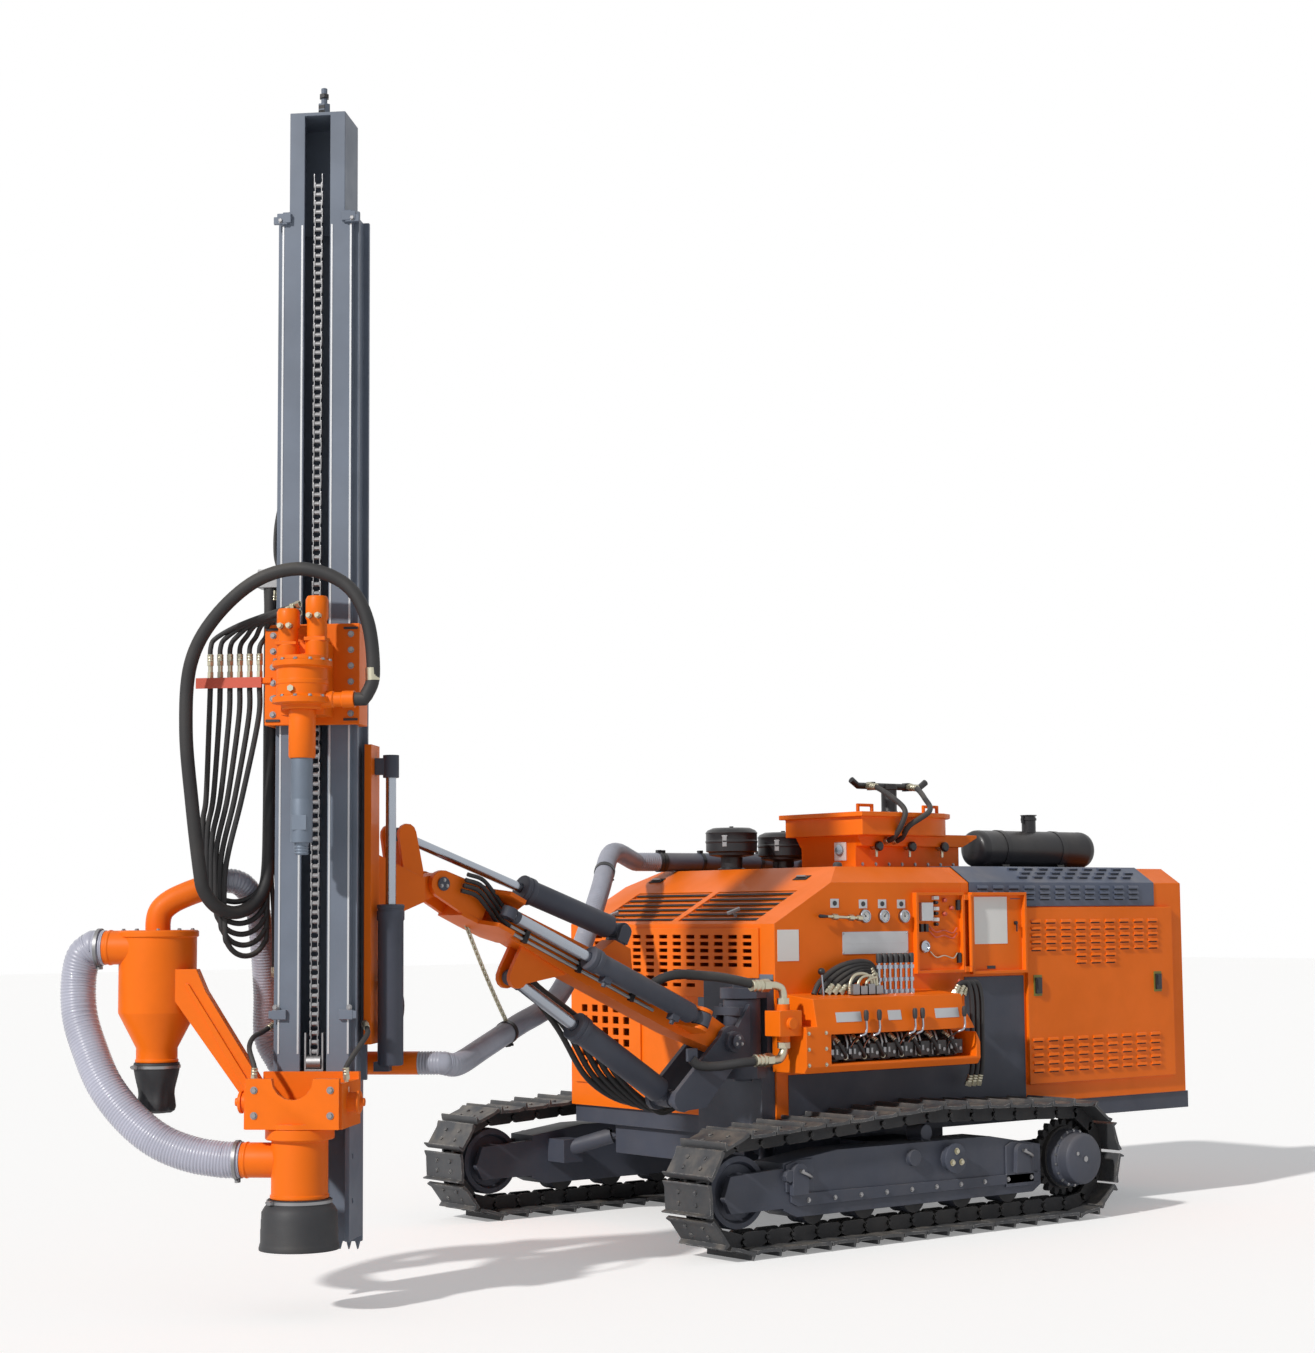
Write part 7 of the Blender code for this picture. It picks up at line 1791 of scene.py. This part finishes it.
def make_pipes():
    """Upright oil pipes with black caps behind the bench, their looping hoses, and the tall lever."""
    pipe = Form()
    pipe.turned([(0, 0), (0.0075, 0), (0.0075, 0.150), (0, 0.150)], sides=16)
    pipe.hexagon((0, 0, 0.0), (0, 0, 0.020), 0.0145)
    pipe.hexagon((0, 0, 0.060), (0, 0, 0.078), 0.0135)
    pipe.hexagon((0, 0, 0.122), (0, 0, 0.140), 0.0145)
    spot = Matrix.Translation((0.085, 0.935, 1.180))
    rows("oil_pipes", "root", "chrome", pipe, 7, 1, (-0.037, 0, 0), (0, 0, 0), spot)
    caps = Form()
    caps.turned([(0, 0.150), (0.013, 0.150), (0.014, 0.158), (0.014, 0.192), (0.010, 0.198), (0, 0.198)],
                sides=16)
    rows("pipe_caps", "root", "boot", caps, 7, 1, (-0.037, 0, 0), (0, 0, 0), spot)
    for i in range(5):
        drop = 0.014 * i
        points = [(0.485 - 0.034 * i, 0.895 + 0.008 * i, 1.185),
                  (0.440 - 0.034 * i, 0.892 + 0.008 * i, 1.245 - drop / 2),
                  (0.330 - 0.028 * i, 0.890 + 0.006 * i, 1.310 - drop),
                  (0.200 - 0.016 * i, 0.890, 1.338 - drop), (0.110 - 0.005 * i, 0.893, 1.330 - drop),
                  (0.075 - 0.004 * i, 0.905, 1.285 - drop)]
        black_hose(f"loop_hose_{i}", "root", points, 0.0135, 8, i > 1)
    for i in range(3):
        points = [(0.300 - 0.055 * i, 0.955, 1.185), (0.302 - 0.055 * i, 0.957, 1.235),
                  (0.270 - 0.05 * i, 0.958, 1.275 - 0.01 * i), (0.205 - 0.035 * i, 0.958, 1.280 - 0.01 * i),
                  (0.165 - 0.02 * i, 0.957, 1.255), (0.150 - 0.016 * i, 0.955, 1.190)]
        black_hose(f"bent_pipe_{i}", "root", points, 0.0085, 8, True, "zinc")
    blocks = Form()
    for i in range(4):
        blocks.block((0.105 + 0.052 * i, 0.935, 1.181), (0.148 + 0.052 * i, 0.985, 1.222 + 0.010 * (i % 2)))
    blocks.piece("pilot_valves", "root", "steel", 0.002)
    lever = Form()
    lever.tube([(0.456, 0.935, 1.175), (0.462, 0.935, 1.23), (0.468, 0.935, 1.285)], 0.005, 12)
    lever.piece("tall_lever", "root", "chrome", 0.0)
    ball = Form()
    profile = [(0, -0.018)] + arc((0, 0), 0.018, -60, 60, 6) + [(0, 0.018)]
    ball.turned(profile, Matrix.Translation((0.468, 0.935, 1.297)), 24)
    ball.piece("lever_ball", "root", "black", 0.0)


def make_slope_details():
    """T-handles, grips over dark plates of painted recess shade, and rubber bumps on the sloped front."""
    steel = Form()
    dark = Form()
    slope_right = Vector((0, 1, 0))
    slope_up = Vector((0.15 - 0.675, 0, ROOF_Z - 1.53))
    for x, y, z in ((0.632, -0.497, 1.553), (0.612, 0.468, 1.564)):
        place = face((x, y, z), slope_right, slope_up)
        steel.bar(place @ Vector((0, 0, 0.0005)), place @ Vector((0, 0, 0.030)), 0.008, 16)
        steel.block((-0.034, -0.009, 0.026), (0.034, 0.009, 0.040), place @ Matrix.Rotation(0.9, 4, "Z"))
    for x, y, z in ((0.247, -0.622, 1.760), (0.255, 0.564, 1.756)):
        place = face((x, y, z), slope_right, slope_up)
        # Dark plate where each grip is recessed: painted shade, as the panel has no hollow.
        dark.block((-0.050, -0.022, 0.0004), (0.050, 0.022, 0.0030), place)
        steel.bar(place @ Vector((-0.032, 0, 0.010)), place @ Vector((0.032, 0, 0.010)), 0.006, 12)
        for aside in (-0.032, 0.032):
            steel.bar(place @ Vector((aside, 0, 0.0030)), place @ Vector((aside, 0, 0.012)), 0.005, 12)
    steel.piece("slope_handles", "root", "steel", 0.001)
    dark.piece("handle_recesses", "root", "dark", 0.0)
    bumps = Form()
    for x, y in ((0.10, -0.70), (0.10, 0.66)):
        bumps.turned([(0, ROOF_Z + 0.0004), (0.024, ROOF_Z + 0.0004), (0.022, ROOF_Z + 0.016),
                      (0.012, ROOF_Z + 0.024), (0, ROOF_Z + 0.025)], Matrix.Translation((x, y, 0)), 28)
    bumps.piece("roof_bumpers", "root", "boot", 0.0)


make_side_doors()
make_gauges()
make_side_plates()
make_switches()
make_bench()
make_pipes()
make_slope_details()


# Roof, boom hoses, chains, rear wall and the small detail of the joints

REAR_X = -2.3403
HEAD_PIN = boom_point(1.782, 0)
MANIFOLD = Vector((0.77, 0.995, 1.06))
SLOPE = frame_of((0.675, 0, 1.53), (0.15 - 0.675, 0, ROOF_Z - 1.53))


def free_hose(name, points, radius, joint):
    """Hose that bends across one joint."""
    form = Form()
    form.tube(smooth_line(points, 8), radius, 16)
    near, far, start, end = joint
    piece = form.piece(name, None, "rubber", 0.0)
    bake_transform(piece, near, far, start=DATUM + start, end=DATUM + end)


def ferrule(name, body, tip, heading, radius):
    """Crimped zinc end of a hose at a tip, with its hexagon towards the tip."""
    form = Form()
    fitting(form, Vector(tip) + Vector(heading).normalized() * radius * 4.2, tip, radius)
    form.piece(name, body, "zinc", 0.0)


def make_slope_vents():
    """Dark plates painted as the shade in the gaps between the blades of the two openings in the sloped
    front.
    """
    pitch = 0.0525
    for label, low, high in (("left", -0.657, -0.053), ("right", 0.003, 0.617)):
        # Each dark plate is painted shade, not a part.
        gap = Form()
        gap.block((0.0, low, -0.0042), (0.030, high, -0.0036))
        rows("slope_gaps_" + label, "root", "dark", gap, 6, 1, (pitch, 0, 0), (0, 0, 0),
             SLOPE @ Matrix.Translation((0.0605 - 0.25 * pitch, 0, 0)))


def make_header():
    """Pulse-air header: flanged upright, cross pipe with bent tips, bolts and two looping hoses."""
    x, y, low, top = -0.64, 0.27, 2.1004, 2.265
    form = Form()
    form.turned([(0, low), (0.070, low), (0.070, low + 0.012), (0.048, low + 0.014), (0.042, low + 0.024),
                 (0.042, top - 0.03), (0.046, top - 0.028), (0.046, top), (0, top)],
                Matrix.Translation((x, y, 0)), 40)
    line = [(x - 0.275, y, top + 0.018), (x - 0.228, y, top - 0.012), (x - 0.10, y, top - 0.012),
            (x + 0.10, y, top - 0.012), (x + 0.228, y, top - 0.012), (x + 0.275, y, top + 0.018)]
    form.tube(line, 0.0175, 20)
    for aside in (-0.13, 0.13):
        form.block((x + aside - 0.012, y - 0.022, top - 0.034), (x + aside + 0.012, y + 0.022, top + 0.010))
    form.piece("air_header_shown", "root", "black", 0.001, ("air_header",))
    ring("header_bolts", "root", "steel", bolt_form(0.006, 0.006), 8, 0.058,
         Matrix.Translation((x, y, low + 0.0122)))
    for index, (aside, target) in enumerate(((0.17, -0.40), (-0.13, -0.46))):
        points = [(x + aside, y + 0.018, top - 0.012), (x + aside, y + 0.080, top - 0.022),
                  (x + aside * 0.8 + 0.05, y + 0.215, top - 0.080), ((x + aside + target) / 2, 0.602, 2.110),
                  (target - 0.01, 0.598, 2.030), (target, 0.545, 1.965), (target, 0.4505, 1.945)]
        black_hose(f"pulse_hose_{index}", "root", points, 0.0145, 10)


def make_collector_details():
    """Pulse valves with their knobs, dial plate and bolts on the filter box."""
    valves = Form()
    knobs = Form()
    for x in (-0.34, -0.58, -0.82):
        start = Vector((x, 0.4503, 1.925))
        valves.hexagon(start, start + Vector((0, 0.026, 0)), 0.019)
        neck = start + Vector((0, 0.024, 0))
        valves.turned([(0, 0), (0.014, 0), (0.014, 0.02), (0, 0.02)],
                      axis_frame(neck, neck + Vector((0, 1, 0))), 20)
        valves.tube([(x, 0.476, 1.925), (x, 0.482, 1.905), (x, 0.482, 1.870)], 0.0075, 12)
        spot = start + Vector((0, 0.044, 0))
        knobs.turned([(0, 0), (0.024, 0), (0.026, 0.004), (0.026, 0.016), (0.020, 0.022), (0, 0.022)],
                     axis_frame(spot, spot + Vector((0, 1, 0))), 24)
    valves.piece("pulse_valves", "root", "zinc", 0.0005)
    knobs.piece("pulse_knobs", "root", "black", 0.0)
    plate = Form()
    plate.block((-0.045, -0.048, 0.0), (0.045, 0.048, 0.006), face((-0.2196, 0.34, 1.900), (0, 1, 0)))
    plate.piece("collector_dial_plate", "root", "paper", 0.001)
    dial = Form()
    spot = face((-0.2196, 0.34, 1.906), (0, 1, 0)) @ Matrix.Translation((0, 0, 0.0062))
    dial.turned([(0, 0), (0.026, 0), (0.028, 0.003), (0.028, 0.010), (0.022, 0.012), (0, 0.010)], spot, 32)
    dial.piece("collector_dial", "root", "chrome", 0.0)
    rows("collector_bolts_left", "root", "steel", bolt_form(0.007, 0.006), 8, 1, (0.095, 0, 0), (0, 0, 0),
         face((-0.27, 0.4502, 1.832), REARWARD))
    rows("collector_bolts_right", "root", "steel", bolt_form(0.007, 0.006), 8, 1, (0.095, 0, 0), (0, 0, 0),
         face((-0.935, 0.0298, 1.832), (1, 0, 0)))


def make_roof_pipe():
    """Suction pipe over the roof, with dark bands."""
    skin("dust_pipe", "slatepipe", 0.0)
    bands = Form()
    near, far = Vector((0.24, -0.60, 1.8623)), Vector((-0.62, -0.52, 1.8623))
    heading = (far - near).normalized()
    clamp_band(bands, near + heading * 0.012, heading, 0.0505, 0.020)
    clamp_band(bands, near - heading * 0.012, heading, 0.0515, 0.020)
    for share in (0.30, 0.75):
        clamp_band(bands, near.lerp(far, share), heading, 0.0505, 0.018)
    bands.piece("roof_pipe_bands", "root", "black", 0.0)


def make_boom_hoses():
    """Thick hoses from the manifold over and under the swing bracket, and the boom's hose bundle."""
    elbows = Form()
    upper = [MANIFOLD + Vector(spot) for spot in (
        (0, 0, 0.0903), (0, 0, 0.135), (0.012, 0, 0.165), (0.045, -0.002, 0.178), (0.085, -0.006, 0.180))]
    elbows.tube(smooth_line(upper, 5), 0.019, 20)
    elbows.hexagon(upper[0], upper[0] + Vector((0, 0, 0.0277)), 0.030)
    lower = [MANIFOLD + Vector(spot) for spot in (
        (0, 0, -0.0903), (0, 0, -0.130), (0.020, 0, -0.162), (0.050, 0.002, -0.170), (0.085, 0.006, -0.168))]
    elbows.tube(smooth_line(lower, 5), 0.021, 20)
    elbows.hexagon(lower[0] - Vector((0, 0, 0.0277)), lower[0], 0.032)
    elbows.piece("manifold_elbows", "root", "zinc", 0.0)
    ferrule("upper_hose_end", "root", upper[-1], (1, -0.05, 0), 0.025)
    ferrule("lower_hose_end", "root", lower[-1], (1, 0.05, 0), 0.026)
    top = [upper[-1] + Vector((0.06, -0.004, 0.0)), Vector((1.00, 0.962, 1.262)),
           Vector((1.12, 0.940, 1.284)), Vector((1.22, 0.910, 1.294))]
    free_hose("swing_hose_top", top, 0.0225,
              ("root", "swing_bracket", Vector((0.93, 0.96, 1.2)), Vector((1.20, 0.90, 1.2))))
    lift = [Vector((1.22, 0.910, 1.294)), Vector((1.31, 0.880, 1.300)), Vector((1.38, 0.852, 1.285)),
            Vector((1.43, 0.829, 1.255)), Vector((1.455, 0.8275, 1.225))]
    free_hose("boom_hose_top", lift, 0.0225,
              ("swing_bracket", "boom", Vector((1.22, 0.910, 1.294)), Vector((1.44, 0.829, 1.24))))
    under = [lower[-1] + Vector((0.06, 0.004, 0.0)), Vector((1.02, 0.985, 0.885)),
             Vector((1.12, 0.925, 0.870)), Vector((1.20, 0.890, 0.875)), Vector((1.235, 0.875, 0.905))]
    free_hose("swing_hose_under", under, 0.0225,
              ("root", "swing_bracket", Vector((0.94, 0.96, 0.88)), Vector((1.20, 0.9, 0.88))))
    port = Form()
    port.block((1.205, 0.867, 0.895), (1.265, 0.8825, 0.955))
    port.piece("swing_port_block", "swing_bracket", "slate", 0.002)
    socket = Form()
    socket.block((-0.022, -0.016, -0.030), (0.022, 0.0, 0.030), Matrix.Translation((1.458, 0.8430, 1.222)))
    socket.piece("boom_port_block", "boom", "slate", 0.002)
    pipes = Form()
    pipe_y = 0.086
    for i in range(4):
        high = -0.045 + 0.026 * i
        pipes.tube([boom_point(along, high, pipe_y) for along in (0.48 + 0.03 * i, 0.90, 1.38)], 0.0078, 12)
    pipes.piece("boom_pipes", "boom", "steel", 0.0)
    clips = Form()
    for along in (0.62, 0.95, 1.28):
        clips.block((along - 0.012, 0.0755, -0.058), (along + 0.012, 0.0965, 0.046), BOOM)
    clips.piece("boom_pipe_clips", "boom", "black", 0.001)
    for i in range(4):
        high = -0.045 + 0.026 * i
        points = [boom_point(1.38, high, 0.086), boom_point(1.45, high + 0.004, 0.100),
                  boom_point(1.53, high + 0.03, 0.122), boom_point(1.62, high + 0.06, 0.128),
                  boom_point(1.70, high + 0.05, 0.122)]
        free_hose(f"head_loop_{i}", points, 0.0095,
                  ("boom", "boom_head", boom_point(1.42, 0, 0.1), boom_point(1.66, 0, 0.1)))
    for i in range(9):
        lane, layer = i % 5, i // 5
        aside = -0.066 + 0.010 * lane
        back = 0.036 * lane + 0.045 * layer
        points = [boom_point(1.20 - 0.06 * layer, -0.088, aside),
                  boom_point(1.13 - 0.06 * layer, -0.16, aside - 0.01),
                  Vector((1.80 - back, 0.588 + 0.010 * lane, 1.06)),
                  Vector((1.60 - back, 0.548 + 0.012 * lane, 0.82)),
                  Vector((1.38 - back, 0.550 + 0.014 * lane, 0.70 - 0.012 * lane)),
                  Vector((1.20 - back * 0.5, 0.575 + 0.014 * lane, 0.715 - 0.012 * lane))]
        free_hose(f"boom_drop_hose_{i}", points, 0.0135,
                  ("swing_bracket", "boom", Vector((1.38, 0.62, 0.70)), Vector((1.83, 0.66, 1.16))))


def make_hanging_chain(name, body, start, end, sag, count):
    """Short welded chain that hangs between two points."""
    start, end = Vector(start), Vector(end)
    line = []
    for k in range(25):
        share = k / 24
        line.append(start.lerp(end, share) - Vector((0, 0, sag * 4 * share * (1 - share))))
    for index, twist in enumerate((0, 1)):
        link = Form()
        loop = []
        for angle in range(0, 360, 30):
            radians = math.radians(angle)
            across = 0.0085 * math.sin(radians)
            along = 0.0085 * math.cos(radians) + (0.009 if math.cos(radians) > 0 else -0.009)
            loop.append(Vector((along, 0, across)) if twist else Vector((along, across, 0)))
        link.tube(loop + [loop[0]], 0.0028, 6)
        shape = pattern(link)
        kept = line if not index else [p + (line[1] - line[0]).normalized() * 0.012 for p in line]
        mesh = grown("route", curve_of(kept), Shape=shape, Count=count, Finish=FINISH["zinc"])
        bpy.data.objects.remove(shape, do_unlink=True)
        finished(f"{name}_{index}", body, "zinc", mesh)


def make_joint_details():
    """Bolted caps on the pins, and bolts on the swing hub."""
    bolt = bolt_form(0.008, 0.008)
    ring("swing_hub_bolts", "root", "steel", bolt, 6, 0.052, Matrix.Translation((0.82, BOOM_Y, 1.2475)))
    for name, body, centre, reach, radius in (
            ("boom_foot", "swing_bracket", BOOM_FOOT, 0.1585, 0.034),
            ("boom_head_pin", "boom_head", HEAD_PIN, 0.0965, 0.030)):
        caps = Form()
        for edge in (-1, 1):
            spot = centre + Vector((0, edge * reach, 0))
            caps.turned([(0, 0), (radius, 0), (radius, 0.006), (radius * 0.8, 0.009), (0, 0.009)],
                        axis_frame(spot, spot + Vector((0, edge, 0))), 28)
        caps.piece(name + "_caps", body, "slate", 0.001)
        for edge in (-1, 1):
            spot = centre + Vector((0, edge * (reach + 0.009), 0))
            ring(f"{name}_bolts_{'left' if edge > 0 else 'right'}", body, "steel", bolt_form(0.006, 0.006), 3,
                 radius * 0.55, axis_frame(spot, spot + Vector((0, edge, 0))))


def make_rear_wall():
    """Louvres, door frames, hinges, latches and lamps at the back."""
    rear = face((REAR_X, 0, 0), (0, -1, 0))
    for index, start in enumerate((0.60, -0.055)):
        louvres(f"rear_louvres_{index}", "root", "orange", rear @ Matrix.Translation((-start, 1.45, 0)), 5,
                15, 0.135, -0.045, 0.112)
    frames = Form()
    for low, high in ((0.03, 0.72), (-0.72, -0.03)):
        for a, b, c, d in ((low, high, 1.505, 1.525), (low, high, 0.735, 0.755),
                           (low, low + 0.02, 0.755, 1.505), (high - 0.02, high, 0.755, 1.505)):
            frames.block((a, c, 0.0002), (b, d, 0.0060), rear)
    frames.piece("rear_door_frames", "root", "orange", 0.001)
    lamps = Form()
    for y in (-0.62, 0.62):
        lamps.turned([(0, 0.0003), (0.052, 0.0003), (0.055, 0.006), (0.050, 0.012), (0, 0.0135)],
                     rear @ Matrix.Translation((y, 1.62, 0)), 36)
    lamps.piece("rear_lamps", "root", "red", 0.0)
    hinges = Form()
    for y in (-0.735, 0.735):
        for z in (0.86, 1.40):
            hinges.bar(rear @ Vector((y, z - 0.04, 0.0065)), rear @ Vector((y, z + 0.04, 0.0065)), 0.006, 14)
    for y in (-0.008, 0.008):
        hinges.block((y * 4 - 0.010, 1.09, 0.0003), (y * 4 + 0.010, 1.17, 0.014), rear)
    hinges.piece("rear_hinges", "root", "black", 0.0008)


def make_feed_hoses():
    """Hoses beside the beam and a bundle that loops at the holder."""
    for i in range(3):
        w = 0.172 + 0.021 * i
        points = [(w, -0.02, 2.96), (w + 0.012, -0.02, 2.75), (w + 0.004, -0.03, 2.3),
                  (w + 0.016, -0.035, 1.9), (w + 0.004, -0.05, 1.55), (w + 0.010, -0.08, 1.33)]
        piece_points = [feed_point(*p) for p in points]
        black_hose(f"mast_hose_{i}", "feed_beam", piece_points, 0.0095)
    for i in range(2):
        w = 0.178 + 0.02 * i
        points = [(w, -0.02, 3.05), (w + 0.018, -0.03, 3.12), (w + 0.020, -0.05, 3.25),
                  (w - 0.01, -0.06, 3.42), (w - 0.020, -0.05, 3.55)]
        black_hose(f"upper_mast_hose_{i}", "feed_beam", [feed_point(*p) for p in points], 0.0085, ends=False)
    for i in range(4):
        points = [(-0.21 - 0.012 * i, -0.16, 1.30 + 0.03 * i), (-0.26 - 0.01 * i, -0.20 - 0.012 * i, 1.22),
                  (-0.24, -0.27 - 0.014 * i, 1.12 - 0.01 * i), (-0.12, -0.30 - 0.012 * i, 1.12 - 0.012 * i),
                  (-0.05, -0.27 - 0.01 * i, 1.22), (-0.04 - 0.01 * i, -0.215, 1.34)]
        black_hose(f"holder_hose_{i}", "feed_holder", [feed_point(*p) for p in points], 0.0105)


make_slope_vents()
make_header()
make_collector_details()
make_roof_pipe()
make_boom_hoses()
make_hanging_chain("duct_chain", "boom_head", (2.40, 0.72, 1.55), (2.125, 0.642, 1.107), 0.015, 20)
make_joint_details()
make_rear_wall()
make_feed_hoses()
